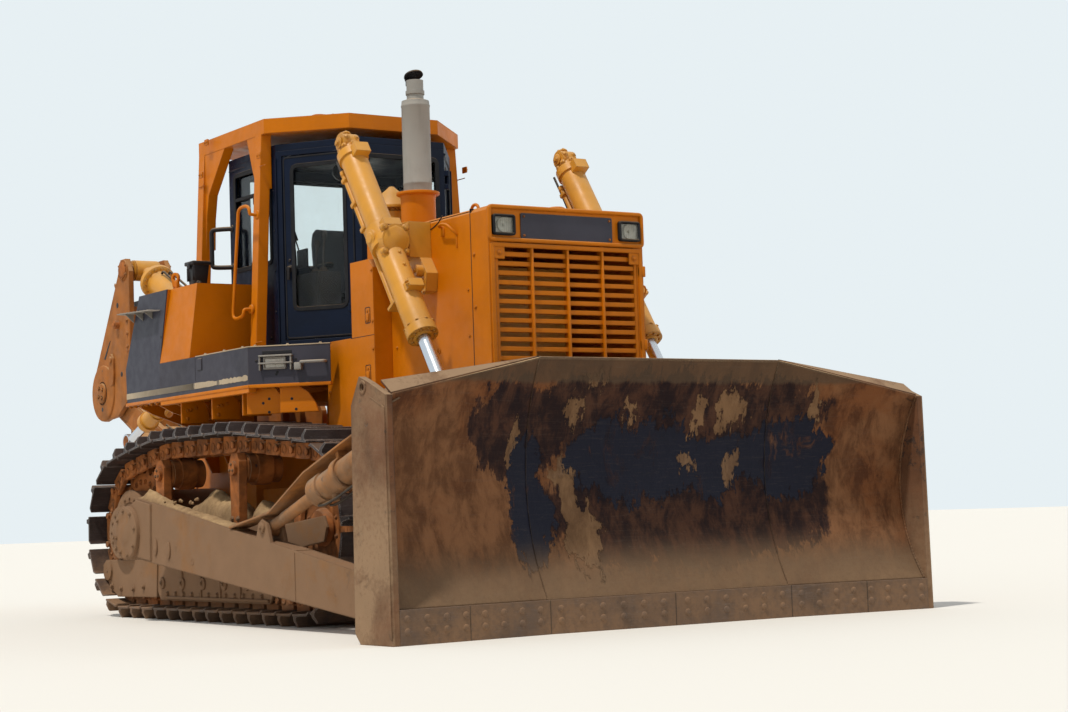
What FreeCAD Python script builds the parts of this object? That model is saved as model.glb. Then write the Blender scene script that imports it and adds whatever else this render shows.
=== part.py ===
import FreeCAD, Part
import math
import os
import re
from types import SimpleNamespace

from FreeCAD import Placement, Rotation, Vector
import Sketcher

# A crawler bulldozer with a straight-tilt blade and a single-shank ripper.
# X runs forward to the blade, Y to the machine's left, Z up from the ground.
# Every X below is counted from the sprocket axle. The finished pieces are
# then moved back by origin_ahead, so that the origin is under the machine's middle.

SIZES = {
    # overall
    "origin_ahead": 1141.5,
    # crawler chains: shoes on the ground at Z 0
    "track_gauge": 2140,
    "shoe_width": 560,
    "shoe_count": 41,
    "track_pitch": 228.6,
    "chain_radius": 495,
    "grouser_reach": 165,
    "shoe_reach": 93,
    "shoe_thick": 18,
    "grouser_thick": 22,
    "shoe_gap": 8,
    "rail_inner": 60,
    "rail_offset": 112,
    "rail_thick": 40,
    "carrier_lift": 110,
    "carrier_rear": 690,
    "carrier_front": 1990,
    "carrier_radius": 105,
    "roller_radius": 105,
    "roller_count": 6,
    "roller_first": 660,
    "roller_spacing": 362,
    "roller_width": 270,
    "tooth_count": 27,
    "tooth_depth": 48,
    "sprocket_thick": 84,
    "idler_width": 210,
    "idler_flange": 26,
    "seat_gap": 0.3,
    "pin_fit": 0.09,
    # track frames between the rollers and the idler
    "frame_rear": 560,
    "frame_front": 2520,
    "frame_half": 150,
    "frame_low": 400,
    "frame_high": 690,
    "guard_offset": 162,
    "guard_thick": 20,
    "guard_low": 140,
    "guard_tail": 490,
    "post_thick": 62,
    "post_wide": 160,
    # final drives
    "drive_case_radius": 330,
    "hub_radius": 325,
    "hub_reach": 250,
    # main frame, engine and hood
    "case_rear": -620,
    "case_front": 760,
    "case_half": 500,
    "case_low": 470,
    "case_high": 1380,
    "rail_half_gap": 330,
    "rail_wide": 110,
    "rail_low": 700,
    "rail_high": 960,
    "nose_x": 4396,
    "nose_depth": 208,
    "nose_half": 610,
    "nose_low": 900,
    "hood_rear": 2820,
    "hood_top": 2681,
    "hood_wall": 12,
    "hood_low": 1060,
    "bezel_low": 2460,
    "grille_half": 560,
    "grille_low": 1120,
    "slat_pitch": 61,
    "slat_high": 30,
    "lamp_wide": 160,
    "lamp_high": 145,
    "cowl_rear": 2300,
    "cowl_half": 340,
    "cowl_top": 2600,
    "sidebox_rear": 2449,
    "sidebox_front": 3135,
    "sidebox_half": 750,
    "sidebox_top": 1958,
    "sidedoor_top": 2480,
    "engine_rear": 2900,
    "engine_front": 3900,
    "engine_half": 345,
    "engine_high": 2350,
    # stack and pre-cleaner
    "stack_x": 2930,
    "stack_y": -250,
    "stack_radius": 100,
    "stack_low": 2990,
    "stack_high": 3750,
    "collar_radius": 125,
    "cleaner_x": 2610,
    "cleaner_y": -280,
    "cleaner_radius": 140,
    "cleaner_low": 2860,
    # cab
    "cab_rear": 940,
    "cab_front": 2296,
    "cab_half": 757,
    "cab_corner": 1730,
    "cab_front_half": 360,
    "cab_floor": 1990,
    "cab_roof": 3440,
    "cab_wall": 60,
    "window_low": 2680,
    "window_high": 3360,
    "door_low": 2030,
    "door_high": 3400,
    "door_gap": 6,
    "door_margin": 50,
    "door_frame": 70,
    "door_kick": 215,
    "seat_x": 1530,
    "seat_wide": 500,
    "seat_deep": 500,
    "seat_high": 300,
    "seat_thick": 130,
    "back_high": 570,
    "console_wide": 190,
    "console_long": 500,
    "console_high": 560,
    "glass_thick": 8,
    # rollover frame
    "roof_front": 2189,
    "roof_front_half": 378,
    "roof_side": 842,
    "roof_rear": 586,
    "roof_top": 3680,
    "beam_high": 110,
    "haunch_long": 460,
    "haunch_high": 320,
    "post_x": 100,
    "post_y": 80,
    "post_front": 1680,
    "post_splay": 84,
    "post_foot": 1950,
    # fenders and tanks
    "fender_half": 1258,
    "fender_rear": 30,
    "fender_front": 2220,
    "fender_top": 1937,
    "fender_low": 1650,
    "fender_wall": 10,
    "fender_inner": 510,
    "fender_nose": 2650,
    "tank_top": 2490,
    "tank_rear_low": 60,
    "tank_rear_high": 330,
    "tank_front": 700,
    "tank_side_front": 857,
    "oil_front": 1243,
    "oil_top_front": 1337,
    "oil_lean": 32,
    "oil_wide": 489,
    # blade
    "arm_pivot_x": 890,
    "arm_pivot_z": 657,
    "arm_outer": 1600,
    "arm_thick": 130,
    "arm_depth": 440,
    "arm_front": 250,
    "arm_end_x": 5054.5,
    "arm_end_z": 150,
    "tilt_low_x": 3080,
    "tilt_low_z": 668,
    "tilt_high_x": 5090,
    "tilt_high_z": 1300,
    "tilt_guard_wide": 150,
    "tilt_guard_thick": 14,
    "pivot_pin": 75,
    "pivot_cap": 200,
    "blade_half": 2030,
    "blade_flat_half": 915,
    "blade_top": 1615,
    "blade_end_top": 1390,
    "blade_face": 5395,
    "blade_end_face": 5500,
    "blade_hollow": 190,
    "blade_plate": 30,
    "blade_low": 200,
    "rib_thick": 24,
    "rib_deep": 150,
    "spill_deep": 112,
    "spill_rise": 76,
    "spill_thick": 14,
    "edge_thick": 32,
    "end_plate_rear": 5095,
    "end_plate_thick": 45,
    "end_plate_top": 1410,
    # blade lift cylinders
    "lift_y": 900,
    "lift_pivot_x": 3580,
    "lift_pivot_z": 2550,
    "lift_eye_x": 4810,
    "lift_eye_z": 700,
    "lift_above": 924,
    "lift_below": 827,
    "lift_radius": 92,
    "lift_rod": 45,
    "lift_rod_start": 250,
    "lift_eye_radius": 90,
    "lift_pipe": 19,
    "lift_boss": 102,
    "lift_eye_half": 50,
    "lift_neck": 160,
    "lift_bore_end": 30,
    # ripper
    "rip_pivot_x": -800,
    "rip_pivot_z": 950,
    "rip_beam_x": -2980,
    "rip_beam_z": 1950,
    "rip_top_x": -2470,
    "rip_top_z": 3050,
    "rip_plate_inner": 165,
    "rip_plate_thick": 45,
    "rip_arm_inner": 105,
    "rip_arm_thick": 50,
    "rip_arm_depth": 300,
    "rip_round": 265,
    "rip_pin": 60,
    "rip_pitch_radius": 115,
    "rip_lift_y": 420,
    "rip_lift_top_x": -450,
    "rip_lift_top_z": 2000,
    "rip_lift_eye_x": -1890,
    "rip_lift_eye_z": 1450,
    "rip_lift_radius": 75,
    "rip_eye_half": 80,
    "shank_x": -2610,
    "shank_wide": 300,
    "shank_half": 40,
    "shank_top": 2780,
    "shank_tip": 860,
    "tower_x": 30,
    "tower_z": 1620,
}

doc = FreeCAD.newDocument("Bulldozer")
sheet = doc.addObject("Spreadsheet::Sheet", "dim")
for row, (name, value) in enumerate(SIZES.items(), start=1):
    sheet.set("A" + str(row), name)
    sheet.set("B" + str(row), str(value))
    sheet.setAlias("B" + str(row), name)
doc.recompute()
dim = SimpleNamespace(**SIZES)

NODES = []


def formula(text):
    """Point each size named in a formula at its cell in the sheet."""
    def cell(word):
        return "dim." + word.group() if word.group() in SIZES else word.group()
    return re.sub(r"[a-z][a-z_0-9]*", cell, str(text))


def bind(thing, **formulas):
    for prop, text in formulas.items():
        thing.setExpression(prop.replace("__", "."), formula(text))
    return thing


def box(name, x, y, z):
    """A block between the two formulas given for each axis."""
    thing = doc.addObject("Part::Box", name)
    bind(thing, Length=f"({x[1]}) - ({x[0]})", Width=f"({y[1]}) - ({y[0]})", Height=f"({z[1]}) - ({z[0]})")
    bind(thing, Placement__Base__x=x[0], Placement__Base__y=y[0], Placement__Base__z=z[0])
    return thing


def rod(name, start, along, length, radius):
    """A round bar from a point, given by three formulas, along a direction."""
    thing = doc.addObject("Part::Cylinder", name)
    thing.Placement = Placement(Vector(), Rotation(Vector(0, 0, 1), Vector(*along)))
    bind(thing, Radius=radius, Height=length)
    bind(thing, Placement__Base__x=start[0], Placement__Base__y=start[1], Placement__Base__z=start[2])
    return thing


PLANE_OF = {"side": "XZ_Plane", "plan": "XY_Plane", "front": "YZ_Plane"}


def slab(name, view, corners, low, high):
    """A plate with a many-cornered outline, drawn in one view and padded across it."""
    body = doc.addObject("PartDesign::Body", name)
    plane = next(f for f in body.Origin.OriginFeatures if f.Role == PLANE_OF[view])
    sketch = body.newObject("Sketcher::SketchObject", name + "_outline")
    sketch.AttachmentSupport = [(plane, "")]
    sketch.MapMode = "FlatFace"
    count = len(corners)
    guess = [Vector(math.cos(2 * math.pi * i / count), math.sin(2 * math.pi * i / count), 0) * 100
             for i in range(count)]
    for i in range(count):
        sketch.addGeometry(Part.LineSegment(guess[i], guess[(i + 1) % count]), False)
    for i in range(count):
        sketch.addConstraint(Sketcher.Constraint("Coincident", i, 2, (i + 1) % count, 1))
    for i, corner in enumerate(corners):
        for kind, text in zip(("DistanceX", "DistanceY"), corner):
            number = sketch.addConstraint(Sketcher.Constraint(kind, -1, 1, i, 1, 1.0))
            sketch.setExpression(f"Constraints[{number}]", formula(text))
    across = f"-({high})" if view == "side" else low
    sketch.setExpression("AttachmentOffset.Base.z", formula(across))
    pad = body.newObject("PartDesign::Pad", name + "_pad")
    pad.Profile = sketch
    bind(pad, Length=f"({high}) - ({low})")
    return body


def fuse(name, *things):
    joined = doc.addObject("Part::MultiFuse", name)
    joined.Shapes = list(things)
    return joined


def cut(name, base, *tools):
    tool = tools[0] if len(tools) == 1 else fuse(name + "_tools", *tools)
    rest = doc.addObject("Part::Cut", name)
    rest.Base = base
    rest.Tool = tool
    return rest


def mirrored(thing):
    """The same piece on the machine's other side."""
    other = doc.addObject("Part::Mirroring", thing.Name + "_other_side")
    other.Source = thing
    other.Normal = Vector(0, 1, 0)
    return other


def group(name, *things):
    together = doc.addObject("Part::Compound", name)
    together.Links = list(things)
    return together


def solid(name, shape):
    """A piece whose shape is worked out below."""
    thing = doc.addObject("Part::Feature", name)
    thing.Shape = shape if shape.Placement.isIdentity() else Part.makeCompound([shape])
    return thing


def node(label, thing):
    """Name a finished piece and set it in the machine's frame."""
    doc.recompute()
    holder = thing
    if thing.TypeId in ("Part::Box", "Part::Cylinder", "Part::Cone"):
        holder = group(label + "_part", thing)
    holder.Label = label
    bind(holder, Placement__Base__x=f"-({'origin_ahead'})")
    NODES.append(holder)
    return holder


def pair(label, thing):
    doc.recompute()
    return node(label, group(label + "_pair", thing, mirrored(thing)))


def ring_points(centre, radius, start, end, steps):
    turn = (end - start) / steps
    return [centre + Vector(math.cos(start + turn * i), 0, math.sin(start + turn * i)) * radius
            for i in range(steps + 1)]


# Crawler chain: the pin line is a belt round the sprocket, two carrier rollers and the idler.
ground_pin = dim.grouser_reach
sprocket_z = ground_pin + dim.chain_radius
top_pin = sprocket_z + dim.chain_radius
carrier_wrap = dim.carrier_radius + dim.rail_inner
carrier_z = top_pin + dim.carrier_lift - carrier_wrap
chain_length = dim.shoe_count * dim.track_pitch


def tangent(first, second):
    """Where a belt leaves one pulley and meets the next, both turned the same way."""
    (start, r1), (end, r2) = first, second
    away = end - start
    lean = math.atan2(away.z, away.x)
    tilt = math.acos((r1 - r2) / away.Length)
    angle = lean - tilt
    out = Vector(math.cos(angle), 0, math.sin(angle))
    return start + out * r1, end + out * r2, angle


def belt(idler_x):
    """The pin line as arcs and runs: (kind, length, data) in order, forward along the ground."""
    pulleys = [(Vector(0, 0, sprocket_z), dim.chain_radius),
               (Vector(idler_x, 0, sprocket_z), dim.chain_radius),
               (Vector(dim.carrier_front, 0, carrier_z), carrier_wrap),
               (Vector(dim.carrier_rear, 0, carrier_z), carrier_wrap)]
    runs = [tangent(pulleys[i], pulleys[(i + 1) % 4]) for i in range(4)]
    path = []
    for i in range(4):
        leave, meet, angle = runs[i]
        path.append(("run", (meet - leave).Length, leave, meet))
        turn = (runs[(i + 1) % 4][2] - angle) % (2 * math.pi)
        centre, radius = pulleys[(i + 1) % 4]
        path.append(("arc", radius * turn, centre, radius, angle))
    return path


idler_x = (chain_length - 2 * math.pi * dim.chain_radius) / 2
for _ in range(6):
    idler_x += (chain_length - sum(piece[1] for piece in belt(idler_x))) / 2
PIN_LINE = belt(idler_x)


def pin_at(distance):
    """The point on the pin line this far along it."""
    distance %= chain_length
    for piece in PIN_LINE:
        if distance <= piece[1]:
            break
        distance -= piece[1]
    if piece[0] == "run":
        return piece[2] + (piece[3] - piece[2]) * (distance / piece[1])
    centre, radius, start = piece[2], piece[3], piece[4]
    angle = start + distance / radius
    return centre + Vector(math.cos(angle), 0, math.sin(angle)) * radius


def link_frames():
    """For each shoe: the middle of its two pins, the way along and the way outward."""
    pins = [pin_at(i * dim.track_pitch) for i in range(dim.shoe_count)]
    for i in range(dim.shoe_count):
        first, second = pins[i], pins[(i + 1) % dim.shoe_count]
        along = (second - first).normalize()
        outward = Vector(along.z, 0, -along.x)
        yield (first + second) / 2, along, outward


def extrude_side(points, low, high):
    """A closed outline in the XZ view, made solid between two Y places."""
    flat = [Vector(p.x, low, p.z) for p in points]
    return Part.Face(Part.makePolygon(flat + [flat[0]])).extrude(Vector(0, high - low, 0))


def track_chain(side):
    middle = side * dim.track_gauge / 2
    shoe_low = middle - dim.shoe_width / 2
    shoe_high = middle + dim.shoe_width / 2
    half = dim.track_pitch / 2
    inner = dim.shoe_reach - dim.shoe_thick
    lip = dim.shoe_gap / 2
    # along the chain, outward from the pin line
    shoe_outline = ((-half + lip, inner), (half - lip, inner), (half - lip, dim.shoe_reach),
                    (-half + 62, dim.shoe_reach), (-half + 52, dim.grouser_reach),
                    (-half + 52 - dim.grouser_thick, dim.grouser_reach), (-half + lip, dim.shoe_reach))
    outer_rail = []
    inner_rail = []
    shoes = []
    for centre, along, outward in link_frames():
        place = lambda t, n: centre + along * t + outward * n
        shoes.append(extrude_side([place(t, n) for t, n in shoe_outline], shoe_low, shoe_high))
        outer_rail += [place(-half + lip, inner), place(half - lip, inner)]
        inner_rail += [place(-half * 0.42, -dim.rail_inner), place(half * 0.42, -dim.rail_inner),
                       place(half, -dim.rail_inner * 0.72)]
    rails = []
    for offset in (-dim.rail_offset, dim.rail_offset):
        low = middle + offset - dim.rail_thick / 2
        high = low + dim.rail_thick
        ring = extrude_side(outer_rail, low, high).cut(extrude_side(inner_rail, low, high))
        rails.append(ring)
    return shoes[0].fuse(shoes[1:] + rails)


for side, name in ((-1, "right"), (1, "left")):
    node("track_" + name, solid("chain_" + name, track_chain(side)))


# Sprockets: a toothed rim between the chain's two rails.
root_radius = dim.chain_radius - 33
tip_radius = root_radius + dim.tooth_depth


def sprocket_shape():
    step = 2 * math.pi / dim.tooth_count
    points = []
    for i in range(dim.tooth_count):
        for share, radius in ((-0.30, root_radius), (-0.12, tip_radius), (0.12, tip_radius), (0.30, root_radius)):
            angle = (i + share) * step
            points.append(Vector(math.cos(angle) * radius, 0, math.sin(angle) * radius + sprocket_z))
    low = dim.track_gauge / 2 - dim.sprocket_thick / 2
    return extrude_side(points, low, low + dim.sprocket_thick)


hub_out = dim.track_gauge / 2 + dim.sprocket_thick / 2
sprocket_bore = rod("sprocket_bore", (0, "track_gauge / 2 - sprocket_thick", "grouser_reach + chain_radius"),
                    (0, 1, 0), "2 * sprocket_thick", "hub_radius + seat_gap")
toothed = cut("toothed_rim", solid("rim_blank", sprocket_shape()), sprocket_bore)
pair("sprockets", toothed)

# Final drives: a wide case on the frame side and a stepped hub through the sprocket.
axle = "grouser_reach + chain_radius"
drive = fuse("drive",
             rod("drive_case", (0, "case_half + seat_gap", axle), (0, 1, 0),
                 "track_gauge / 2 - sprocket_thick / 2 - 2 * seat_gap - case_half", "drive_case_radius"),
             rod("drive_hub", (0, "case_half + seat_gap", axle), (0, 1, 0),
                 "track_gauge / 2 + hub_reach * 0.62 - case_half - seat_gap", "hub_radius"),
             rod("drive_cover", (0, "case_half + seat_gap", axle), (0, 1, 0),
                 "track_gauge / 2 + hub_reach - case_half - seat_gap", "hub_radius * 0.62"))
pair("final_drives", drive)

# Idlers: a broad wheel with a middle flange that runs between the rails.
tread = math.sqrt(dim.chain_radius ** 2 - (dim.track_pitch / 2) ** 2) - dim.rail_inner - dim.seat_gap


def idler_shape():
    half = dim.idler_width / 2
    flange = tread + dim.idler_flange
    profile = [(0, -half - 40), (110, -half - 40), (110, -half + 30), (tread - 90, -half + 30), (tread - 90, -half),
               (tread, -half), (tread, -60), (flange, -50), (flange, 50), (tread, 60), (tread, half),
               (tread - 90, half), (tread - 90, half - 30), (110, half - 30), (110, half + 40), (0, half + 40)]
    points = [Vector(r, y, 0) for r, y in profile]
    wheel = Part.Face(Part.makePolygon(points + [points[0]])).revolve(Vector(), Vector(0, 1, 0), 360)
    reach = dim.guard_offset - dim.seat_gap
    shaft = Part.makeCylinder(60, 2 * reach, Vector(0, -reach, 0), Vector(0, 1, 0))
    wheel = wheel.fuse(shaft)
    wheel.translate(Vector(idler_x, dim.track_gauge / 2, sprocket_z))
    return wheel


pair("idlers", solid("idler_wheel", idler_shape()))

# Track rollers on the ground run and carrier rollers under the top run.
roller_z = ground_pin + dim.rail_inner + dim.seat_gap + dim.roller_radius


def roller(name, x, z, radius, half, flange):
    """A roller with two flanges outside the rails, which are where the treads run."""
    wheel = fuse(name,
                 rod(name + "_tread", (x, f"track_gauge / 2 - {half}", z), (0, 1, 0), f"2 * {half}", radius),
                 rod(name + "_flange", (x, "track_gauge / 2 - 60", z), (0, 1, 0), 120, f"{radius} + {flange}"),
                 rod(name + "_shaft", (x, "track_gauge / 2 - guard_offset + seat_gap", z), (0, 1, 0),
                     "2 * (guard_offset - seat_gap)", 34))
    return wheel


rollers = [roller(f"roller_{i}", f"roller_first + {i} * roller_spacing", roller_z, "roller_radius",
                  "roller_width / 2", 20) for i in range(dim.roller_count)]
roller_row = group("roller_row", *rollers)
pair("track_rollers", roller_row)

carriers = []
for name, place in (("rear", "carrier_rear"), ("front", "carrier_front")):
    wheel = roller("carrier_" + name, place, carrier_z - 7, "carrier_radius", "roller_width / 2", 16)
    out = "track_gauge / 2 + roller_width / 2 + 5"
    bracket = slab("carrier_post_" + name, "side",
                   [(f"{place} - post_wide * 0.4", "frame_high + seat_gap"), (f"{place} + post_wide * 0.4", "frame_high + seat_gap"),
                    (f"{place} + post_wide / 2", carrier_z + 40), (f"{place} + post_wide * 0.3", carrier_z + 100),
                    (f"{place} - post_wide * 0.3", carrier_z + 100), (f"{place} - post_wide / 2", carrier_z + 40)],
                   out, f"{out} + post_thick")
    foot = box("carrier_foot_" + name, (f"{place} - post_wide * 0.4", f"{place} + post_wide * 0.4"),
               ("track_gauge / 2", f"{out} + 1"), ("frame_high + seat_gap", "frame_high + 40"))
    cap = rod("carrier_cap_" + name, (place, f"{out} + post_thick - 1", carrier_z - 7), (0, 1, 0), 26, 52)
    carriers.append(fuse("carrier_set_" + name, wheel, bracket, foot, cap))
pair("carrier_rollers", group("carrier_row", *carriers))

# Track frames: a box beam, the idler's yoke and the guards that close in the rollers.
beam = slab("frame_beam", "side",
            [("frame_rear", "frame_low"), ("frame_front", "frame_low"), ("frame_front + 120", "frame_low + 90"),
             ("frame_front", "frame_high"), ("frame_rear + 120", "frame_high"), ("frame_rear", "frame_low + 120")],
            "track_gauge / 2 - frame_half", "track_gauge / 2 + frame_half")
clear_rollers = fuse("roller_room", *[
    rod(f"roller_room_{i}", (f"roller_first + {i} * roller_spacing", "track_gauge / 2 - frame_half - 10", roller_z),
        (0, 1, 0), "2 * frame_half + 20", "roller_radius + 35") for i in range(dim.roller_count)])
beam_cut = cut("frame_beam_cut", beam, clear_rollers)
guards = []
for name, inner in (("in", "track_gauge / 2 - guard_offset - guard_thick"), ("out", "track_gauge / 2 + guard_offset")):
    guards.append(slab("roller_guard_" + name, "side",
                       [("frame_rear - 40", "guard_low + 120"), ("frame_rear + 60", "guard_low"),
                        ("frame_front - 60", "guard_low"), ("frame_front + 40", "guard_low + 120"),
                        ("frame_front", "frame_high - 60"), ("frame_rear + 60", "frame_high - 60")],
                       inner, f"{inner} + guard_thick"))
    guards.append(slab("idler_yoke_" + name, "side",
                       [("frame_front - 200", "frame_low + 60"), (idler_x + 150, sprocket_z - 95),
                        (idler_x + 190, sprocket_z), (idler_x + 150, sprocket_z + 75),
                        ("frame_front - 200", "frame_high - 40")],
                       inner, f"{inner} + guard_thick"))
out = "track_gauge / 2 + guard_offset"
guards.append(slab("sprocket_guard", "side",
                   [("-guard_tail", "guard_low + 260"), ("-guard_tail + 140", "guard_low + 90"), (-190, "guard_low + 15"),
                    ("frame_rear", "guard_low + 20"), ("frame_rear + 40", "frame_high - 80"),
                    ("frame_rear - 100", "frame_high - 245"), ("-guard_tail + 70", "frame_low + 45")],
                   f"{out} - 4", f"{out} + guard_thick + 10"))
guards.append(rod("guard_nose", ("-guard_tail + 120", f"{out} - 4", "frame_low - 40"), (0, 1, 0), "guard_thick + 30", 78))
webs = [box(f"guard_web_{name}", (x0, f"{x0} + 60"),
            ("track_gauge / 2 - guard_offset - 1", "track_gauge / 2 + guard_offset + 1"),
            ("frame_low + 130", "frame_high - 70")) for name, x0 in (("rear", "frame_rear + 140"),
                                                                       ("front", "frame_front - 80"))]
trunnion = rod("arm_trunnion", ("arm_pivot_x", "track_gauge / 2 + guard_offset + 5", "arm_pivot_z"), (0, 1, 0),
               "arm_outer - arm_thick / 2 - track_gauge / 2 - guard_offset - 5", "pivot_pin")
socket = rod("trunnion_seat", ("arm_pivot_x", "track_gauge / 2 + frame_half - 5", "arm_pivot_z"), (0, 1, 0),
             "guard_offset - frame_half + guard_thick + 40", "pivot_pin + 60")
pair("track_frames", fuse("frame_set", beam_cut, *guards, *webs, trunnion, socket))

# Main frame: the rear case, two rails, a belly guard and the cross shaft that carries the track frames.
main_case = slab("rear_case", "side",
                 [("case_rear", "case_low + 120"), ("case_rear + 140", "case_low"), ("case_front", "case_low"),
                  ("case_front", "case_high"), ("case_rear + 120", "case_high"), ("case_rear", "case_high - 160")],
                 "-case_half", "case_half")
rails = [box(f"frame_rail_{name}", ("case_front - 10", "nose_x - nose_depth"), (low, high), ("rail_low", "rail_high"))
         for name, low, high in (("right", "-rail_half_gap - rail_wide", "-rail_half_gap"),
                                 ("left", "rail_half_gap", "rail_half_gap + rail_wide"))]
belly = slab("belly_guard", "side",
             [("case_front - 10", "case_low"), ("nose_x - 700", "case_low"), ("nose_x - nose_depth", "rail_low"),
              ("nose_x - nose_depth", "rail_low + 20"), ("nose_x - 710", "case_low + 20"),
              ("case_front - 10", "case_low + 20")],
             "-rail_half_gap - rail_wide", "rail_half_gap + rail_wide")
rail_skirts = [box(f"rail_skirt_{name}", ("case_front - 10", "nose_x - 720"), (low, high),
                   ("case_low + 10", "rail_low + 10"))
               for name, low, high in (("right", "-rail_half_gap - rail_wide", "-rail_half_gap - rail_wide + 20"),
                                       ("left", "rail_half_gap + rail_wide - 20", "rail_half_gap + rail_wide"))]
cross = [rod("pivot_shaft", (1240, "-track_gauge / 2 + guard_offset + guard_thick + seat_gap", 560), (0, 1, 0),
             "track_gauge - 2 * guard_offset - 2 * guard_thick - 2 * seat_gap", 75),
         box("equalizer", (2440, 2600), ("-track_gauge / 2 + guard_offset + guard_thick + seat_gap",
                                         "track_gauge / 2 - guard_offset - guard_thick - seat_gap"), (560, 720)),
         box("front_cross", ("nose_x - nose_depth - 300", "nose_x - nose_depth - 200"),
             ("-rail_half_gap - 1", "rail_half_gap + 1"), ("rail_low", "rail_high"))]
node("main_frame", fuse("main_frame_set", main_case, *rails, belly, *rail_skirts, *cross))

node("engine", box("engine_block", ("engine_rear", "engine_front"), ("-engine_half", "engine_half"),
                   ("rail_high + seat_gap", "engine_high")))

# Radiator guard: a box open at the back with the grille's window and the lamp bezel above it.
nose_outer = slab("nose_outer", "front",
                  [("-nose_half", "nose_low"), ("nose_half", "nose_low"), ("nose_half", "hood_top - 30"),
                   ("nose_half - 30", "hood_top"), ("-nose_half + 30", "hood_top"), ("-nose_half", "hood_top - 30")],
                  "nose_x - nose_depth", "nose_x")
nose_room = box("nose_room", ("nose_x - nose_depth - 1", "nose_x - 60"), ("-nose_half + 50", "nose_half - 50"),
                ("rail_high", "bezel_low - 20"))
nose_window = box("nose_window", ("nose_x - 70", "nose_x + 1"), ("-grille_half", "grille_half"),
                  ("grille_low", "bezel_low"))
node("radiator_guard", cut("nose", nose_outer, nose_room, nose_window))

slats = []
slat_count = int((dim.bezel_low - dim.grille_low) // dim.slat_pitch)
for i in range(slat_count):
    low = f"grille_low + {i} * slat_pitch + 15"
    slats.append(box(f"slat_{i}", ("nose_x - 44", "nose_x - 10"),
                     ("-grille_half + seat_gap", "grille_half - seat_gap"), (low, f"{low} + slat_high")))
for i in range(5):
    middle = f"({i} - 2) * grille_half / 2"
    low = f"{middle} - 7" if 0 < i < 4 else ("-grille_half + seat_gap" if i == 0 else "grille_half - seat_gap - 22")
    high = f"{middle} + 7" if 0 < i < 4 else ("-grille_half + seat_gap + 22" if i == 0 else "grille_half - seat_gap")
    slats.append(box(f"grille_bar_{i}", ("nose_x - 48", "nose_x - 4"), (low, high),
                     ("grille_low + seat_gap", "bezel_low - seat_gap")))
node("grille", fuse("grille_set", *slats))

lamps = []
lamp = box("lamp_box", ("nose_x + seat_gap", "nose_x + 24"), ("nose_half - 25 - lamp_wide", "nose_half - 25"),
           ("bezel_low + 35", "bezel_low + 35 + lamp_high"))
pair("headlamps", lamp)

# Hood: a thin cover over the engine, with a narrower cowl in front of the cab.
hood_outer = slab("hood_outer", "front",
                  [("-nose_half", "hood_low"), ("nose_half", "hood_low"), ("nose_half", "hood_top - 30"),
                   ("nose_half - 30", "hood_top"), ("-nose_half + 30", "hood_top"), ("-nose_half", "hood_top - 30")],
                  "hood_rear", "nose_x - nose_depth - seat_gap")
hood_room = box("hood_room", ("hood_rear + hood_wall", "nose_x - nose_depth + 1"),
                ("-nose_half + hood_wall", "nose_half - hood_wall"), ("hood_low - 1", "hood_top - hood_wall"))
node("hood", cut("hood_shell", hood_outer, hood_room))
cowl = slab("cowl_block", "side",
            [("cowl_rear + cab_wall", "cab_floor + 300"), ("hood_rear - seat_gap", "cab_floor - 300"),
             ("hood_rear - seat_gap", "cowl_top"), ("cowl_rear + 60", "cowl_top")],
            "-cowl_half", "cowl_half")
node("dash_cowl", cowl)
side_box = slab("side_box", "side",
                [("sidebox_rear", "hood_low"), ("sidebox_front", "hood_low"), ("sidebox_front", "sidedoor_top - 60"),
                 ("sidebox_front - 60", "sidedoor_top"), ("hood_rear", "sidedoor_top"), ("hood_rear", "sidebox_top"),
                 ("sidebox_rear", "sidebox_top")],
                "nose_half + seat_gap", "sidebox_half")
pair("side_boxes", side_box)

# Stack, its collar on the hood and the rain cap, and the pre-cleaner.
collar = fuse("collar_set",
              rod("collar", ("stack_x", "stack_y", "hood_top + seat_gap"), (0, 0, 1),
                  "stack_low - hood_top - seat_gap", "collar_radius"),
              rod("collar_flange", ("stack_x", "stack_y", "stack_low - 30"), (0, 0, 1), 30, "collar_radius + 28"))
node("stack_collar", collar)
stack = fuse("stack_set",
             rod("stack_body", ("stack_x", "stack_y", "stack_low + seat_gap"), (0, 0, 1),
                 "stack_high - stack_low - seat_gap - 60", "stack_radius"),
             rod("stack_neck", ("stack_x", "stack_y", "stack_high - 61"), (0, 0, 1), 100, "stack_radius * 0.62"))
node("muffler", stack)
cap = doc.addObject("Part::Cylinder", "rain_cap_disc")
bind(cap, Radius="stack_radius * 0.78", Height=14)
cap.Placement = Placement(Vector(), Rotation(Vector(0, 1, 0), -30))
bind(cap, Placement__Base__x="stack_x - 10", Placement__Base__y="stack_y", Placement__Base__z="stack_high + 90")
cap_arm = box("cap_arm", ("stack_x - stack_radius * 0.62 - 24", "stack_x - stack_radius * 0.62 - seat_gap"),
              ("stack_y - 20", "stack_y + 20"), ("stack_high - 20", "stack_high + 60"))
node("rain_cap", fuse("rain_cap_set", cap, cap_arm))
cleaner_cone = doc.addObject("Part::Cone", "cleaner_cone")
bind(cleaner_cone, Radius1="cleaner_radius", Radius2="cleaner_radius * 0.25", Height="cleaner_radius * 0.7")
bind(cleaner_cone, Placement__Base__x="cleaner_x", Placement__Base__y="cleaner_y",
     Placement__Base__z="cleaner_low + 120")
node("pre_cleaner", fuse("cleaner_set",
                         rod("cleaner_pipe", ("cleaner_x", "cleaner_y + 40", "cowl_top + seat_gap"), (0, 0, 1),
                             "cleaner_low - cowl_top", 60),
                         rod("cleaner_bowl", ("cleaner_x", "cleaner_y", "cleaner_low"), (0, 0, 1), 121,
                             "cleaner_radius"), cleaner_cone))

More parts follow.
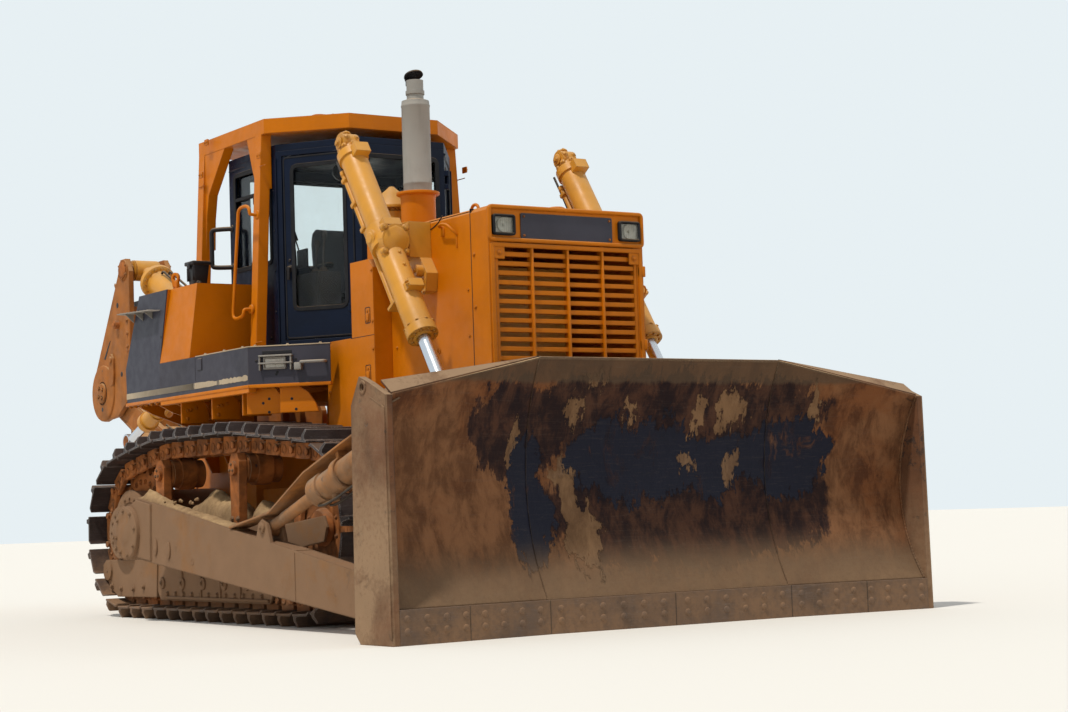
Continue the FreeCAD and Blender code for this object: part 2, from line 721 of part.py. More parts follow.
# Cab: six walls with windows, hollow inside, with a door in each front corner.
CAB_PLAN = [("cab_rear", "-cab_half"), ("cab_corner", "-cab_half"), ("cab_front", "-cab_front_half"),
            ("cab_front", "cab_front_half"), ("cab_corner", "cab_half"), ("cab_rear", "cab_half")]
# The slanted wall turns by this angle from the side wall; the inner corners shift by half of each turn.
corner_angle = math.atan2(dim.cab_half - dim.cab_front_half, dim.cab_front - dim.cab_corner)
rear_shift = dim.cab_wall * math.tan(corner_angle / 2)
front_shift = dim.cab_wall * math.tan(math.pi / 4 - corner_angle / 2)
ROOM_PLAN = [("cab_rear + cab_wall", "-cab_half + cab_wall"),
             (f"cab_corner - {rear_shift}", "-cab_half + cab_wall"),
             ("cab_front - cab_wall", f"-cab_front_half + {front_shift}"),
             ("cab_front - cab_wall", f"cab_front_half - {front_shift}"),
             (f"cab_corner - {rear_shift}", "cab_half - cab_wall"),
             ("cab_rear + cab_wall", "cab_half - cab_wall")]
cab_outer = slab("cab_outer", "plan", CAB_PLAN, "fender_top + seat_gap", "cab_roof")
cab_room = slab("cab_room", "plan", ROOM_PLAN, "cab_floor", "cab_roof + 1")
door_length = math.hypot(dim.cab_front - dim.cab_corner, dim.cab_half - dim.cab_front_half)
door_mid = Vector((dim.cab_front + dim.cab_corner) / 2, -(dim.cab_half + dim.cab_front_half) / 2, 0)
along_wall = Vector(math.cos(corner_angle), math.sin(corner_angle), 0)
into_cab = Vector(-along_wall.y, along_wall.x, 0)


def across_corner(width, low, high, inward, outward, shift=0.0):
    """A block through the right front corner's slanted wall, centred on it."""
    block = Part.makeBox(width, inward + outward, high - low, Vector(-width / 2 + shift, -outward, low))
    block.rotate(Vector(), Vector(0, 0, 1), math.degrees(corner_angle))
    block.translate(door_mid)
    return block


door_wide = door_length - 2 * dim.door_margin
doorway = solid("doorway", across_corner(door_wide, dim.door_low, dim.door_high, 200, 50))
side_window = box("side_window", ("cab_rear + 90", "cab_corner - 90"), ("-cab_half - 1", "-cab_half + cab_wall + 1"),
                  ("window_low - 60", "window_high"))
front_window = box("front_window", ("cab_front - cab_wall - 1", "cab_front + 1"),
                   ("-cab_front_half + 60", "cab_front_half - 60"), ("window_low", "window_high"))
rear_window = box("rear_window", ("cab_rear - 1", "cab_rear + cab_wall + 1"), ("-cab_half + 150", "cab_half - 150"),
                  ("window_low", "window_high"))
cab_walls = cut("cab_walls", cab_outer, cab_room, doorway, mirrored(doorway), side_window,
                mirrored(side_window), front_window, rear_window)
node("cab_top", slab("cab_top_plate", "plan", CAB_PLAN, "cab_roof + seat_gap", "cab_roof + 50"))
panes = [box("pane_side", ("cab_rear + 90 + seat_gap", "cab_corner - 90 - seat_gap"),
             ("-cab_half + 20", "-cab_half + 20 + glass_thick"), ("window_low - 60 + seat_gap", "window_high - seat_gap")),
         box("pane_front", ("cab_front - 30", "cab_front - 30 + glass_thick"),
             ("-cab_front_half + 60 + seat_gap", "cab_front_half - 60 - seat_gap"),
             ("window_low + seat_gap", "window_high - seat_gap")),
         box("pane_rear", ("cab_rear + 20", "cab_rear + 20 + glass_thick"),
             ("-cab_half + 150 + seat_gap", "cab_half - 150 - seat_gap"),
             ("window_low + seat_gap", "window_high - seat_gap"))]
node("cab_windows", group("cab_panes", *panes, mirrored(panes[0])))


def hinge_round(low, high, radius):
    """An upright round piece on the right door's hinge line."""
    return Part.makeCylinder(radius, high - low, Vector(HINGE.x, HINGE.y, low))


def hinge_block(x0, x1, y0, y1, low, high):
    """A block beside the hinge: x along the slanted wall from its middle, y inward from its face."""
    block = Part.makeBox(x1 - x0, y1 - y0, high - low, Vector(x0, y0, low))
    block.rotate(Vector(), Vector(0, 0, 1), math.degrees(corner_angle))
    block.translate(door_mid)
    return block


hinge_along = door_wide / 2 + 8
HINGE = door_mid + along_wall * hinge_along - into_cab * 22
HINGE_HEIGHTS = (dim.door_low + 180, dim.door_high - 220)


def cab_hinge_shape():
    pieces = []
    for z in HINGE_HEIGHTS:
        for low, high in ((z - 40, z - dim.seat_gap), (z + 60 + dim.seat_gap, z + 100)):
            pieces.append(hinge_round(low, high, 16))
            pieces.append(hinge_block(hinge_along - 4, hinge_along + 40, -30, 1, low, high))
        pieces.append(hinge_round(z - 40, z + 100, 9))
    return pieces[0].fuse(pieces[1:])


cab_hinges = solid("cab_hinge", cab_hinge_shape())
node("cab_shell", fuse("cab_shell_set", cab_walls, cab_hinges, mirrored(cab_hinges)))


def door_shape(side):
    wide = door_wide - 2 * dim.door_gap
    low = dim.door_low + dim.door_gap
    high = dim.door_high - dim.door_gap
    panel = across_corner(wide, low, high, dim.cab_wall - 10, -4)
    window = across_corner(wide - 2 * dim.door_frame, low + dim.door_kick, high - dim.door_frame, 200, 50)
    knuckles = []
    for z in HINGE_HEIGHTS:
        knuckles.append(hinge_round(z, z + 60, 16))
        knuckles.append(hinge_block(hinge_along - 70, hinge_along - 18, -26, 5, z, z + 60))
        knuckles.append(hinge_block(hinge_along - 19, hinge_along - 2, -26, -6, z, z + 60))
    pins = [hinge_round(z - 1, z + 61, 9 + dim.pin_fit) for z in HINGE_HEIGHTS]
    leaf = panel.cut(window).fuse(knuckles).cut(pins[0]).cut(pins[1])
    return leaf if side < 0 else leaf.mirror(Vector(), Vector(0, 1, 0))


def door_pane(side):
    wide = door_wide - 2 * dim.door_gap - 2 * dim.door_frame - 2 * dim.seat_gap
    low = dim.door_low + dim.door_gap + dim.door_kick + dim.seat_gap
    high = dim.door_high - dim.door_gap - dim.door_frame - dim.seat_gap
    pane = across_corner(wide, low, high, 20 + dim.glass_thick, -20)
    return pane if side < 0 else pane.mirror(Vector(), Vector(0, 1, 0))


for side, name in ((-1, "right"), (1, "left")):
    node("door_" + name, solid("door_leaf_" + name, door_shape(side)))
    node("door_glass_" + name, solid("door_pane_" + name, door_pane(side)))

seat_low = "cab_floor + seat_high"
seat_rear = "seat_x - seat_deep / 2"
seat_base = box("seat_base", (f"{seat_rear} + 50", "seat_x + seat_deep / 2 - 60"), ("-seat_wide * 0.42", "seat_wide * 0.42"),
                ("cab_floor + seat_gap", seat_low))
seat_cushion = box("seat_cushion_block", (seat_rear, "seat_x + seat_deep / 2"), ("-seat_wide / 2", "seat_wide / 2"),
                   (f"{seat_low} + seat_gap", f"{seat_low} + seat_thick"))
node("seat_cushion", seat_cushion)
back_low = f"{seat_low} + seat_thick + seat_gap"
seat_back = slab("seat_back_block", "side",
                 [(seat_rear, back_low), (f"{seat_rear} + 110", back_low), (seat_rear, f"{back_low} + back_high"),
                  (f"{seat_rear} - 100", f"{back_low} + back_high")], "-seat_wide * 0.48", "seat_wide * 0.48")
node("seat_back", seat_back)
dashboard = slab("dashboard_block", "side",
                 [("cab_front - cab_wall - 230", "cab_floor + 520"), ("cab_front - cab_wall - 30", "cab_floor + seat_gap"),
                  ("cab_front - cab_wall - seat_gap", "cab_floor + seat_gap"),
                  ("cab_front - cab_wall - seat_gap", "cab_floor + 640"),
                  ("cab_front - cab_wall - 200", "cab_floor + 640")], "-seat_wide * 0.46", "seat_wide * 0.46")
consoles = [box(f"console_{name}", (f"{seat_rear} + 60", f"{seat_rear} + 60 + console_long"), (low, f"{low} + console_wide"),
                ("cab_floor + seat_gap", "cab_floor + console_high"))
            for name, low in (("right", "-seat_wide / 2 - 40 - console_wide"), ("left", "seat_wide / 2 + 40"))]
node("cab_fittings", group("cab_fittings_set", seat_base, dashboard, *consoles))

# Rollover frame: a flat roof with cut corners on four splayed posts.
ROOF_PLAN = [("roof_rear", "-roof_side"), ("roof_front - roof_side + roof_front_half", "-roof_side"),
             ("roof_front", "-roof_front_half"), ("roof_front", "roof_front_half"),
             ("roof_front - roof_side + roof_front_half", "roof_side"), ("roof_rear", "roof_side")]
roof = slab("roof_plate", "plan", ROOF_PLAN, "roof_top - beam_high", "roof_top")


def post(name, x, foot_z):
    """A post drawn across the machine, leaning out towards its foot."""
    lean = f"post_splay * (roof_top - beam_high - ({foot_z})) / (roof_top - beam_high - post_foot)"
    return slab(name, "front",
                [("roof_side - post_y", "roof_top - beam_high + 1"), ("roof_side", "roof_top - beam_high + 1"),
                 (f"roof_side + {lean}", foot_z), (f"roof_side - post_y + {lean}", foot_z)], x, f"{x} + post_x")


front_post = post("front_post", "post_front - post_x", "fender_top + seat_gap")
rear_post = post("rear_post", "roof_rear", "tank_top + seat_gap")
haunches = [slab("haunch_front", "side",
                 [("post_front - post_x - 150", "roof_top - beam_high + 1"), ("post_front", "roof_top - beam_high + 1"),
                  ("post_front", "roof_top - beam_high - 400"), ("post_front - post_x", "roof_top - beam_high - 400"),
                  ("post_front - post_x - 70", "roof_top - beam_high - 230")],
                 "roof_side - post_y + 2", "roof_side - 2"),
            slab("haunch_rear", "side",
                 [("roof_rear", "roof_top - beam_high + 1"), ("roof_rear + haunch_long", "roof_top - beam_high + 1"),
                  ("roof_rear + post_x + 60", "roof_top - beam_high - haunch_high"),
                  ("roof_rear + post_x + 15", "roof_top - beam_high - haunch_high - 190"),
                  ("roof_rear + post_x", "roof_top - beam_high - haunch_high - 420"),
                  ("roof_rear", "roof_top - beam_high - haunch_high - 420")],
                 "roof_side - post_y + 2", "roof_side - 2")]
legs = [front_post, rear_post, *haunches]
node("rollover_frame", fuse("rollover_set", roof, *legs, *[mirrored(leg) for leg in legs]))

# Fenders: a top plate, a side panel and the slanted front, on the rear case's side.
fender_corner = "fender_front + (fender_half - 830)"
fender_top = slab("fender_top", "plan",
                  [("tank_front + seat_gap", "fender_inner"), ("sidebox_rear - 20", "fender_inner"),
                   ("sidebox_rear - 20", "fender_half - (sidebox_rear - 20 - fender_front)"),
                   ("fender_front", "fender_half"), ("tank_front + seat_gap", "fender_half")],
                  "fender_top - fender_wall", "fender_top")
fender_side = box("fender_side", ("tank_front + seat_gap", "fender_front"),
                  ("fender_half - fender_wall", "fender_half"), ("fender_low", "fender_top"))
fender_front_plate = slab("fender_front_plate", "plan",
                          [("fender_front", "fender_half"), ("fender_front - fender_wall", "fender_half - fender_wall"),
                           (f"{fender_corner} - fender_wall * 1.4142", 830), (fender_corner, 830)],
                          "fender_low", "fender_top")
fender_shelf = box("fender_shelf", ("tank_front + seat_gap", "fender_front - 12"), ("fender_inner", "fender_half - 1"),
                   ("fender_low", "fender_low + fender_wall"))
gussets = []
for i, x in enumerate(("tank_front - 620", "tank_front - 260", "tank_front + 30")):
    plate = slab(f"fender_gusset_{i}", "front",
                 [("case_half + seat_gap", "case_low + 640"), ("case_half + 60", "case_low + 640"),
                  ("case_half + 240", "fender_low - 180"), ("fender_half - 200", "fender_low - 70"),
                  ("fender_half - 60", "fender_low + 1"), ("case_half + seat_gap", "fender_low + 1")], x, f"{x} + 24")
    hole = rod(f"gusset_hole_{i}", (f"{x} - 5", "fender_half - 330", "fender_low - 58"), (1, 0, 0), 34, 38)
    gussets.append(cut(f"gusset_{i}", plate, hole))
shelf_low = box("fender_lip", ("tank_front + seat_gap", "fender_front"), ("fender_half - 60", "fender_half"),
                ("fender_low - 34", "fender_low + 1"))
pair("fenders", fuse("fender_set", fender_top, fender_side, fender_front_plate, fender_shelf, gussets[2], shelf_low))

# Fuel tank behind the cab, as wide as the fenders, and the oil tanks ahead of it.
fuel = slab("fuel_tank_block", "side",
            [("tank_rear_low", "fender_low"), ("tank_front", "fender_low"), ("tank_front", "fender_top"),
             ("tank_side_front", "tank_top"),
             ("tank_rear_high", "tank_top"), ("tank_rear_low - 20", "fender_top")],
            "-fender_half", "fender_half")
carriers_under = [*gussets[:2], *[mirrored(plate) for plate in gussets[:2]]]
node("fuel_tank", fuse("fuel_tank_set", fuel, *carriers_under))
oil = slab("oil_tank_block", "side",
           [("tank_front + seat_gap", "fender_top + seat_gap"), ("oil_front", "fender_top + seat_gap"),
            ("oil_top_front", "tank_top"), ("tank_side_front + seat_gap", "tank_top")],
           "fender_half - oil_wide", "fender_half")
lean_off = slab("oil_tank_lean", "front",
                [("fender_half", "fender_top"), ("fender_half + 1", "fender_top"), ("fender_half + 1", "tank_top + 1"),
                 ("fender_half - oil_lean", "tank_top + 1")], "tank_front - 1", "oil_top_front + 1")
pair("side_tanks", cut("oil_tank", oil, lean_off))

# Blade: a hollow-faced plate in three lengths, with the cutting edge, end plates and ribs.

def face_arc(x_face, low, high, shift):
    """The hollow face seen from the side, through its two ends and the deepest point."""
    middle = Vector(x_face - dim.blade_hollow + shift, 0, (low + high) / 2)
    return Part.Arc(Vector(x_face + shift, 0, low), middle, Vector(x_face + shift, 0, high)).toShape()


def plate_section(x_face, y, high):
    front = face_arc(x_face, dim.blade_low, high, 0)
    back = face_arc(x_face, dim.blade_low, high, -dim.blade_plate)
    top = Part.makeLine(front.Vertexes[-1].Point, back.Vertexes[-1].Point)
    bottom = Part.makeLine(back.Vertexes[0].Point, front.Vertexes[0].Point)
    wire = Part.Wire(Part.__sortEdges__([front, top, back, bottom]))
    wire.translate(Vector(0, y, 0))
    return wire


def mouldboard_shape():
    middle = plate_section(dim.blade_face, dim.blade_flat_half, dim.blade_top)
    inner = plate_section(dim.blade_face, -dim.blade_flat_half, dim.blade_top)
    outer = plate_section(dim.blade_end_face, dim.blade_half - dim.end_plate_thick, dim.blade_end_top)
    centre = Part.makeLoft([inner, middle], True, True)
    wing = Part.makeLoft([middle, outer], True, True)
    return centre.fuse([wing, wing.mirror(Vector(), Vector(0, 1, 0))]).removeSplitter()


node("blade_mouldboard", solid("mouldboard", mouldboard_shape()))


def blade_front_room():
    """Everything ahead of the mouldboard's back, which the ribs and ears are trimmed to."""
    sections = []
    for x_face, y, high in ((dim.blade_end_face, -dim.blade_half, dim.blade_end_top),
                            (dim.blade_face, -dim.blade_flat_half, dim.blade_top),
                            (dim.blade_face, dim.blade_flat_half, dim.blade_top),
                            (dim.blade_end_face, dim.blade_half, dim.blade_end_top)):
        back = face_arc(x_face, dim.blade_low, high, -dim.blade_plate)
        low, top = back.Vertexes[0].Point, back.Vertexes[-1].Point
        ahead = Vector(600, 0, 0)
        lines = [Part.makeLine(top, top + ahead), Part.makeLine(top + ahead, low + ahead),
                 Part.makeLine(low + ahead, low)]
        wire = Part.Wire(Part.__sortEdges__([back, *lines]))
        wire.translate(Vector(0, y, 0))
        sections.append(wire)
    rooms = [Part.makeLoft(sections[i:i + 2], True, True) for i in range(3)]
    return rooms[0].fuse(rooms[1:])


def edge_shape():
    """Cutting edge plates below the mouldboard, following its three lengths."""
    pieces = []
    x0, x1 = dim.blade_face, dim.blade_end_face
    y0, y1 = dim.blade_flat_half, dim.blade_half - dim.end_plate_thick
    plan = [Vector(x1, -y1, 0), Vector(x0, -y0, 0), Vector(x0, y0, 0), Vector(x1, y1, 0)]
    front = [p + Vector(28, 0, 0) for p in plan]
    back = [p + Vector(28 - dim.edge_thick, 0, 0) for p in plan]
    outline = front + back[::-1]
    edge = Part.Face(Part.makePolygon(outline + [outline[0]])).extrude(Vector(0, 0, dim.blade_low - 1))
    return edge


node("cutting_edge", solid("edge_plates", edge_shape()))

end_plate = slab("end_plate_outline", "side",
                 [("end_plate_rear", 60), ("end_plate_rear + 60", 0), ("blade_end_face + 28", 0),
                  ("blade_end_face + 10", "end_plate_top - 20"), ("end_plate_rear + 230", "end_plate_top + 60"),
                  ("end_plate_rear + 120", "end_plate_top + 100"), ("end_plate_rear + 20", "end_plate_top - 60")],
                 "blade_half - end_plate_thick + seat_gap", "blade_half + seat_gap")
lug_hole = rod("end_lug_hole", ("end_plate_rear + 160", "blade_half - end_plate_thick - 5", "end_plate_top + 35"),
               (0, 1, 0), "end_plate_thick + 10", 22)


def spill_plate():
    """The sloping strip on the mouldboard's top edge, wide at the end plate and running out inwards."""
    y_end = dim.blade_half - dim.end_plate_thick
    lift = dim.spill_thick + dim.seat_gap
    front_out = Vector(dim.blade_end_face - 1, y_end, dim.blade_end_top + lift)
    rear_out = front_out + Vector(-dim.spill_deep, 0, dim.spill_rise)
    inner = Vector(dim.blade_face - 6, dim.blade_flat_half, dim.blade_top + lift)
    wire = Part.makePolygon([front_out, rear_out, inner, front_out])
    return Part.Face(wire).extrude(Vector(0, 0, -dim.spill_thick))


pair("blade_end_plates", group("end_plate_group", cut("end_plate", end_plate, lug_hole),
                               solid("spill_strip", spill_plate())))

back_beam = [box("blade_rib_low", ("blade_face - blade_hollow - 150", "blade_end_face"),
                 ("-blade_half + 60", "blade_half - 60"), (215, 335)),
             box("blade_rib_high", ("blade_face - blade_hollow - 110", "blade_face"),
                 ("-blade_flat_half", "blade_flat_half"), (1180, 1300))]
ears = []
for i, y in enumerate(("lift_y - lift_eye_half - 40 - seat_gap", "lift_y + lift_eye_half + seat_gap")):
    ears.append(slab(f"lift_ear_{i}", "side",
                     [("lift_eye_x - 80", "lift_eye_z - 60"), ("lift_eye_x - 20", "lift_eye_z - 110"),
                      ("blade_face", 330), ("blade_face", 1000),
                      ("lift_eye_x + 20", "lift_eye_z + 110"), ("lift_eye_x - 80", "lift_eye_z + 60")],
                     y, f"{y} + 40"))
tilt_ears = [slab(f"tilt_ear_{i}", "side",
                  [("tilt_high_x - 55", "tilt_high_z - 40"), ("tilt_high_x + 10", "tilt_high_z - 70"),
                   ("blade_face", "tilt_high_z - 150"), ("blade_face", "tilt_high_z + 20"),
                   ("tilt_high_x + 20", "tilt_high_z + 70"), ("tilt_high_x - 45", "tilt_high_z + 50")],
                  y, f"{y} + 30")
             for i, y in enumerate(("arm_outer - arm_thick / 2 - 70 - seat_gap", "arm_outer - arm_thick / 2 + 40 + seat_gap"))]
ears += tilt_ears
ribs = [box(f"blade_rib_{i}", ("blade_face - blade_hollow - rib_deep + 30", "blade_face"), (f"{y} - rib_thick / 2", f"{y} + rib_thick / 2"),
            (334, 1181)) for i, y in enumerate(("blade_flat_half * 0.2", "blade_flat_half * 0.58"))]
ribs += [box(f"blade_rib_{i}", ("blade_face - blade_hollow - 60", "blade_end_face"), (f"{y} - rib_thick / 2", f"{y} + rib_thick / 2"),
             (334, high)) for i, (y, high) in enumerate((("blade_flat_half + 330", 1150), ("blade_flat_half + 900", 1040)), 2)]
ears += ribs
stiffeners = [*back_beam, *ears, *[mirrored(ear) for ear in ears]]
node("blade_back", cut("blade_back_fitted", fuse("blade_back_set", *stiffeners),
                       solid("face_room", blade_front_room())))

# Push arms: deep box beams from the trunnions to the blade's lower corners.
arm = slab("push_arm_beam", "side",
           [("arm_pivot_x + 60", "arm_pivot_z - arm_depth / 2 + 35"), ("arm_end_x", "arm_end_z - arm_front / 2"),
            ("arm_end_x", "arm_end_z + arm_front / 2"),
            ("arm_pivot_x + 120", "arm_pivot_z + arm_depth / 2 + 40"), ("arm_pivot_x - 40", "arm_pivot_z + 150"),
            ("arm_pivot_x - 110", "arm_pivot_z"), ("arm_pivot_x - 40", "arm_pivot_z - 120")],
           "arm_outer - arm_thick", "arm_outer")
arm_cap = rod("arm_cap", ("arm_pivot_x", "arm_outer - arm_thick - 20", "arm_pivot_z"), (0, 1, 0),
              "arm_thick + 60", "pivot_cap")
arm_bore = rod("arm_bore", ("arm_pivot_x", "arm_outer - arm_thick - 30", "arm_pivot_z"), (0, 1, 0),
               "arm_thick + 30 + seat_gap", "pivot_pin + pin_fit")
arm_ears = [slab(f"arm_ear_{i}", "side",
                 [("tilt_low_x - 130", "tilt_low_z - 150"), ("tilt_low_x + 130", "tilt_low_z - 150"),
                  ("tilt_low_x + 60", "tilt_low_z + 30"), ("tilt_low_x", "tilt_low_z + 62"),
                  ("tilt_low_x - 60", "tilt_low_z + 30")], y, f"{y} + 25")
            for i, y in enumerate(("arm_outer - arm_thick / 2 - 65 - seat_gap", "arm_outer - arm_thick / 2 + 40 + seat_gap"))]
pair("push_arms", cut("arm_bored", fuse("arm_set", arm, arm_cap, *arm_ears), arm_bore))

# Tilt cylinder on the right arm and the plain brace on the left one.
TILT_LOW = Vector(dim.tilt_low_x, 0, dim.tilt_low_z)
TILT_HIGH = Vector(dim.tilt_high_x, 0, dim.tilt_high_z)


def strut(y, low, high, parts):
    """Round lengths end to end between two points; parts are (share at start, share at end, radius)."""
    along = high - low
    pieces = [Part.makeCylinder(r, along.Length * (b - a), low + Vector(0, y, 0) + along * a, along)
              for a, b, r in parts]
    return pieces[0].fuse(pieces[1:])


strut_y = dim.arm_outer - dim.arm_thick / 2


def with_eyes(y, shape):
    eyes = [Part.makeCylinder(55, 80, end + Vector(0, y - 40, 0), Vector(0, 1, 0)) for end in (TILT_LOW, TILT_HIGH)]
    return shape.fuse(eyes)


tilt = strut(-strut_y, TILT_LOW, TILT_HIGH, ((0.0, 0.12, 38), (0.10, 0.36, 42), (0.34, 0.40, 100), (0.38, 0.90, 88),
                                            (0.88, 1.0, 38)))


def tilt_guard():
    """The bent strip over the tilt cylinder, with the two clamps that hold it."""
    line = [Vector(2590, 0, 684), Vector(3187, 0, 774), Vector(3689, 0, 1017), Vector(4185, 0, 1177),
            Vector(4700, 0, 1330)]
    under = [point - Vector(0, 0, dim.tilt_guard_thick) for point in line]
    half = dim.tilt_guard_wide / 2
    strip = extrude_side(line + under[::-1], -strut_y - half, -strut_y + half)
    along = (TILT_HIGH - TILT_LOW).normalize()
    up = Vector(-along.z, 0, along.x)
    pieces = [strip]
    for share in (0.50, 0.78):
        spot = TILT_LOW + (TILT_HIGH - TILT_LOW) * share + Vector(0, -strut_y, 0)
        pieces.append(Part.makeCylinder(104, 60, spot, along))
        clamp = Part.makeBox(40, 70, 60 if share < 0.6 else 46, Vector(-20, -35, 80))
        clamp.Placement = Placement(spot + along * 30, Rotation(Vector(1, 0, 0), along))
        pieces.append(clamp)
    return pieces


node("tilt_cylinder", solid("tilt_cylinder_body", with_eyes(-strut_y, tilt).fuse(tilt_guard())))
brace = strut(strut_y, TILT_LOW, TILT_HIGH, ((0.0, 1.0, 38), (0.10, 0.88, 48), (0.30, 0.62, 62)))
node("tilt_brace", solid("tilt_brace_body", with_eyes(strut_y, brace)))

# Blade lift cylinders, hung by their middles from the radiator guard's sides.
PIVOT = Vector(dim.lift_pivot_x, 0, dim.lift_pivot_z)
EYE = Vector(dim.lift_eye_x, 0, dim.lift_eye_z)
lift_way = (EYE - PIVOT).normalize()


def lift_barrel(side):
    y = Vector(0, side * dim.lift_y, 0)
    top = PIVOT - lift_way * dim.lift_above + y
    low = PIVOT + lift_way * dim.lift_below + y
    shoulder = top + lift_way * dim.lift_neck
    tube = Part.makeCylinder(dim.lift_radius, dim.lift_above + dim.lift_below - dim.lift_neck, shoulder, lift_way)
    head = Part.makeCylinder(dim.lift_radius + 12, 60, shoulder, lift_way)
    gland = Part.makeCylinder(dim.lift_radius + 12, 70, low - lift_way * 70, lift_way)
    band = Part.makeCylinder(dim.lift_radius + 22, 170, PIVOT + y - lift_way * 85, lift_way)
    pin = Part.makeCylinder(48, dim.lift_radius + 60, PIVOT + y, Vector(0, -side, 0))
    bore_length = dim.lift_above + dim.lift_below - dim.lift_bore_end
    bore = Part.makeCylinder(dim.lift_rod + dim.pin_fit, bore_length + 1, low - lift_way * bore_length, lift_way)
    boss = Part.makeCylinder(dim.lift_boss, dim.lift_radius + 58, PIVOT + y - Vector(0, 0, 20), Vector(1, 0, 0))
    behind = Vector(lift_way.z, 0, -lift_way.x)
    extras = [head, gland, band, pin, boss]
    for step in (-1, 1):
        off = behind * (dim.lift_radius + 30) + Vector(0, step * 34, 0)
        length = dim.lift_above - 260 + (dim.lift_below - 330 if step < 0 else 40)
        extras.append(Part.makeCylinder(dim.lift_pipe, length, top + off + lift_way * 220, lift_way))
    for spot, deep, wide, reach in ((top + lift_way * 180, 80, 110, 52), (low - lift_way * 370, 60, 110, 52),
                                    (PIVOT + y - lift_way * 60, 60, 130, 56)):
        block = Part.makeBox(deep, wide, dim.lift_radius + reach, Vector(0, -wide / 2, 0))
        block.Placement = Placement(spot, Rotation(lift_way, Vector(0, 1, 0), behind, "XYZ"))
        extras.append(block)
    flange = Part.makeBox(22, 150, dim.lift_radius + 62, Vector(0, -75, 0))
    flange.Placement = Placement(low - lift_way * 350, Rotation(lift_way, Vector(0, -1, 0), -behind, "XYZ"))
    knuckle = Part.makeCylinder(64, 116, top + lift_way * 62 - Vector(0, 58, 0), Vector(0, 1, 0))
    extras += [flange, knuckle, Part.makeCylinder(56, 140, top + lift_way * 60, lift_way)]
    return tube.fuse(extras).cut(bore)


def lift_rod(side):
    y = Vector(0, side * dim.lift_y, 0)
    start = PIVOT + lift_way * dim.lift_rod_start + y
    length = (EYE - PIVOT).Length - dim.lift_rod_start - dim.lift_eye_radius * 0.7
    bar = Part.makeCylinder(dim.lift_rod, length, start, lift_way)
    eye = Part.makeCylinder(dim.lift_eye_radius, 2 * dim.lift_eye_half,
                            EYE + y - Vector(0, dim.lift_eye_half, 0), Vector(0, 1, 0))
    return bar.fuse(eye)


for side, name in ((-1, "right"), (1, "left")):
    node("lift_barrel_" + name, solid("barrel_" + name, lift_barrel(side)))
    node("lift_rod_" + name, solid("rod_" + name, lift_rod(side)))

yoke_block = box("yoke_block", ("lift_pivot_x - 110", "lift_pivot_x + 110"), ("nose_half + seat_gap", "lift_y - lift_radius - 30"),
                 ("lift_pivot_z - 130", "lift_pivot_z + 110"))
yoke_bore = rod("yoke_bore", ("lift_pivot_x", "nose_half + 60", "lift_pivot_z"), (0, 1, 0), 300, "48 + pin_fit")
yoke_foot = slab("yoke_foot", "side",
                 [("lift_pivot_x - 110", "lift_pivot_z - 129"), ("lift_pivot_x + 110", "lift_pivot_z - 129"),
                  ("lift_pivot_x + 190", "lift_pivot_z - 240"), ("lift_pivot_x + 170", "lift_pivot_z - 360"),
                  ("lift_pivot_x + 60", "lift_pivot_z - 370"), ("lift_pivot_x - 60", "lift_pivot_z - 260")],
                 "nose_half + seat_gap", "nose_half + 90")
yoke_pins = [rod(f"yoke_pin_{i}", (f"lift_pivot_x + {x}", "nose_half + 80", f"lift_pivot_z - {z}"), (0, 1, 0), 60, 40)
             for i, (x, z) in enumerate(((120, 220), (110, 310)))]
pair("lift_yokes", cut("yoke", fuse("yoke_set", yoke_block, yoke_foot, *yoke_pins), yoke_bore))

# Ripper: two arms and a top cylinder carry an upright carrier with one shank.
P1 = Vector(dim.rip_pivot_x, 0, dim.rip_pivot_z)
P2 = Vector(dim.rip_beam_x, 0, dim.rip_beam_z)
P4 = Vector(dim.rip_top_x, 0, dim.rip_top_z)
P3 = P1 + P4 - P2
arm_way = (P2 - P1).normalize()
arm_up = Vector(arm_way.z, 0, -arm_way.x)
if arm_up.z < 0:
    arm_up = arm_up * -1


def ripper_arm_shape():
    half = dim.rip_arm_depth / 2
    far = (P2 - P1).Length
    plates = []
    for low in (dim.rip_arm_inner, -dim.rip_arm_inner - dim.rip_arm_thick):
        outline = [P1 - arm_up * half, P1 + arm_way * far - arm_up * half * 0.8,
                   P1 + arm_way * (far + 110), P1 + arm_way * far + arm_up * half * 0.8, P1 + arm_up * half,
                   P1 - arm_way * 120]
        plates.append(extrude_side(outline, low, low + dim.rip_arm_thick))
    web = [P1 + arm_way * 250 - arm_up * half * 0.8, P1 + arm_way * 1300 - arm_up * half * 0.8,
           P1 + arm_way * 1300 + arm_up * half * 0.7, P1 + arm_way * 250 + arm_up * half * 0.7]
    box_web = extrude_side(web, -dim.rip_arm_inner - 1, dim.rip_arm_inner + 1)
    eye = Vector(dim.rip_lift_eye_x, 0, dim.rip_lift_eye_z)
    reach = (eye - P1).dot(arm_way)
    cross = [P1 + arm_way * (reach - 90) - arm_up * half * 0.6, P1 + arm_way * (reach + 90) - arm_up * half * 0.6,
             P1 + arm_way * (reach + 90) + arm_up * half * 0.5, P1 + arm_way * (reach - 90) + arm_up * half * 0.5]
    cross_half = dim.rip_lift_y - 40 - dim.seat_gap
    cross_tube = extrude_side(cross, -cross_half, cross_half)
    pin = Part.makeCylinder(dim.rip_pin, 2 * (dim.rip_plate_inner + dim.rip_plate_thick) + 20,
                            P2 - Vector(0, dim.rip_plate_inner + dim.rip_plate_thick + 10, 0), Vector(0, 1, 0))
    pivot = Part.makeCylinder(60 + dim.pin_fit, 600, P1 - Vector(0, 300, 0), Vector(0, 1, 0))
    return plates[0].fuse([plates[1], box_web, cross_tube, pin]).cut(pivot)


